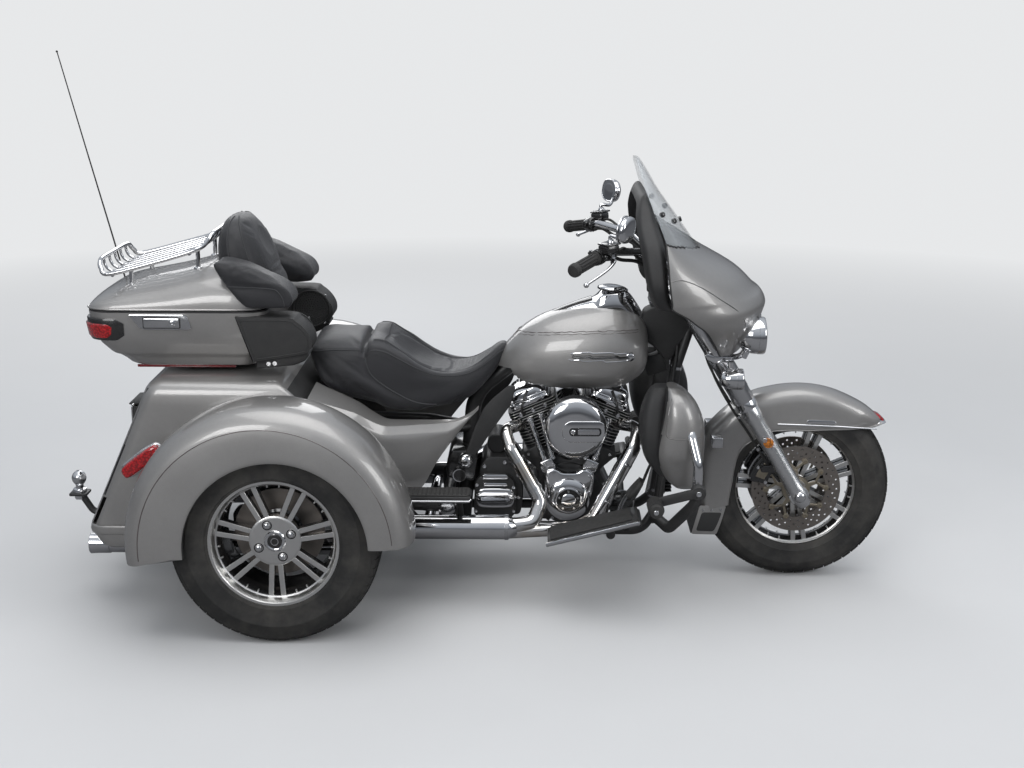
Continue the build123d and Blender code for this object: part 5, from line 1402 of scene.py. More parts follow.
podOutline = [(-148, 946), (-138, 955), (10, 955), (38, 944), (64, 922), (82, 894), (86, 868), (78, 850), (54, 838),
              (-90, 815), (-104, 822)]
pod = slab(curved(podOutline, 3), -302, -190, "y", soft=14, segments=4)
podEdge = tube([Vector((-24 + (a + 24) * 0.91, -302.4, 884 + (b - 884) * 0.88))
                for a, b in curved(podOutline + podOutline[:1], 4)], 1.6, 6)
grilleRim = turned([(62, 0), (66, 0), (66, 6), (63, 8), (60, 4), (60, 0)], (12, -190, 886), (0, 1, 0), 44,
                   closed=True)
grille = turned([(0, 3), (61, 2), (61, 0), (0, 0)], (12, -190, 886), (0, 1, 0), 44)
grilleHoles = repeated(turned([(0, 0), (1.7, 0), (1.7, 0.8), (0, 0.8)], zero, upward, 6),
                       [p for r in (8, 16, 24, 32, 40, 48, 55)
                        for p in ringPlaces((12, -187.2, 886), (0, 1, 0), r, int(r * 0.8))], finish=m(engineBlack))
grilleScrews = screws([(12 + 66 * cos(a), -188, 886 + 66 * sin(a))
                       for a in (radians(d) for d in (42, 132, 222, 312))], (0, 1, 0), 5, 4)
podFoot = slab([(-96, 786.5), (22, 797), (60, 812), (76, 834), (60, 842), (-96, 820)], -284, -206, "y", corner=6,
               soft=4)
jacks = joined([turned([(0, 0), (7, 0), (7, 3), (4, 3), (4, 1), (0, 1)], (x, -284, z), toRight, 16)
                for x, z in ((-56, 803), (-36, 804.5))])
piece("speakerPods", "chassis",
      {m(plastic): (pod + podEdge + grilleRim).both(), m(engineBlack): (grille + podFoot).both(),
       m(glossBlack): grilleHoles.both(), m(chromeSatin): jacks.both() + grilleScrews.both()}, ["speaker_pods"],
      50)

slat = smoothPath([(-607, 0, 1116), (-603, 0, 1092), (-588, 0, 1075), (-560, 0, 1076), (-420, 0, 1114),
                   (-310, 0, 1146), (-275, 0, 1158), (-256, 0, 1176), (-243, 0, 1198)], 5)
slats = joined([tube([p + Vector((0, y, 0)) for p in slat], 4.6, 10) for y in (-128, -64, 0, 64, 128)])
sideRail = smoothPath([(-607, 0, 1118), (-607, -120, 1118), (-606, -168, 1112), (-598, -192, 1092),
                       (-570, -203, 1076), (-420, -205, 1114), (-310, -198, 1146), (-268, -186, 1164),
                       (-246, -168, 1194), (-238, -130, 1203), (-237, 0, 1204)], 6)
lowBars = joined([tube([(x, -204, z), (x, 204, z)], 5.5, 12) for x, z in ((-560, 1071), (-310, 1141))])
posts = []
for side in (-1, 1):
    for x, low, high in ((-520, 1020, 1084), (-300, 1076, 1142)):
        posts.append(tube([(x, side * 128, low), (x, side * 128, high)], 7, 14))
        posts.append(turned([(0, 0), (15, 0), (15, 4), (10, 8), (0, 8)], (x, side * 128, low + 4), (0, 0, 1), 24))
rack = slats + tube(sideRail, 7.5, 14).both() + lowBars + joined(posts)
piece("luggageRack", "case_lid", {m(chrome): rack}, ["luggage_rack"], 50)

mastBase = turned([(0, 0), (14, 0), (14, 26), (10, 34), (8, 60), (5, 66), (0, 66)], (-645, 305, 832), (-0.05, 0, 1),
                  24)
mast = tube([(-645, 305, 880), (-700, 305, 1118), (-770, 305, 1416), (-848, 305, 1753)], [3.2, 2.8, 2.4, 1.9], 10)
mastSpring = strung(turned([(5, -1.4), (7.5, 0), (5, 1.4)], zero, upward, 16, closed=True),
                    [(-646, 305, 886), (-656, 305, 930)], 4.2, m(engineBlack))
mastTip = ball((-848, 305, 1752), 4.0, (1, 1, 1), 12)
mastFoot = slab([(-652, 246), (-600, 240), (-560, 272), (-600, 312), (-652, 318)], 838, 845, "z", corner=10, soft=1)
piece("whipAntenna", "chassis", {m(plastic): mastBase + mastFoot, m(engineBlack): mast + mastSpring + mastTip},
      ["antenna"], 40)
print("rack and backrest made")

# Fairing on the fork
fairingRows = [(813, 1462, 1388, 196), (822, 1474, 1382, 212), (862, 1500, 1362, 262), (920, 1528, 1326, 332),
               (950, 1541, 1292, 362), (975, 1546, 1262, 380), (1003, 1532, 1216, 394), (1022, 1508, 1212, 398),
               (1076, 1449, 1204, 396), (1144, 1323, 1198, 378), (1200, 1228, 1192, 348)]
fairingDense = between(fairingRows, 10)


def rim(x):
    # The sloping top edge of the fairing.
    return 1216 - (x - 1150) * 79 / 190


def resampled(line, count):
    # The line with another count of points.
    made = []
    for k in range(count):
        s = (len(line) - 1) * k / (count - 1)
        i = min(int(s), len(line) - 2)
        made.append(line[i].lerp(line[i + 1], s - i))
    return made


def column(t, rows, stop, count=44):
    a = t * pi / 2
    line = []
    for z, nose, side, half in rows:
        p = Vector((side + (nose - side) * abs(cos(a)), half * sin(a), z))
        if stop(p):
            break
        line.append(p)
    return resampled(line, count)


fairingColumns = [column(k / 32, fairingDense, lambda p: p.z > rim(p.x) + 0.5) for k in range(-32, 33)]
fairingSkin = thick(loops(fairingColumns, closed=False, capped=False), 5)
lampBore = rod((1380, 0, 905), (1620, 0, 905), 86, 48, 0)
fairingShell = carved(fairingSkin, [lampBore])
trimPath = [c[-1] + Vector((-1, 0, 1)) for c in fairingColumns]
trimEdge = tube(trimPath, 3.0, 8)
sideTrim = tube([p + Vector((-3, 0, 0)) for p in fairingColumns[0]], 2.6, 8).both()
# The fairing's groove, drawn as a thin tube in the darker pewter: painted shade where the groove sinks in.
groove = []
for t, z in ((-1.0, 1088), (-0.93, 1094), (-0.84, 1088), (-0.74, 1066), (-0.66, 1032), (-0.60, 990), (-0.575, 950),
             (-0.57, 920)):
    row = min(fairingDense, key=lambda r: abs(r[0] - z))
    groove.append(column(t, [row, row], lambda p: False, 2)[0] * 1.0)
grooveLine = tube(smoothPath(groove, 5), 1.5, 6)
piece("fairingOuter", "steering",
      {m(paint): fairingShell, m(plastic): trimEdge + sideTrim, m(grooveShadePaint): grooveLine.both()}, ["fairing_outer"],
      40)

screenRows = [(1060, 1400, 1222, 345), (1100, 1356, 1216, 330), (1160, 1309, 1206, 298), (1250, 1244, 1174, 252),
              (1330, 1186, 1140, 212), (1380, 1156, 1124, 180), (1408, 1138, 1115, 150), (1420, 1130, 1112, 122),
              (1426, 1126, 1111, 84), (1428, 1125, 1112, 36)]
screenDense = between(screenRows, 8)
screenColumns = []
for k in range(-24, 25):
    a = k / 24 * pi / 2
    line = []
    for z, nose, side, half in screenDense:
        p = Vector((side + (nose - side) * cos(a), half * sin(a), z))
        if p.z > rim(p.x) - 16:
            line.append(p)
    screenColumns.append(resampled(line, 31))
screenForm = thick(loops(screenColumns, closed=False, capped=False), 4)
grommets = []
for k in (5, 12, 24, 36, 43):
    base = screenColumns[k][5]
    out = (screenColumns[k][5] - Vector((1100, 0, base.z - 60))).normalized()
    grommets.append(turned([(0, -2), (9, -2), (9, 5), (6.5, 7), (0, 7)], base, out, 20))
piece("windScreen", "steering", {m(screen): screenForm, m(glossBlack): joined(grommets)}, ["windshield"],
      50)

innerRows = [(985, 1176, 1228, 322), (992, 1163, 1226, 340), (1008, 1151, 1218, 358), (1035, 1139, 1211, 374),
             (1072, 1127, 1206, 386), (1120, 1117, 1202, 378), (1165, 1110, 1197, 360), (1196, 1106, 1190, 338),
             (1225, 1102, 1180, 304), (1252, 1100, 1170, 272), (1285, 1104, 1160, 238), (1312, 1112, 1151, 206),
             (1326, 1120, 1145, 190), (1331, 1128, 1141, 176)]


def dashRing(z, rear, front, half):
    middle, deep = (rear + front) / 2, (front - rear) / 2
    ring = []
    for k in range(72):
        a = 2 * pi * k / 72
        y = half * abs(sin(a)) ** (2 / 5) * (1 if sin(a) >= 0 else -1)
        ring.append(Vector((middle + deep * abs(cos(a)) ** (2 / 4) * (1 if cos(a) >= 0 else -1), y, z)))
    return ring


innerBlock = loops([dashRing(*row) for row in between(innerRows, 4)])
recess = loops([[Vector((x, y, z))
                 for y, z in curved([(-318, 1010), (-336, 1080), (-318, 1160), (-262, 1215), (-190, 1276),
                                     (-150, 1300), (0, 1304), (150, 1300), (190, 1276), (262, 1215), (318, 1160),
                                     (336, 1080), (318, 1010), (0, 1004)], 3)] for x in (1060, 1148)])
barNotch = slab([(-215, 940), (215, 940), (215, 1112), (-215, 1112)], 1050, 1300, "x", soft=0)
innerShell = carved(innerBlock, [recess, barNotch])
faceX, facing = 1147.5, (-1, 0, 0.06)
gauges, dials, rings = [], [], []
for y, z, r in ((-62, 1190, 48), (62, 1190, 48), (-152, 1196, 24), (152, 1196, 24), (-118, 1244, 20),
                (118, 1244, 20)):
    dials.append(turned([(0, 0), (r - 3, 0), (r - 3, 2.5), (0, 2.5)], (faceX, y, z), facing, 32))
    rings.append(turned([(r - 4, 0), (r, 0), (r, 9), (r - 2, 11), (r - 4, 9)], (faceX, y, z), facing, 40,
                        closed=True))
    gauges.append(box((faceX - 4, y + r * 0.22, z + r * 0.12), (1.5, r * 0.8, 2.2), (0, 0, 0), soft=0.3))
screenBox = box((faceX - 2, 0, 1142), (10, 150, 36), soft=3)
screenGlass = box((faceX - 7.5, 0, 1142), (2, 136, 26), soft=0.8)
speakers, speakerNets = [], []
for side in (-1, 1):
    at = (faceX, side * 268, 1096)
    speakers.append(turned([(0, 0), (58, 0), (58, 5), (54, 8), (50, 4), (0, 3)], at, (-1, -0.1 * side, 0), 40))
    speakerNets += [p for r in (8, 16, 24, 32, 40, 47)
                    for p in ringPlaces((faceX - 3.4, side * 268 - side * 0.3, 1096), (-1, -0.1 * side, 0), r,
                                        int(r * 0.8))]
netDot = turned([(0, 0), (2.4, 0), (2.4, 1.4), (0, 1.4)], zero, upward, 6)
piece("fairingInner", "steering",
      {m(plastic): innerShell + joined(speakers) + screenBox, m(chrome): joined(rings), m(dial): joined(dials),
       m(redLens): joined(gauges), m(glossBlack): screenGlass,
       m(engineBlack): repeated(netDot, speakerNets, finish=m(engineBlack))}, ["fairing_inner"], 40)

# Lamps at the front
lampShell = turned([(0, 1440), (60, 1440), (78, 1462), (84, 1490), (85, 1518), (83, 1527), (78, 1530), (74, 1526),
                    (74, 1500), (60, 1476), (30, 1462), (0, 1458)], (0, 0, 905), (1, 0, 0), 56)
lampGlass = turned([(0, 1533), (30, 1531.5), (56, 1528), (73.5, 1522), (73.5, 1519), (56, 1525), (30, 1528.5),
                    (0, 1530)], (0, 0, 905), (1, 0, 0), 56)
bulb = turned([(0, 1498), (16, 1498), (18, 1486), (18, 1462), (0, 1462)], (0, 0, 905), (1, 0, 0), 32)
piece("headLight", "steering", {m(chrome): lampShell, m(clearLens): lampGlass, m(chromeSatin): bulb}, ["headlamp"],
      40)


def bulletLamp(at, radius, long, lens):
    # A chrome bullet lamp that looks forward.
    x, y, z = at
    shell = turned([(0, 0), (radius * 0.34, long * 0.02), (radius * 0.62, long * 0.10), (radius * 0.85, long * 0.26),
                    (radius * 0.97, long * 0.48), (radius, long * 0.66), (radius, long * 0.70),
                    (radius * 0.975, long * 0.705), (radius * 0.975, long * 0.73), (radius * 1.02, long * 0.74),
                    (radius * 1.02, long * 0.93), (radius * 0.98, long * 0.985), (radius * 0.90, long),
                    (radius * 0.86, long * 0.97), (radius * 0.84, long * 0.80), (radius * 0.4, long * 0.62),
                    (0, long * 0.6)], (x, y, z), (1, 0, 0), 48)
    glass = turned([(0, long * 1.02), (radius * 0.5, long * 1.005), (radius * 0.85, long * 0.955),
                    (radius * 0.85, long * 0.92), (radius * 0.5, long * 0.97), (0, long * 0.985)], (x, y, z),
                   (1, 0, 0), 40)
    return {m(chrome): shell, lens: glass}


lampParts = bulletLamp((1437, -200, 883), 59, 88, m(clearLens))
lightBar = tube(smoothPath([(1466, -196, 834), (1452, -180, 812), (1432, -140, 798), (1420, -80, 794),
                            (1418, 0, 794)], 6), 12, 14, 0.8)
lampStem = tube([(1476, -200, 842), (1462, -192, 808)], 9, 12)
earPlate = slab([(1340, 806), (1350, 790), (1376, 779), (1420, 784), (1440, 800), (1408, 803), (1376, 801),
                 (1354, 812)], -158, -96, "y", corner=6, soft=4)
piece("passingLamps", "steering", {m(chrome): (lampParts[m(chrome)] + lightBar + lampStem + earPlate).both(),
                                  m(clearLens): lampParts[m(clearLens)].both()}, ["passing_lamps"], 50)
signalParts = bulletLamp((1384, -200, 738), 34, 78, m(clearLens))
signalStem = (tube(bentPath([(1420, -200, 768), (1420, -200, 796)], 6), 9, 12)
              + turned([(0, 0), (14, 0), (14, 5), (10, 8), (0, 8)], (1420, -200, 768), (0, 0, 1), 20))
piece("frontSignals", "steering",
      {m(chrome): (signalParts[m(chrome)] + signalStem).both(), m(clearLens): signalParts[m(clearLens)].both()},
      ["front_signals"], 50)
print("fairing made")

# Front fender
frontRows = [  # angle, top radius, lower edge radius
    (38.8, 364, 360), (39.6, 366, 349), (41, 367, 334), (44, 366, 311), (50, 363, 280), (60, 356, 246),
    (72, 352.5, 222), (83, 350, 211), (95, 349, 211.5), (105, 350, 216), (114, 354, 225), (128, 354.5, 231),
    (140, 357, 238), (147, 360, 237), (155, 352, 230), (163, 341, 224), (174, 328, 220), (184, 325, 226),
    (193.5, 328, 236)]
frontRings = []
for deg, top, low in between(frontRows, 5):
    a = radians(deg)
    flat = min(max((deg - 150) / 40, 0), 1)
    half = [(0, top), (20, top - 0.4), (38, top - 2.5 + flat), (54, top - 8 + 3 * flat), (66, top - 18 + 6 * flat),
            (73, top - 33 + 10 * flat)]
    half = [(y, max(r, low + 1 + (76 - y) * 0.12)) for y, r in half]
    edge = max(top - 54, low + 0.6)
    half += [(76, edge), (77, low + (edge - low) * 0.5), (77, low + (edge - low) * 0.12 + 0.2), (74, low)]
    wide = min(1, 0.42 + 0.58 * sqrt(min(max((deg - 38.6) / 14, 0), 1)))
    section = [(-y * wide, r) for y, r in reversed(half[1:])] + [(y * wide, r) for y, r in half]
    frontRings.append([Vector((1674 + r * cos(a), y, 320 + r * sin(a))) for y, r in curved(section, 3, closed=False)])
frontSkin = thick(loops(frontRings, closed=False, capped=False), 3.5)
frontBead = tube([r[0] for r in frontRings], 2.4, 8) + tube([r[-1] for r in frontRings], 2.4, 8)
chromeStrip = tube([(1600, -79, 553), (1700, -79.5, 550), (1800, -79.5, 546), (1880, -79, 541), (1930, -77, 538)],
                   3.2, 8, 0.5)
frontEmblem = slab([(1700, 556), (1790, 552), (1796, 558), (1788, 565), (1702, 569), (1694, 562)], -80.5, -76, "y",
                   corner=4, soft=1)
tipShell = loops([[Vector((x, y * w, z))
                   for y, z in curved([(-1, low), (-1.0, (low + high) / 2 - 1), (-0.62, high - 3), (0, high),
                                       (0.62, high - 3), (1.0, (low + high) / 2 - 1), (1, low), (0, low + 1)], 3)]
                  for x, w, low, high in ((1926, 36, 541, 563), (1938, 37, 540, 563), (1952, 34, 540, 556),
                                          (1966, 26, 541.5, 550), (1974, 16, 543.5, 548))])
tipLamp = loops([[Vector((x, y * w, z))
                  for y, z in curved([(-1, low), (-0.7, high - 2), (0, high), (0.7, high - 2), (1, low),
                                      (0, low - 2)], 3)]
                 for x, w, low, high in ((1932, 24, 556, 576), (1940, 24, 554, 575), (1952, 21, 550, 569),
                                         (1963, 15, 547, 559), (1970, 8, 546, 552))])
flapPlate = loops([[Vector((x, y, z)) for y in (-68, -34, 0, 34, 68)]
                   + [Vector((x + 4, y, z)) for y in (68, 34, 0, -34, -68)]
                   for x, z in ((1352, 262), (1344, 230), (1332, 196), (1322, 162))])
flapSide = slab([(1350, 262), (1440, 262), (1424, 200), (1410, 158), (1324, 160)], -74, -70.5, "y", corner=8, soft=1)
flapInset = slab([(1358, 238), (1426, 238), (1412, 196), (1400, 170), (1340, 172)], -75.4, -73, "y", corner=9,
                 soft=0.8)
rivets = repeated(turned([(0, 0), (4.5, 0), (3.5, 2.2), (0, 3)], zero, upward, 12),
                  [(Vector((x, -74.3, z)), toRight) for x, z in ((1362, 246), (1392, 247), (1422, 248))]
                  + [(Vector((1349, y, 246)), (-1, 0, 0)) for y in (-50, 0, 50)], finish=m(chromeSatin))
fenderStay = slab([(1378, 480), (1416, 480), (1416, 516), (1378, 516)], -120, -74, "y", corner=6, soft=2)
fenderFront = {m(paint): frontSkin + frontBead + flapSide.both(),
               m(chrome): chromeStrip.both() + frontEmblem.both() + tipShell, m(redLens): tipLamp,
               m(plastic): flapPlate + flapInset.both(), m(chromeSatin): rivets + fenderStay.both()}
piece("frontFender", "steering", fenderFront, ["front_fender"], 45)
print("front fender made")

# Engine
crank = (905, 316)
lean = radians(23)


def tilted(side, along):
    # The frame of a cylinder: Z up the bore, X forward, Y left.
    up = Vector((side * sin(lean), 0, cos(lean)))
    ahead = Vector((cos(lean), 0, -side * sin(lean)))
    spin = Matrix((ahead, Vector((0, 1, 0)), up)).transposed().to_4x4()
    start = Vector((crank[0], 0, crank[1])) + up * along
    return Matrix.Translation(start) @ spin


caseOutline = [(786, 232), (812, 221), (1016, 221), (1038, 240), (1052, 300), (1006, 396), (1068, 450), (1012, 484),
               (905, 428), (798, 484), (742, 450), (804, 396)]
caseBody = slab(caseOutline, -104, 104, "y", corner=14, soft=5, segments=2)
caseRound = turned([(0, -108), (104, -108), (112, -100), (112, 100), (104, 108), (0, 108)], (905, 0, 316), toRight,
                   56)
caseRibs = joined([slab([(905 + 96 * cos(a), 316 + 96 * sin(a)),
                         (905 + 124 * cos(a - 0.05), 316 + 124 * sin(a - 0.05)),
                         (905 + 124 * cos(a + 0.05), 316 + 124 * sin(a + 0.05))], -96, 96, "y", soft=1.5)
                   for a in (radians(d) for d in (-150, -125, -100, -75, -50, -28, 205))])
caseFeet = box((1068, 0, 235), (36, 80, 50), soft=4) + box((1040, 0, 250), (60, 78, 22), soft=3)
sumpBolts = screws([(x, -105, z)
                    for x, z in ((800, 240), (850, 228), (960, 228), (1020, 236), (1040, 290), (1020, 350),
                                 (1040, 452), (770, 452))], radius=5.5)
oilFilter = turned([(0, 0), (34, 0), (37, 5), (37, 66), (33, 78), (20, 84), (0, 84)], (1046, -30, 268), (1, 0, -0.12),
                   40)
filterFlutes = turned([(34, 68), (38, 70), (35, 79), (30, 80)], (1046, -30, 268), (1, 0, -0.12), 12)
caseSeam = tube([(x, 0, z) for x, z in rounded(caseOutline, 14)], 2.0, 6)
piece("engineCase", "chassis",
      {m(engineBlack): caseBody + caseRound + caseRibs + caseFeet, m(chromeSatin): sumpBolts + caseSeam,
       m(glossBlack): oilFilter + filterFlutes}, ["engine_case"], 40)

cylinderForm, finEdges, boreForm = Form(), Form(), Form()
for side in (-1, 1):
    for k in range(13):
        along = 140 + k * 11.5
        reach = 74 + min(k, 6) * 1.0
        ring = rounded([(-reach, -reach), (reach, -reach), (reach, reach), (-reach, reach)], 46, 5)
        place = tilted(side, along)
        clip = 905 + side * 1.5
        fin = [[place @ Vector((x, y, z)) for x, y in ring] for z in (0, 3.2)]
        edge = [[place @ Vector((x * s, y * s, z)) for x, y in ring]
                for s, z in ((0.995, 0.1), (1.006, 0.6), (1.006, 2.6), (0.995, 3.1))]
        for rings in (fin, edge):
            for r in rings:
                for p in r:
                    if (p.x - clip) * side < 0:
                        p.x = clip
        cylinderForm += loops(fin)
        finEdges += loops(edge, capped=False)
    barrel = rod((0, 0, 118), (0, 0, 300), 61, 40, 1).moved(tilted(side, 0))
    cylinderForm += Form([Vector((905 + side * 1.0 if (p.x - 905 - side) * side < 0 else p.x, p.y, p.z))
                          for p in barrel.points], barrel.faces)
    for k, (reach, deep) in enumerate(((80, 84), (82, 88), (84, 90), (84, 90), (83, 89))):
        along = 288 + k * 9.2
        ring = rounded([(-reach, -deep), (reach, -deep), (reach, deep), (-reach, deep)], 22, 5)
        place = tilted(side, along)
        cylinderForm += loops([[place @ Vector((x, y, z)) for x, y in ring] for z in (0, 3.6)])
        finEdges += loops([[place @ Vector((x * s, y * s, z)) for x, y in ring]
                           for s, z in ((0.995, 0.1), (1.005, 0.7), (1.005, 2.9), (0.995, 3.5))], capped=False)
    headCore = slab(rounded([(-70, -76), (70, -76), (70, 76), (-70, 76)], 18), 284, 330, "z",
                    soft=2).moved(tilted(side, 0))
    cylinderForm += headCore
    for x, y in ((-48, -60), (48, -60), (-48, 60), (48, 60)):
        boreForm += rod((x, y, 150), (x, y, 292), 6.5, 14).moved(tilted(side, 0))
    boreForm += screws([tilted(side, 309) @ Vector((x, -91, 0)) for x in (-44, 0, 44)], radius=7, high=6)
sparkCap = joined([tube(smoothPath([tilted(side, 306) @ Vector((side * 30, -88, 0)),
                                    tilted(side, 318) @ Vector((side * 34, -112, 6)),
                                    tilted(side, 350) @ Vector((side * 20, -112, 0)),
                                    tilted(side, 378) @ Vector((-side * 6, -84, 0))], 6), 4.2, 10)
                   for side in (-1, 1)])
piece("cylinderPair", "chassis",
      {m(engineBlack): cylinderForm + sparkCap, m(alloy): finEdges, m(chromeSatin): boreForm}, ["cylinders"],
      35)

rockers = Form()
rockerBolts = []
for side in (-1, 1):
    place = tilted(side, 330.5)
    foot = slab(rounded([(-70, -90), (70, -90), (70, 90), (-70, 90)], 22), 0, 16, "z", soft=3)
    step = slab(rounded([(-64, -84), (64, -84), (64, 84), (-64, 84)], 26), 15, 27, "z", soft=4)
    cap = loops([[Vector((x * sx, y * sy, z))
                  for x, y in rounded([(-60, -80), (60, -80), (60, 80), (-60, 80)], 30, 5)]
                 for sx, sy, z in ((1, 1, 26), (0.985, 0.99, 36), (0.94, 0.96, 46), (0.86, 0.90, 54),
                                   (0.74, 0.80, 59), (0.60, 0.68, 61))])
    ridge = joined([slab([(x - 6, -60), (x + 6, -60), (x + 6, 60), (x - 6, 60)], 52, 62.5, "z", corner=5, soft=2)
                    for x in (-22, 22)])
    rockers += (foot + step + cap + ridge).moved(place)
    spots = [place @ Vector((x, y, 16)) for x, y in ((-58, -78), (58, -78), (-58, 78), (58, 78), (0, -86), (0, 86))]
    up = place.to_3x3() @ Vector((0, 0, 1))
    rockerBolts.append(repeated(boltItem(6.5, 8), [(p, up) for p in spots], finish=m(chrome)))
    side1 = [place @ Vector((x, -91, 8)) for x in (-46, 0, 46)]
    rockerBolts.append(screws(side1, radius=4.5, high=2.5))
piece("rockerCovers", "chassis", {m(chrome): rockers, m(chromeSatin): joined(rockerBolts)}, ["rocker_covers"],
      35)

camOutline = [(822, 408), (822, 300), (836, 262), (868, 236), (912, 230), (950, 262), (984, 330), (990, 404),
              (952, 420), (930, 404), (880, 404), (860, 420)]
camBody = slab(camOutline, -158, -107, "y", corner=20, soft=9, segments=3)
camRound = turned([(0, 0), (72, 0), (70, 8), (64, 12), (48, 14), (46, 11), (44, 11), (43, 16), (40, 17), (0, 17)],
                  (903, -157, 312), toRight, 64)
camInset = turned([(0, 0), (39, 0), (39, 3), (26, 3.4), (26, 2), (0, 2)], (903, -172, 312), toRight, 56)
camCap = turned([(0, 0), (24.5, 0), (24.5, 5), (22, 6.5), (0, 6.5)], (903, -173, 312), toRight, 48)
camScrews = screws([(903 + 32 * cos(a), -175.5, 312 + 32 * sin(a)) for a in (radians(90 + 72 * k) for k in range(5))],
                   radius=4.2, high=3)
camBolts = screws([(x, -158, z) for x, z in ((836, 396), (974, 392), (836, 300), (878, 246), (946, 270), (976, 336))],
                  radius=5.5)
lifters = joined([slab([(-24, -4), (24, -4), (22, 34), (-22, 34)], -150, -92, "y", corner=6, soft=4).moved(
    Matrix.Translation((905 + side * 66, 0, 412)) @ Matrix.Rotation(side * lean, 4, "Y")) for side in (-1, 1)])
lifterBolts = screws([(905 + side * 66 + step * 15, -150, 430) for side in (-1, 1) for step in (-1, 1)], radius=5)
pushTubes, tubeRings = [], []
for side in (-1, 1):
    for step in (-1, 1):
        foot = Vector((905 + side * 70 + step * 15, -124, 440))
        head = tilted(side, 290) @ Vector((step * 20, -98, 0))
        pushTubes.append(tube([foot, head], 9.2, 18))
        for s in (0.04, 0.16, 0.60, 0.95):
            at = foot.lerp(head, s)
            tubeRings.append(turned([(9, -5), (12.5, -4), (12.5, 4), (9, 5)], at, head - foot, 20, closed=True))
piece("camCover", "chassis",
      {m(chrome): camBody + camRound + camCap + lifters + joined(pushTubes), m(glossBlack): camInset,
       m(chromeSatin): camScrews + camBolts + lifterBolts + joined(tubeRings)}, ["cam_cover"], 35)

cleanerAt = (923, -150, 575)
cleanerBack = turned([(0, 0), (90, 0), (94, 4), (94, 52), (90, 58), (0, 58)], cleanerAt, toRight, 64)
cleanerSlots = joined([turned([(94, a), (97.5, a + 1), (97.5, a + 7), (94, a + 8)], cleanerAt, toRight, 64,
                              closed=True) for a in (8, 22, 36)])
cleanerDome = turned([(92, 60), (100, 60), (102, 63), (102, 70), (99, 77), (90, 84), (74, 89), (50, 91.5), (0, 92)],
                     cleanerAt, toRight, 96)
bandOutline = [(890, 540), (905, 534), (1004, 534), (1018, 556), (1018, 575), (1016, 598), (1002, 606), (905, 606),
               (890, 600), (880, 586), (878, 570), (880, 554)]
cleanerBand = slab(bandOutline, -243.5, -232, "y", corner=14, soft=3, segments=3)
cleanerSlot = slab([(906, 556), (1000, 556), (1007, 566), (1004, 584), (906, 584), (900, 570)], -244.6, -240, "y",
                   corner=9, soft=0.8)
cleanerScrew = turned([(0, 0), (8, 0), (8, 3), (6, 4.5), (2.5, 4.5), (2.5, 2), (0, 2)], (914, -244, 570), toRight, 24)
cleanerPlate = slab([(930, 561), (998, 561), (1001, 570), (998, 579), (930, 579)], -245.6, -244, "y", corner=4,
                    soft=0.6)
throat = rod((911, -60, 559), (911, -152, 559), 32, 32)
cleanerStay = rod((1016, -80, 566), (1016, -156, 566), 8, 16) + rod((836, -80, 570), (844, -156, 570), 8, 16)
piece("airCleaner", "chassis",
      {m(chrome): cleanerDome + cleanerBand + cleanerScrew, m(chromeSatin): cleanerPlate + cleanerStay,
       m(glossBlack): cleanerBack + cleanerSlots + cleanerSlot, m(engineBlack): throat}, ["air_cleaner"],
      35)

boxOutline = [(612, 240), (742, 236), (752, 300), (746, 408), (716, 442), (630, 442), (606, 404), (600, 300)]
gearCase = slab(boxOutline, -106, 106, "y", corner=16, soft=6)
coverBlack = slab([(586, 250), (604, 236), (712, 236), (728, 256), (728, 352), (708, 382), (612, 386), (590, 362)],
                  -138, -105, "y", corner=18, soft=5)
coverOval = pillow([(592, 310), (598, 286), (618, 276), (698, 276), (718, 286), (724, 310), (718, 334), (698, 344),
                    (618, 344), (598, 334)], -152, -134, power=3.0, steps=10, smooth=3, edge=0.30)
coverBars = (slab([(622, 350), (696, 350), (700, 357), (696, 364), (622, 364), (618, 357)], -150, -136, "y", corner=6,
                  soft=2.5)
             + slab([(618, 374), (698, 374), (703, 382), (698, 392), (618, 392), (614, 382)], -148, -130, "y",
                    corner=8, soft=3))
gearScrews = screws([(x, -138, z)
                     for x, z in ((598, 354), (720, 346), (594, 262), (720, 262), (600, 308), (724, 312))], radius=6,
                    high=6)
gearScrews += screws([(x, -106, z) for x, z in ((622, 410), (690, 424), (735, 380), (736, 300))], radius=7, high=8)
starter = rod((664, -62, 474), (664, 62, 474), 34, 32, 4)
gearFeet = box((650, 0, 238), (36, 80, 46), soft=3)
oilTank = slab([(498, 372), (586, 360), (596, 420), (600, 452), (572, 470), (510, 468), (494, 420)], -124, 124, "y",
               corner=14, soft=6)
dome = turned([(0, 34), (12, 33), (20, 29), (25, 21), (26.5, 12), (25, 4), (22, 0), (0, 0)], (559, -124, 438),
              toRight, 40)
domeNut = turned([(0, 0), (9, 0), (9, 5), (7, 7), (0, 7)], (559, -157, 438), toRight, 6)
fillCap = turned([(0, 0), (22, 0), (22, 10), (19, 13), (14, 13), (13, 11), (0, 11)], (539, -124, 386), toRight, 32)
fillRing = turned([(19.5, 12), (22.5, 12), (22.5, 15), (19.5, 15)], (539, -124, 386), toRight, 32, closed=True)
clutchLine = tube(smoothPath([(700, -120, 424), (760, -132, 436), (812, -140, 300), (900, -150, 222),
                              (1010, -150, 224), (1120, -120, 300), (1180, -96, 420)], 8), 5, 10)
piece("gearCase", "chassis",
      {m(engineBlack): gearCase + coverBlack + gearFeet + starter + clutchLine, m(chrome): coverOval + coverBars,
       m(chromeSatin): gearScrews}, ["gearbox"], 35)
piece("oilTank", "chassis", {m(glossBlack): oilTank + fillCap, m(chrome): dome + domeNut + fillRing},
      angle=35)

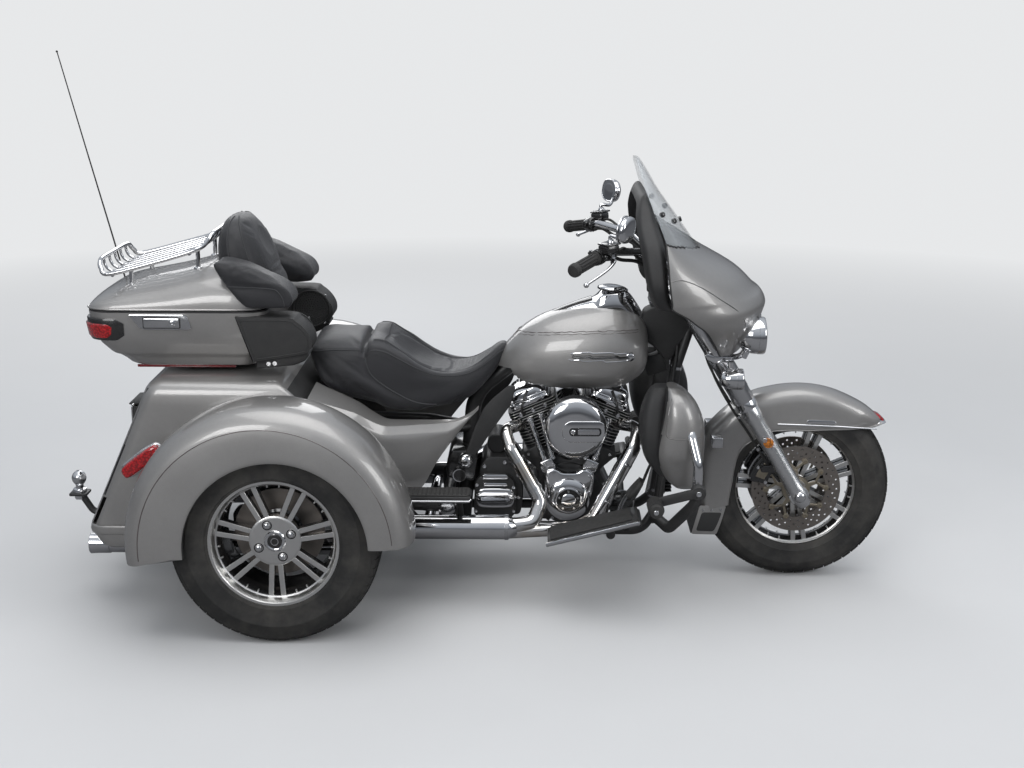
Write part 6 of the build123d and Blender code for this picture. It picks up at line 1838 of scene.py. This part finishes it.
primaryOutline = [(905 + 98 * cos(a), 316 + 98 * sin(a)) for a in (radians(d) for d in range(-85, 86, 10))] \
    + [(640 + 90 * cos(a), 310 + 90 * sin(a)) for a in (radians(d) for d in range(90, 271, 10))]
primary = slab(primaryOutline, 108, 188, "y", soft=10, segments=3)
primaryStep = slab([(660 + 0.80 * (x - 772) + 112, 312 + 0.80 * (z - 312)) for x, z in primaryOutline], 186, 194, "y",
                   soft=3)
derby = turned([(0, 0), (66, 0), (66, 5), (62, 9), (48, 11), (0, 12)], (660, 193, 310), (0, 1, 0), 56)
timer = turned([(0, 0), (46, 0), (46, 4), (42, 8), (0, 9)], (905, 193, 316), (0, 1, 0), 48)
primaryBolts = screws([(x * 0.97 + 23, 188, 312 + (z - 312) * 0.93) for x, z in primaryOutline[::4]], (0, 1, 0), 5.5)
derbyBolts = screws([(660 + 54 * cos(a), 203, 310 + 54 * sin(a)) for a in (2 * pi * k / 6 for k in range(6))],
                    (0, 1, 0), 5)
piece("primaryCover", "chassis",
      {m(chrome): primary + primaryStep + derby + timer, m(chromeSatin): primaryBolts + derbyBolts},
      ["primary_cover"], 35)
hornCover = turned([(0, 34), (30, 33), (50, 27), (60, 17), (63, 6), (60, 0), (0, 0)], (905, 0, 0), (0, 1, 0), 48)
hornBox = Form([(p.x, p.y + 122, p.z + 563) for p in hornCover.points], hornCover.faces)
hornStay = rod((905, 88, 563), (905, 124, 563), 16, 20) + rod((800, 96, 563), (1010, 96, 563), 8, 14)
piece("hornCover", "chassis", {m(chrome): hornBox, m(engineBlack): hornStay}, ["horn"], 40)
print("engine made")


# Exhaust
def clampBand(at, aim, radius):
    # A hose clamp with its screw.
    band = turned([(radius, -6), (radius + 1.6, -6), (radius + 1.6, 6), (radius, 6)], at, aim, 32, closed=True)
    place = toward(at, aim)
    screw = rod((radius + 4, -9, 0), (radius + 4, 9, 0), 4, 12).moved(place)
    return band + screw


rearWay = bentPath([(752, -60, 548), (690, -150, 548), (712, -196, 500), (812, -232, 330), (786, -266, 268),
                    (735, -285, 266), (640, -285, 266)], 44, 8)
frontWay = bentPath([(1060, -60, 548), (1134, -130, 556), (1112, -193, 500), (985, -232, 268), (930, -250, 244),
                     (850, -258, 240), (700, -285, 240)], 52, 8)
pipes = tube(rearWay, 21, 28) + tube(frontWay, 21, 28)
shieldRear = tube(rearWay[12:], 24.5, 32)
shieldFront = tube(frontWay[12:-2], 24.5, 32)
bands = [clampBand(Vector((735, -206, 462)), (0.5, -0.18, -0.83), 24.5),
         clampBand(Vector((790, -224, 370)), (0.5, -0.18, -0.83), 24.5),
         clampBand(Vector((1085, -201, 452)), (-0.47, -0.15, -0.86), 24.5),
         clampBand(Vector((1020, -221, 332)), (-0.47, -0.15, -0.86), 24.5)]
piece("exhaustPipes", "chassis", {m(pipeChrome): pipes + shieldRear + shieldFront, m(chromeSatin): joined(bands)},
      ["exhaust_pipes"], 50)
mufflerForms = []
for side, front in ((-1, 734), (1, 560)):
    y = side * 285
    mufflerForms.append(turned([(0, front), (24, front), (28, front - 4), (38, front - 26), (40, front - 34),
                                (40, 372), (36, 356), (33, 350), (0, 350)], (0, y, 258), (1, 0, 0), 56))
    tail = bentPath([(356, y, 258), (300, y, 258), (190, side * 260, 180), (-330, side * 250, 180),
                     (-640, side * 250, 180)], 120, 8)
    mufflerForms.append(tube(tail, 30, 32))
    mufflerForms.append(turned([(28, -610), (32.5, -612), (33, -650), (34.5, -676), (33, -678), (31, -676),
                                (29, -640), (0, -640)], (0, side * 250, 180), (1, 0, 0), 48))
bridge = tube([(440, -262, 250), (440, 262, 250)], 18, 24)
# Black discs set inside the muffler tips: painted shade of the open pipe ends.
tipBoreShade = joined([turned([(0, -642), (29, -642), (29, -641), (0, -641)], (0, side * 250, 180), (1, 0, 0), 32)
                  for side in (-1, 1)])
mufflerBands = joined([clampBand(Vector((x, -285, 258)), (1, 0, 0), 40) for x in (700, 392)])
piece("mufflerPair", "chassis",
      {m(chrome): joined(mufflerForms) + bridge, m(chromeSatin): mufflerBands, m(engineBlack): tipBoreShade}, ["mufflers"],
      40)

# Black panels over the frame beside the tank's tail
framePanel = slab([(560, 466), (596, 466), (650, 552), (712, 640), (728, 704), (704, 704), (652, 660), (622, 626),
                   (590, 556)], -168, -156, "y", corner=14, soft=4)
piece("framePanels", "chassis", {m(plastic): framePanel.both()}, angle=40)
print("exhaust made")

# Fork with its brakes
forkLean = radians(31)
forkAim = Vector((-sin(forkLean), 0, cos(forkLean)))


def onFork(along, y=0.0, ahead=0.0):
    # A place beside the fork's line, measured up it from the axle.
    return Vector((1674, y, 320)) + forkAim * along + Vector((cos(forkLean), 0, sin(forkLean))) * ahead


slider = turned([(0, -46), (14, -46), (24, -42), (30, -30), (32, -8), (32, 18), (30, 34), (28.5, 60), (28.5, 290),
                 (30, 304), (31.5, 316), (31.5, 344), (30, 350), (27, 352), (0, 352)], (1674, -120, 320), forkAim, 40)
dustCap = turned([(27, 348), (34, 349), (35, 353), (35, 372), (33, 378), (27, 378)], (1674, -120, 320), forkAim, 40,
                 closed=True)
coverTube = turned([(0, 376), (33, 376), (35.5, 380), (35.5, 820), (32, 826), (0, 826)], (1674, -120, 320), forkAim,
                   40)
lug = turned([(0, 74), (26, 74), (30, 79), (30, 134), (27, 140), (0, 140)], (1674, 0, 320), toRight, 40)
pinch = slab([(-34, -16), (30, -16), (34, 0), (30, 20), (-34, 20)], -140, -100, "y", corner=9, soft=4).moved(
    Matrix.Translation((1674, 0, 320)) @ Matrix.Rotation(-forkLean, 4, "Y"))
axleCap = turned([(0, 20), (8, 19.4), (15, 16), (19, 10), (20, 4), (20, 0), (0, 0)], (1674, -140, 320), toRight, 40)
axleRod = rod((1674, -139, 320), (1674, 139, 320), 12.5, 28)
reflectorRound = turned([(0, 0), (17, 0), (17, 3), (14, 5), (0, 6)], onFork(220, -149, 0), toRight, 28)
topCaps = turned([(0, 824), (34, 824), (36, 829), (34, 836), (20, 842), (0, 843)], (1674, -120, 320), forkAim, 40)


rake = radians(26)


def steerX(z):
    # The steering axis at a height.
    return 1774 - z * tan(rake)


def clampForm(z):
    back, front = steerX(z) - 30, 1674 - (z - 320) * tan(forkLean) + 32
    back, front = min(back, front - 60), max(back + 60, front)
    plan = [(back + 10, -58), (front - 30, -158), (front, -150), (front + 4, -90), (front - 8, 0), (front + 4, 90),
            (front, 150), (front - 30, 158), (back + 10, 58), (back - 4, 0)]
    form = slab(plan, -13, 13, "z", corner=18, soft=3)
    middle = (back + front) / 2
    return form.moved(Matrix.Translation((middle, 0, z)) @ Matrix.Rotation(-rake, 4, "Y")
                      @ Matrix.Translation((-middle, 0, 0)))


clamps = clampForm(800) + clampForm(992)
stemRod = rod((steerX(822), 0, 822), (steerX(990), 0, 990), 15.9, 32)
stemNut = turned([(0, 0), (21, 0), (21, 9), (17, 14), (12, 17), (0, 17)], (steerX(1000), 0, 1004),
                 (-sin(rake), 0, cos(rake)), 6)
legLine = tube(smoothPath([onFork(60, -88, -34), onFork(130, -96, -40), onFork(260, -92, -42), onFork(360, -88, -48),
                           onFork(480, -84, -46), onFork(560, -60, -30)], 8), 4.2, 10)
linePins = joined([turned([(4, -6), (7, -5), (7, 5), (4, 6)], onFork(s, -94, -41.5), forkAim, 16, closed=True)
                   for s in (200, 330)])
fenderBolt = screws([(onFork(195, -151, 6)), (onFork(235, -151, -6))], radius=8, high=6)
forkSide = {m(forkAlloy): slider + lug + pinch, m(chrome): dustCap + axleCap + topCaps + fenderBolt,
            m(chromeSatin): coverTube + linePins, m(rubber): legLine, m(amberLens): reflectorRound}
forkParts = {k: f.both() for k, f in forkSide.items()}
forkParts[m(engineBlack)] = clamps + stemRod
forkParts[m(chrome)] = forkParts[m(chrome)] + stemNut
forkParts[m(chromeSatin)] = forkParts[m(chromeSatin)] + axleRod
piece("forkLegs", "steering", forkParts, ["fork"], 40)


def arcSlab(inner, outer, start, stop, low, high, soft):
    # A block bent round the front axle.
    steps = 12
    ring = [(outer * sin(a), outer * cos(a))
            for a in (radians(start + (stop - start) * k / steps) for k in range(steps + 1))]
    ring += [(inner * sin(a), inner * cos(a))
             for a in (radians(stop - (stop - start) * k / steps) for k in range(steps + 1))]
    return slab([(1674 + a, 320 + b) for a, b in ring], low, high, "y", soft=soft)


caliperOut = arcSlab(104, 162, -78, -38, -84, -68, soft=5)
caliperIn = arcSlab(104, 160, -77, -39, -48, -34, soft=4)
caliperBridge = arcSlab(153, 170, -74, -42, -84, -34, soft=4)
caliperEar = slab([(-30, -10), (26, -12), (30, 12), (-26, 14)], -108, -80, "y", corner=8, soft=3).moved(
    Matrix.Translation((1674 - 128 * sin(radians(50)), 0, 320 + 128 * cos(radians(50)))))
caliperInset = arcSlab(118, 150, -70, -46, -86.5, -83, soft=1.2)
caliperBolts = screws([(1674 - r * sin(radians(b)), -85, 320 + r * cos(radians(b)))
                       for r, b in ((112, 74), (112, 42), (158, 58))], radius=6.5, high=5)
piece("frontBrakes", "steering",
      {m(glossBlack): (caliperOut + caliperIn + caliperBridge + caliperEar).both(), m(bronze): caliperInset.both(),
       m(chromeSatin): caliperBolts.both()}, ["front_calipers"], 40)

# Handlebar, grips, levers and mirrors
barHalf = [(1248, 0, 1038), (1238, -105, 1050), (1120, -190, 1150), (1010, -300, 1168), (912, -442, 1137)]
barWay = bentPath([(x, -y, z) for x, y, z in barHalf[:0:-1]] + barHalf, 66, 8)
risers = joined([turned([(0, 0), (15, 0), (15, 52), (20, 58), (20, 76), (0, 80)], (1262, side * 60, 975),
                        (-0.25, 0, 1), 28) for side in (-1, 1)])
barClamp = box((1243, 0, 1050), (44, 164, 30), (0, -20, 0), soft=6)
barClampBolts = screws([(1236, y, 1066) for y in (-74, -46, 46, 74)], (-0.3, 0, 1), 6, 6)
ignition = turned([(0, 0), (26, 0), (26, 18), (22, 24), (12, 26), (12, 30), (0, 30)], (1190, 0, 1000),
                  (-0.5, 0, 0.86), 32)
piece("handlebarTube", "steering",
      {m(chrome): tube(barWay, 12.7, 20) + barClampBolts, m(engineBlack): risers + barClamp + ignition},
      ["handlebar"], 50)

gripA, gripB = Vector((1010, -300, 1168)), Vector((912, -442, 1137))
gripAim = (gripB - gripA).normalized()


def onGrip(share, up=0.0, ahead=0.0):
    side = gripAim.cross(Vector((0, 0, 1))).normalized()
    if side.x < 0:
        side = -side
    return gripA.lerp(gripB, share) + Vector((0, 0, up)) + side * ahead


gripCore = turned([(0, 0), (22, 0), (22.5, 3), (22.5, 8), (18, 10), (17, 14), (17, 104), (18, 108), (22, 110),
                   (22, 118), (20, 122), (0, 122)], onGrip(0.36), gripAim, 36)
gripRib = slab([(-2.6, 14), (2.6, 14), (2.6, 104), (-2.6, 104)], 15.5, 19.6, "y", soft=1.2, segments=1)
ribPlaces = [(onGrip(0.36), gripAim, out) for _, _, out in ringPlaces((0, 0, 0), gripAim, 1, 12)]
gripRibs = repeated(Form([(p.y, p.x, p.z) for p in gripRib.points], [f[::-1] for f in gripRib.faces]), ribPlaces,
                    finish=m(rubber))
gripCore = (gripCore
            + turned([(0, 122), (20, 121), (21, 124), (18, 129), (10, 131), (0, 131)], onGrip(0.36), gripAim, 36))
switchBox = turned([(0, 0), (21, 0), (25, 4), (26, 14), (26, 30), (24, 36), (0, 36)], onGrip(0.14), gripAim, 32)
switchFace = box(onGrip(0.24, 2, -24), (16, 30, 26), (0, 10, 34), soft=5)
buttons = [box(onGrip(0.24 + s, u, -33), (5, 8, 7), (0, 10, 34), soft=1.5)
           for s, u in ((-0.04, 8), (0.04, 8), (0.0, -3))]
switchScrews = screws([onGrip(0.20, -24, 0), onGrip(0.28, -24, 0)], (0, 0, -1), 3.2, 3)
reservoir = box(onGrip(0.24, 26, 34), (46, 52, 26), (0, -6, 34), soft=6)
reservoirLid = box(onGrip(0.24, 41.5, 35), (50, 56, 6), (0, -6, 34), soft=2.4)
lidScrews = screws([onGrip(0.24 + s, 45, 35 + a) for s in (-0.11, 0.11) for a in (-13, 13)], (0.1, 0, 1), 3, 2.5)
perch = slab([(-12, -14), (26, -14), (40, -4), (40, 10), (26, 16), (-12, 16)], -10, 10, "z", corner=7, soft=4).moved(
    Matrix.Translation(onGrip(0.24, -2, 24)) @ Matrix.Rotation(radians(34), 4, "Z"))
leverWay = smoothPath([onGrip(0.26, -2, 52), onGrip(0.40, -4, 70), onGrip(0.62, -12, 74), onGrip(0.86, -22, 66),
                       onGrip(1.04, -30, 56), onGrip(1.14, -33, 54)], 6)
leverBlade = (tube(leverWay, [10 - 3.0 * min(1, k / 12) for k in range(len(leverWay))], 14, 0.62)
              + ball(leverWay[-1], 8.5, (1, 1, 1), 18))
leverPin = turned([(0, -14), (8, -14), (8, 14), (5, 16), (0, 16)], onGrip(0.26, -2, 52), (0, 0, 1), 20)
controlLine = tube(smoothPath([onGrip(0.14, 14, 20), onGrip(0.0, 10, 44), (1070, -246, 1170), (1120, -200, 1130),
                               (1164, -170, 1100), (1200, -120, 1060)], 8), 4.4, 10)
wireLoom = tube(smoothPath([onGrip(0.12, -16, -4), onGrip(-0.1, -20, 6), (1060, -246, 1134), (1110, -206, 1122),
                            (1160, -178, 1090)], 8), 6, 10)
controls = {m(rubber): gripCore + gripRibs + controlLine + wireLoom,
            m(chrome): leverBlade + leverPin + switchScrews + lidScrews,
            m(glossBlack): switchBox + switchFace + reservoir + reservoirLid + perch, m(plastic): joined(buttons)}
piece("handControls", "steering", {k: f.both() for k, f in controls.items()}, ["hand_controls"], 40)

mirrorOutline = [(-52, -20), (-30, -36), (6, -40), (36, -32), (52, -8), (50, 16), (32, 34), (0, 40), (-34, 34),
                 (-52, 14)]
mirrorBack = pillow(mirrorOutline, -14, 14, power=2.6, steps=14, edge=0.55)
mirrorRim = tube([Vector((a * 0.95, 12.0, b * 0.95)) for a, b in curved(mirrorOutline, 4)]
                 + [Vector((mirrorOutline[0][0] * 0.95, 12.0, mirrorOutline[0][1] * 0.95))], 3, 8)
glass = slab(curved([(a * 0.90, b * 0.90) for a, b in mirrorOutline], 4), 11.5, 13.6, "y", soft=0)
mirrorPlace = (Matrix.Translation((1062, -470, 1262)) @ Matrix.Rotation(radians(66), 4, "Z")
               @ Matrix.Rotation(radians(6), 4, "X"))
mirrorStem = tube(smoothPath([onGrip(0.24, 46, 40), onGrip(0.25, 66, 42), (1048, -380, 1222), (1062, -428, 1234),
                              (1068, -462, 1244)], 6), 6, 14)
stemFoot = turned([(0, 0), (11, 0), (11, 8), (8, 14), (0, 14)], onGrip(0.24, 42, 40), (0.05, 0, 1), 20)
mirrorParts = {m(chrome): (mirrorBack + mirrorRim).moved(mirrorPlace) + mirrorStem + stemFoot,
               m(mirrorGlass): glass.moved(mirrorPlace)}
piece("mirrorPair", "steering", {k: f.both() for k, f in mirrorParts.items()}, ["mirrors"], 45)
print("fork and bars made")

# Leg shields, guard, pegs, boards and pedals
shieldRows = [  # z, rear x, front x, inner y, outer y
    (403, 1240, 1318, -192, -318), (412, 1232, 1324, -188, -338), (440, 1206, 1328, -180, -362),
    (484, 1182, 1331, -172, -385), (530, 1170, 1333, -167, -402), (575, 1173, 1333, -168, -408),
    (620, 1184, 1329, -182, -409), (665, 1193, 1314, -212, -402), (700, 1199, 1294, -238, -388),
    (728, 1204, 1266, -248, -364), (742, 1208, 1240, -254, -340)]


def shieldRing(z, rear, front, inner, outer, power=3.0):
    ring = []
    mx, my = (rear + front) / 2, (inner + outer) / 2
    for k in range(56):
        a = 2 * pi * k / 56
        p = power if cos(a) < 0 or sin(a) > 0 else 2.1
        x = mx + (front - rear) / 2 * abs(cos(a)) ** (2 / p) * (1 if cos(a) >= 0 else -1)
        y = my - (inner - outer) / 2 * abs(sin(a)) ** (2 / p) * (-1 if sin(a) >= 0 else 1)
        ring.append(Vector((x, y, z)))
    return ring


shield = loops([shieldRing(*row) for row in between(shieldRows, 5)])
shieldBlack, shieldPaint = parted(shield, lambda p: p.y > -250 or p.x < min(1199, 1170 + abs(p.z - 545) * 0.16) + 10)
innerShield = loops([shieldRing(z, rear, front, inner, outer, 4.0)
                     for z, rear, front, inner, outer in between(
                         [(446, 1190, 1236, -196, -330), (500, 1146, 1216, -180, -356), (560, 1128, 1212, -174, -368),
                          (620, 1126, 1214, -186, -366), (680, 1136, 1216, -220, -352), (720, 1152, 1218, -240, -332),
                          (738, 1170, 1216, -252, -312)], 5)])
# The glove-box door seam, drawn as a thin tube in the darker pewter: painted shade in the seam.
doorGroove = tube(smoothPath([(1216, -384, 722), (1207, -401, 680), (1200, -408, 632), (1202, -410, 606),
                              (1222, -413.5, 598), (1262, -413.5, 598), (1306, -398, 600)], 6), 1.3, 6)
piece("legShields", "chassis",
      {m(paint): shieldPaint.both(), m(plastic): (shieldBlack + innerShield).both(), m(grooveShadePaint): doorGroove.both()},
      ["leg_shields"], 45)

guardPoints = [(1192, -98, 236), (1226, -300, 262), (1300, -432, 400), (1300, -432, 520), (1272, -388, 636),
               (1254, -120, 612), (1254, 0, 612)]
guardWay = bentPath(guardPoints, 84, 10)
lowGuard = [p for p in guardWay if p.z < 468]
guardEnds = joined([ball(p, 18.4, (1, 1, 0.5), 18) for p in (lowGuard[-1],)])
piece("engineGuard", "chassis",
      {m(chrome): tube(guardWay, 16, 24).both(), m(plastic): (tube(lowGuard, 18.2, 24) + guardEnds).both()},
      ["engine_guard"], 50)

pegArm = slab([(1294, 452), (1306, 440), (1300, 426), (1176, 394), (1160, 396), (1152, 408), (1164, 420),
               (1284, 452)], -474, -456, "y", corner=8, soft=3)
pegClamp = turned([(0, 0), (24, 0), (24, 20), (20, 24), (0, 24)], (1300, -449, 440), toRight, 32)
pegCore = turned([(0, 0), (20, 0), (22, 3), (22, 84), (19, 90), (0, 91)], (1164, -456, 404), (0.02, -1, 0), 32)
pegRibs = joined([turned([(21, a), (25, a + 1), (25, a + 5), (21, a + 6)], (1164, -456, 404), (0.02, -1, 0), 32,
                         closed=True) for a in range(8, 78, 10)])
pegBolt = screws([(1300, -474, 440)], radius=9, high=7) + screws([(1164, -547.5, 404)], radius=8, high=4)
piece("highwayPegs", "chassis",
      {m(plastic): (pegArm + pegClamp).both(), m(rubber): (pegCore + pegRibs).both(), m(chrome): pegBolt.both()},
      ["highway_pegs"], 45)

boardPlate = slab([(834, 248), (1108, 322), (1128, 316), (1132, 324), (1112, 336), (832, 260)], -428, -294, "y",
                  corner=3, soft=2.5)
boardPad = slab([(842, 262), (1098, 330), (1100, 338), (842, 270)], -418, -302, "y", soft=3)
boardEdge = tube([(828, -429, 252), (960, -431, 286), (1106, -430, 324), (1122, -426, 326)], 6.5, 12, 1.5)
half = 130
boardStays = joined([rod((1100, -half - 4, 199), (1096, -306, 312), 9, 16),
                     rod((1010, -half - 4, 199), (1010, -314, 296), 9, 16)])
boardRoll = tube([(1116, -424, 330), (1116, -298, 330)], 7, 14)
boards = {m(engineBlack): boardPlate + boardStays, m(rubber): boardPad + boardRoll, m(chrome): boardEdge}
piece("riderBoards", "chassis", {k: f.both() for k, f in boards.items()}, ["floorboards"], 40)

passenger = slab([(372, 384), (384, 372), (574, 372), (590, 386), (584, 394), (374, 394)], -386, -292, "y", corner=5,
                 soft=4)
passengerPad = slab([(382, -380), (576, -380), (584, -372), (584, -306), (576, -298), (382, -298), (374, -306),
                     (374, -372)], 393, 399, "z", corner=6, soft=2.4)
passengerRibs = joined([tube([(x, -372, 399.4), (x, -306, 399.4)], 2, 8) for x in range(390, 574, 14)])
passengerEdge = tube(bentPath([(372, -388, 388), (376, -389.5, 381), (582, -389.5, 381), (590, -388, 388)], 8), 3.4,
                     10)
passengerArm = rod((546, -304, 384), (546, -half - 4, 203), 10, 20) + box((520, -300, 372), (70, 24, 18), soft=4)
boardsTwo = {m(engineBlack): passenger + passengerArm, m(rubber): passengerPad + passengerRibs,
             m(chromeSatin): passengerEdge}
piece("passengerBoards", "chassis", {k: f.both() for k, f in boardsTwo.items()}, ["passenger_boards"],
      40)

pedalPad = pillow([(-30, -30), (30, -30), (34, 0), (30, 32), (-30, 32), (-34, 0)], -8, 8, "z", 3.0, 8, 3, 0.3).moved(
    Matrix.Translation((1114, -292, 396)) @ Matrix.Rotation(radians(-50), 4, "Y"))
pedalRibs = joined([tube([(1114 + k * 6 - 3, -316, 396 + 7 + k * 7.6), (1114 + k * 6 - 3, -268, 396 + 7 + k * 7.6)],
                         2, 8) for k in (-3, -2, -1, 0, 1, 2, 3)])
pedalArm = tube(smoothPath([(1036, -262, 226), (1056, -262, 286), (1080, -264, 344), (1104, -282, 388)], 6), 9.5, 14,
                0.55)
pedalPivot = (rod((1040, -half - 4, 200), (1040, -276, 230), 9, 16)
              + turned([(0, 0), (15, 0), (15, 6), (10, 9), (0, 9)], (1040, -270, 230), toRight, 24))
shiftArm = tube(smoothPath([(1128, 262, 372), (1084, 262, 300), (1040, 262, 230), (960, 268, 262), (888, 270, 326)],
                           8), 8, 14, 0.55)
shiftToe = rod((1128, 262, 372), (1128, 342, 372), 11, 20) + rod((888, 270, 326), (888, 342, 326), 11, 20)
shiftPivot = rod((1040, half + 4, 200), (1040, 276, 230), 9, 16)
piece("footControls", "chassis",
      {m(chromeSatin): pedalArm + shiftArm, m(engineBlack): pedalPivot + shiftPivot,
       m(rubber): pedalPad + pedalRibs + shiftToe}, ["foot_controls"], 45)

# Rear turn lamps and the hitch
lampTurn = Matrix.Translation((-430, -470, 538)) @ Matrix.Rotation(radians(-37), 4, "Y")
rearLens = pillow([(-74, -6), (-60, -20), (20, -21), (66, -16), (74, 0), (66, 16), (20, 21), (-60, 18)], -12, 18,
                  power=2.8, steps=12, smooth=3, edge=0.5)
lensRight = Form([(p.x, -p.y - 3, p.z) for p in rearLens.points], [f[::-1] for f in rearLens.faces]).moved(lampTurn)
lensCase = slab([(-80, -6), (-64, -26), (24, -27), (72, -20), (82, 0), (72, 20), (24, 27), (-64, 24)], 0, 14, "y",
                corner=10, soft=4).moved(lampTurn)
lensStalk = rod((-432, -460, 537), (-432, -395.4, 537), 15, 24)
piece("rearSignals", "chassis",
      {m(redLens): lensRight.both(), m(chromeSatin): lensCase.both(), m(plastic): lensStalk.both()}, ["rear_signals"],
      45)

hitchBall = turned([(0, 349), (9, 349), (11, 347.5), (18, 342), (23, 334), (25, 324), (23, 314), (18, 306), (14, 301),
                    (13, 296), (13, 288), (22, 286), (24, 280), (24, 276), (0, 276)], (-785, 0, 0), (0, 0, 1), 40)
hitchNut = turned([(0, 250), (20, 250), (20, 264), (0, 264)], (-785, 0, 0), (0, 0, 1), 6)
drawBar = tube(bentPath([(-640, 0, 200), (-742, 0, 200), (-778, 0, 262), (-800, 0, 268)], 36), 12, 18, 0.75)
ballSeat = box((-785, 0, 270), (62, 58, 11), soft=4)
receiver = box((-500, 0, 200.3), (400, 40, 30.5), soft=3)
receiverLip = box((-694, 0, 200), (16, 50, 40), soft=3)
crossTube = rod((-560, 0, 200), (-660, 0, 200), 14, 24)
pin = (rod((-664, -34, 200), (-664, 34, 200), 6, 16)
       + tube(bentPath([(-664, 34, 200), (-664, 44, 200), (-664, 44, 186)], 6), 5, 10))
safetyHoops = tube(bentPath([(-690, -22, 194), (-700, -46, 186), (-690, -64, 190), (-672, -58, 196)], 12), 4.5,
                   12).both()
piece("hitchParts", "chassis",
      {m(chrome): hitchBall + hitchNut + pin,
       m(engineBlack): receiver + receiverLip + crossTube + drawBar + ballSeat + safetyHoops}, ["hitch"],
      40)
print("controls and boards made")

# Frame, wiring and the rear axle
neckWay = [Vector((steerX(835), 0, 835)), Vector((steerX(965), 0, 965))]
neckAim = (neckWay[1] - neckWay[0]).normalized()
neckLong = (neckWay[1] - neckWay[0]).length
neck = turned([(16.5, 0), (32, 0), (34, 2), (34, 13), (32, 17), (32, neckLong - 17), (34, neckLong - 13),
               (34, neckLong - 2), (32, neckLong), (16.5, neckLong)], neckWay[0], neckAim, 40, closed=True)
backbone = tube(bentPath([(steerX(905) - 4, 0, 905), (800, 0, 808), (585, 0, 636), (545, 0, 195)], 160, 10), 26, 24)
downWay = bentPath([(steerX(900) - 22, -20, 900), (1262, -36, 740), (1205, -80, 260), (1150, -130, 195),
                    (420, -130, 195), (300, -130, 330), (72, -130, 422)], 70, 8)
upperWay = bentPath([(566, -16, 520), (430, -100, 520), (72, -148, 520)], 60, 6)
gusset = slab([(1150, 850), (1262, 868), (1262, 800), (1240, 770)], -6, 6, "y", corner=8, soft=2)
swingPlate = slab([(470, 195), (534, 195), (538, 330), (500, 344), (466, 330)], -136, -124, "y", corner=12, soft=2)
lowCross = joined([rod((x, -130, 195), (x, 130, 195), 14, 20) for x in (1100, 545)])
clips = joined([turned([(16.5, -5), (18, -5), (18, 5), (16.5, 5)], p, q, 20, closed=True)
                for p, q in ((downWay[k], downWay[k + 1] - downWay[k]) for k in (9, 12, 16))])
loom = tube(smoothPath([(1262, -40, 812), (1258, -52, 770), (1250, -60, 720), (1240, -72, 600), (1228, -90, 440),
                        (1208, -104, 300)], 8), 5, 10)
loomTwo = tube(smoothPath([(1262, 26, 868), (1220, 40, 856), (1120, 50, 838), (980, 52, 822), (860, 50, 800)], 8), 7,
               10)
brakeHose = tube(smoothPath([(1250, -60, 196), (1236, -100, 214), (1150, -112, 214), (900, -112, 214),
                             (600, -112, 214), (420, -118, 214)], 8), 3.6, 8)
regulator = (joined([slab([(1232, 300 + 12 * k), (1256, 302 + 12 * k), (1256, 306 + 12 * k), (1232, 304 + 12 * k)],
                          -46, 46, "y", soft=1) for k in range(6)]) + box((1228, 0, 332), (12, 96, 74), soft=3))
coilBox = box((1190, 0, 742), (70, 56, 64), (0, -20, 0), soft=6)
neckCover = slab([(1128, 838), (1150, 926), (1214, 954), (1280, 946), (1304, 900), (1306, 870), (1262, 806),
                  (1248, 766), (1218, 768), (1178, 812)], -40, 40, "y", corner=14, soft=7)
keyHousing = turned([(0, 0), (24, 0), (26, 3), (26, 30), (22, 36), (14, 38), (0, 38)], (1196, 0, 944), (-0.3, 0, 1),
                    32)
piece("frameTubes", "chassis",
      {m(engineBlack): neck + backbone + (tube(downWay, 16, 20) + tube(upperWay, 14, 18) + swingPlate).both() + gusset
       + lowCross, m(plastic): loom + loomTwo + brakeHose + coilBox + neckCover,
       m(chromeSatin): clips.both() + keyHousing, m(glossBlack): regulator}, ["frame"], 40)

axleHalf = turned([(0, 0), (60, 0), (62, 6), (62, 66), (58, 76), (44, 84), (38, 92), (36, 104), (36, 430), (40, 436),
                   (58, 438), (60, 442), (60, 450), (57, 451.5), (20, 451.5), (20, 548), (18, 550), (0, 550)],
                  (0, 0, 324), toRight, 40)
driveRibs = joined([turned([(60, y), (66, y + 1), (66, y + 5), (60, y + 6)], (0, 0, 324), toRight, 40, closed=True)
                    for y in (14, 34, 54)])
flangeBolts = screws([(50 * cos(a), -438, 324 + 50 * sin(a)) for a in (2 * pi * k / 6 for k in range(6))], (0, 1, 0),
                     6, 5)
swingArm = tube([(10, -190, 324), (250, -190, 312), (500, -190, 300)], [24, 22, 24], 24, 0.85)
swingCap = turned([(0, 0), (30, 0), (32, 4), (32, 10), (28, 14), (14, 16), (0, 16)], (500, -196, 300), toRight, 32)
swingBar = rod((500, -200, 300), (500, 0, 300), 18, 24)
padBody = slab([(-160, 290), (-138, 284), (-78, 290), (-70, 320), (-72, 362), (-92, 374), (-146, 372), (-164, 350)],
               -427, -396, "y", corner=10, soft=4)
padRib = slab([(-152, 304), (-90, 304), (-86, 356), (-148, 356)], -429, -424, "y", corner=8, soft=2)
axleBracket = slab([(-100, 306), (-6, 300), (-6, 346), (-100, 342)], -419, -404, "y", corner=8, soft=2)
padHose = tube(smoothPath([(-110, -396, 372), (-96, -360, 392), (-60, -300, 388), (-40, -200, 372), (-20, -100, 372)],
                          6), 4.4, 10)
axleSide = {m(engineBlack): axleHalf + driveRibs + swingArm + swingBar + axleBracket, m(glossBlack): padBody + padRib,
            m(chromeSatin): flangeBolts + swingCap, m(rubber): padHose}
piece("rearAxle", "chassis", {k: f.both() for k, f in axleSide.items()}, ["rear_axle"], 40)
print("frame and axle made")
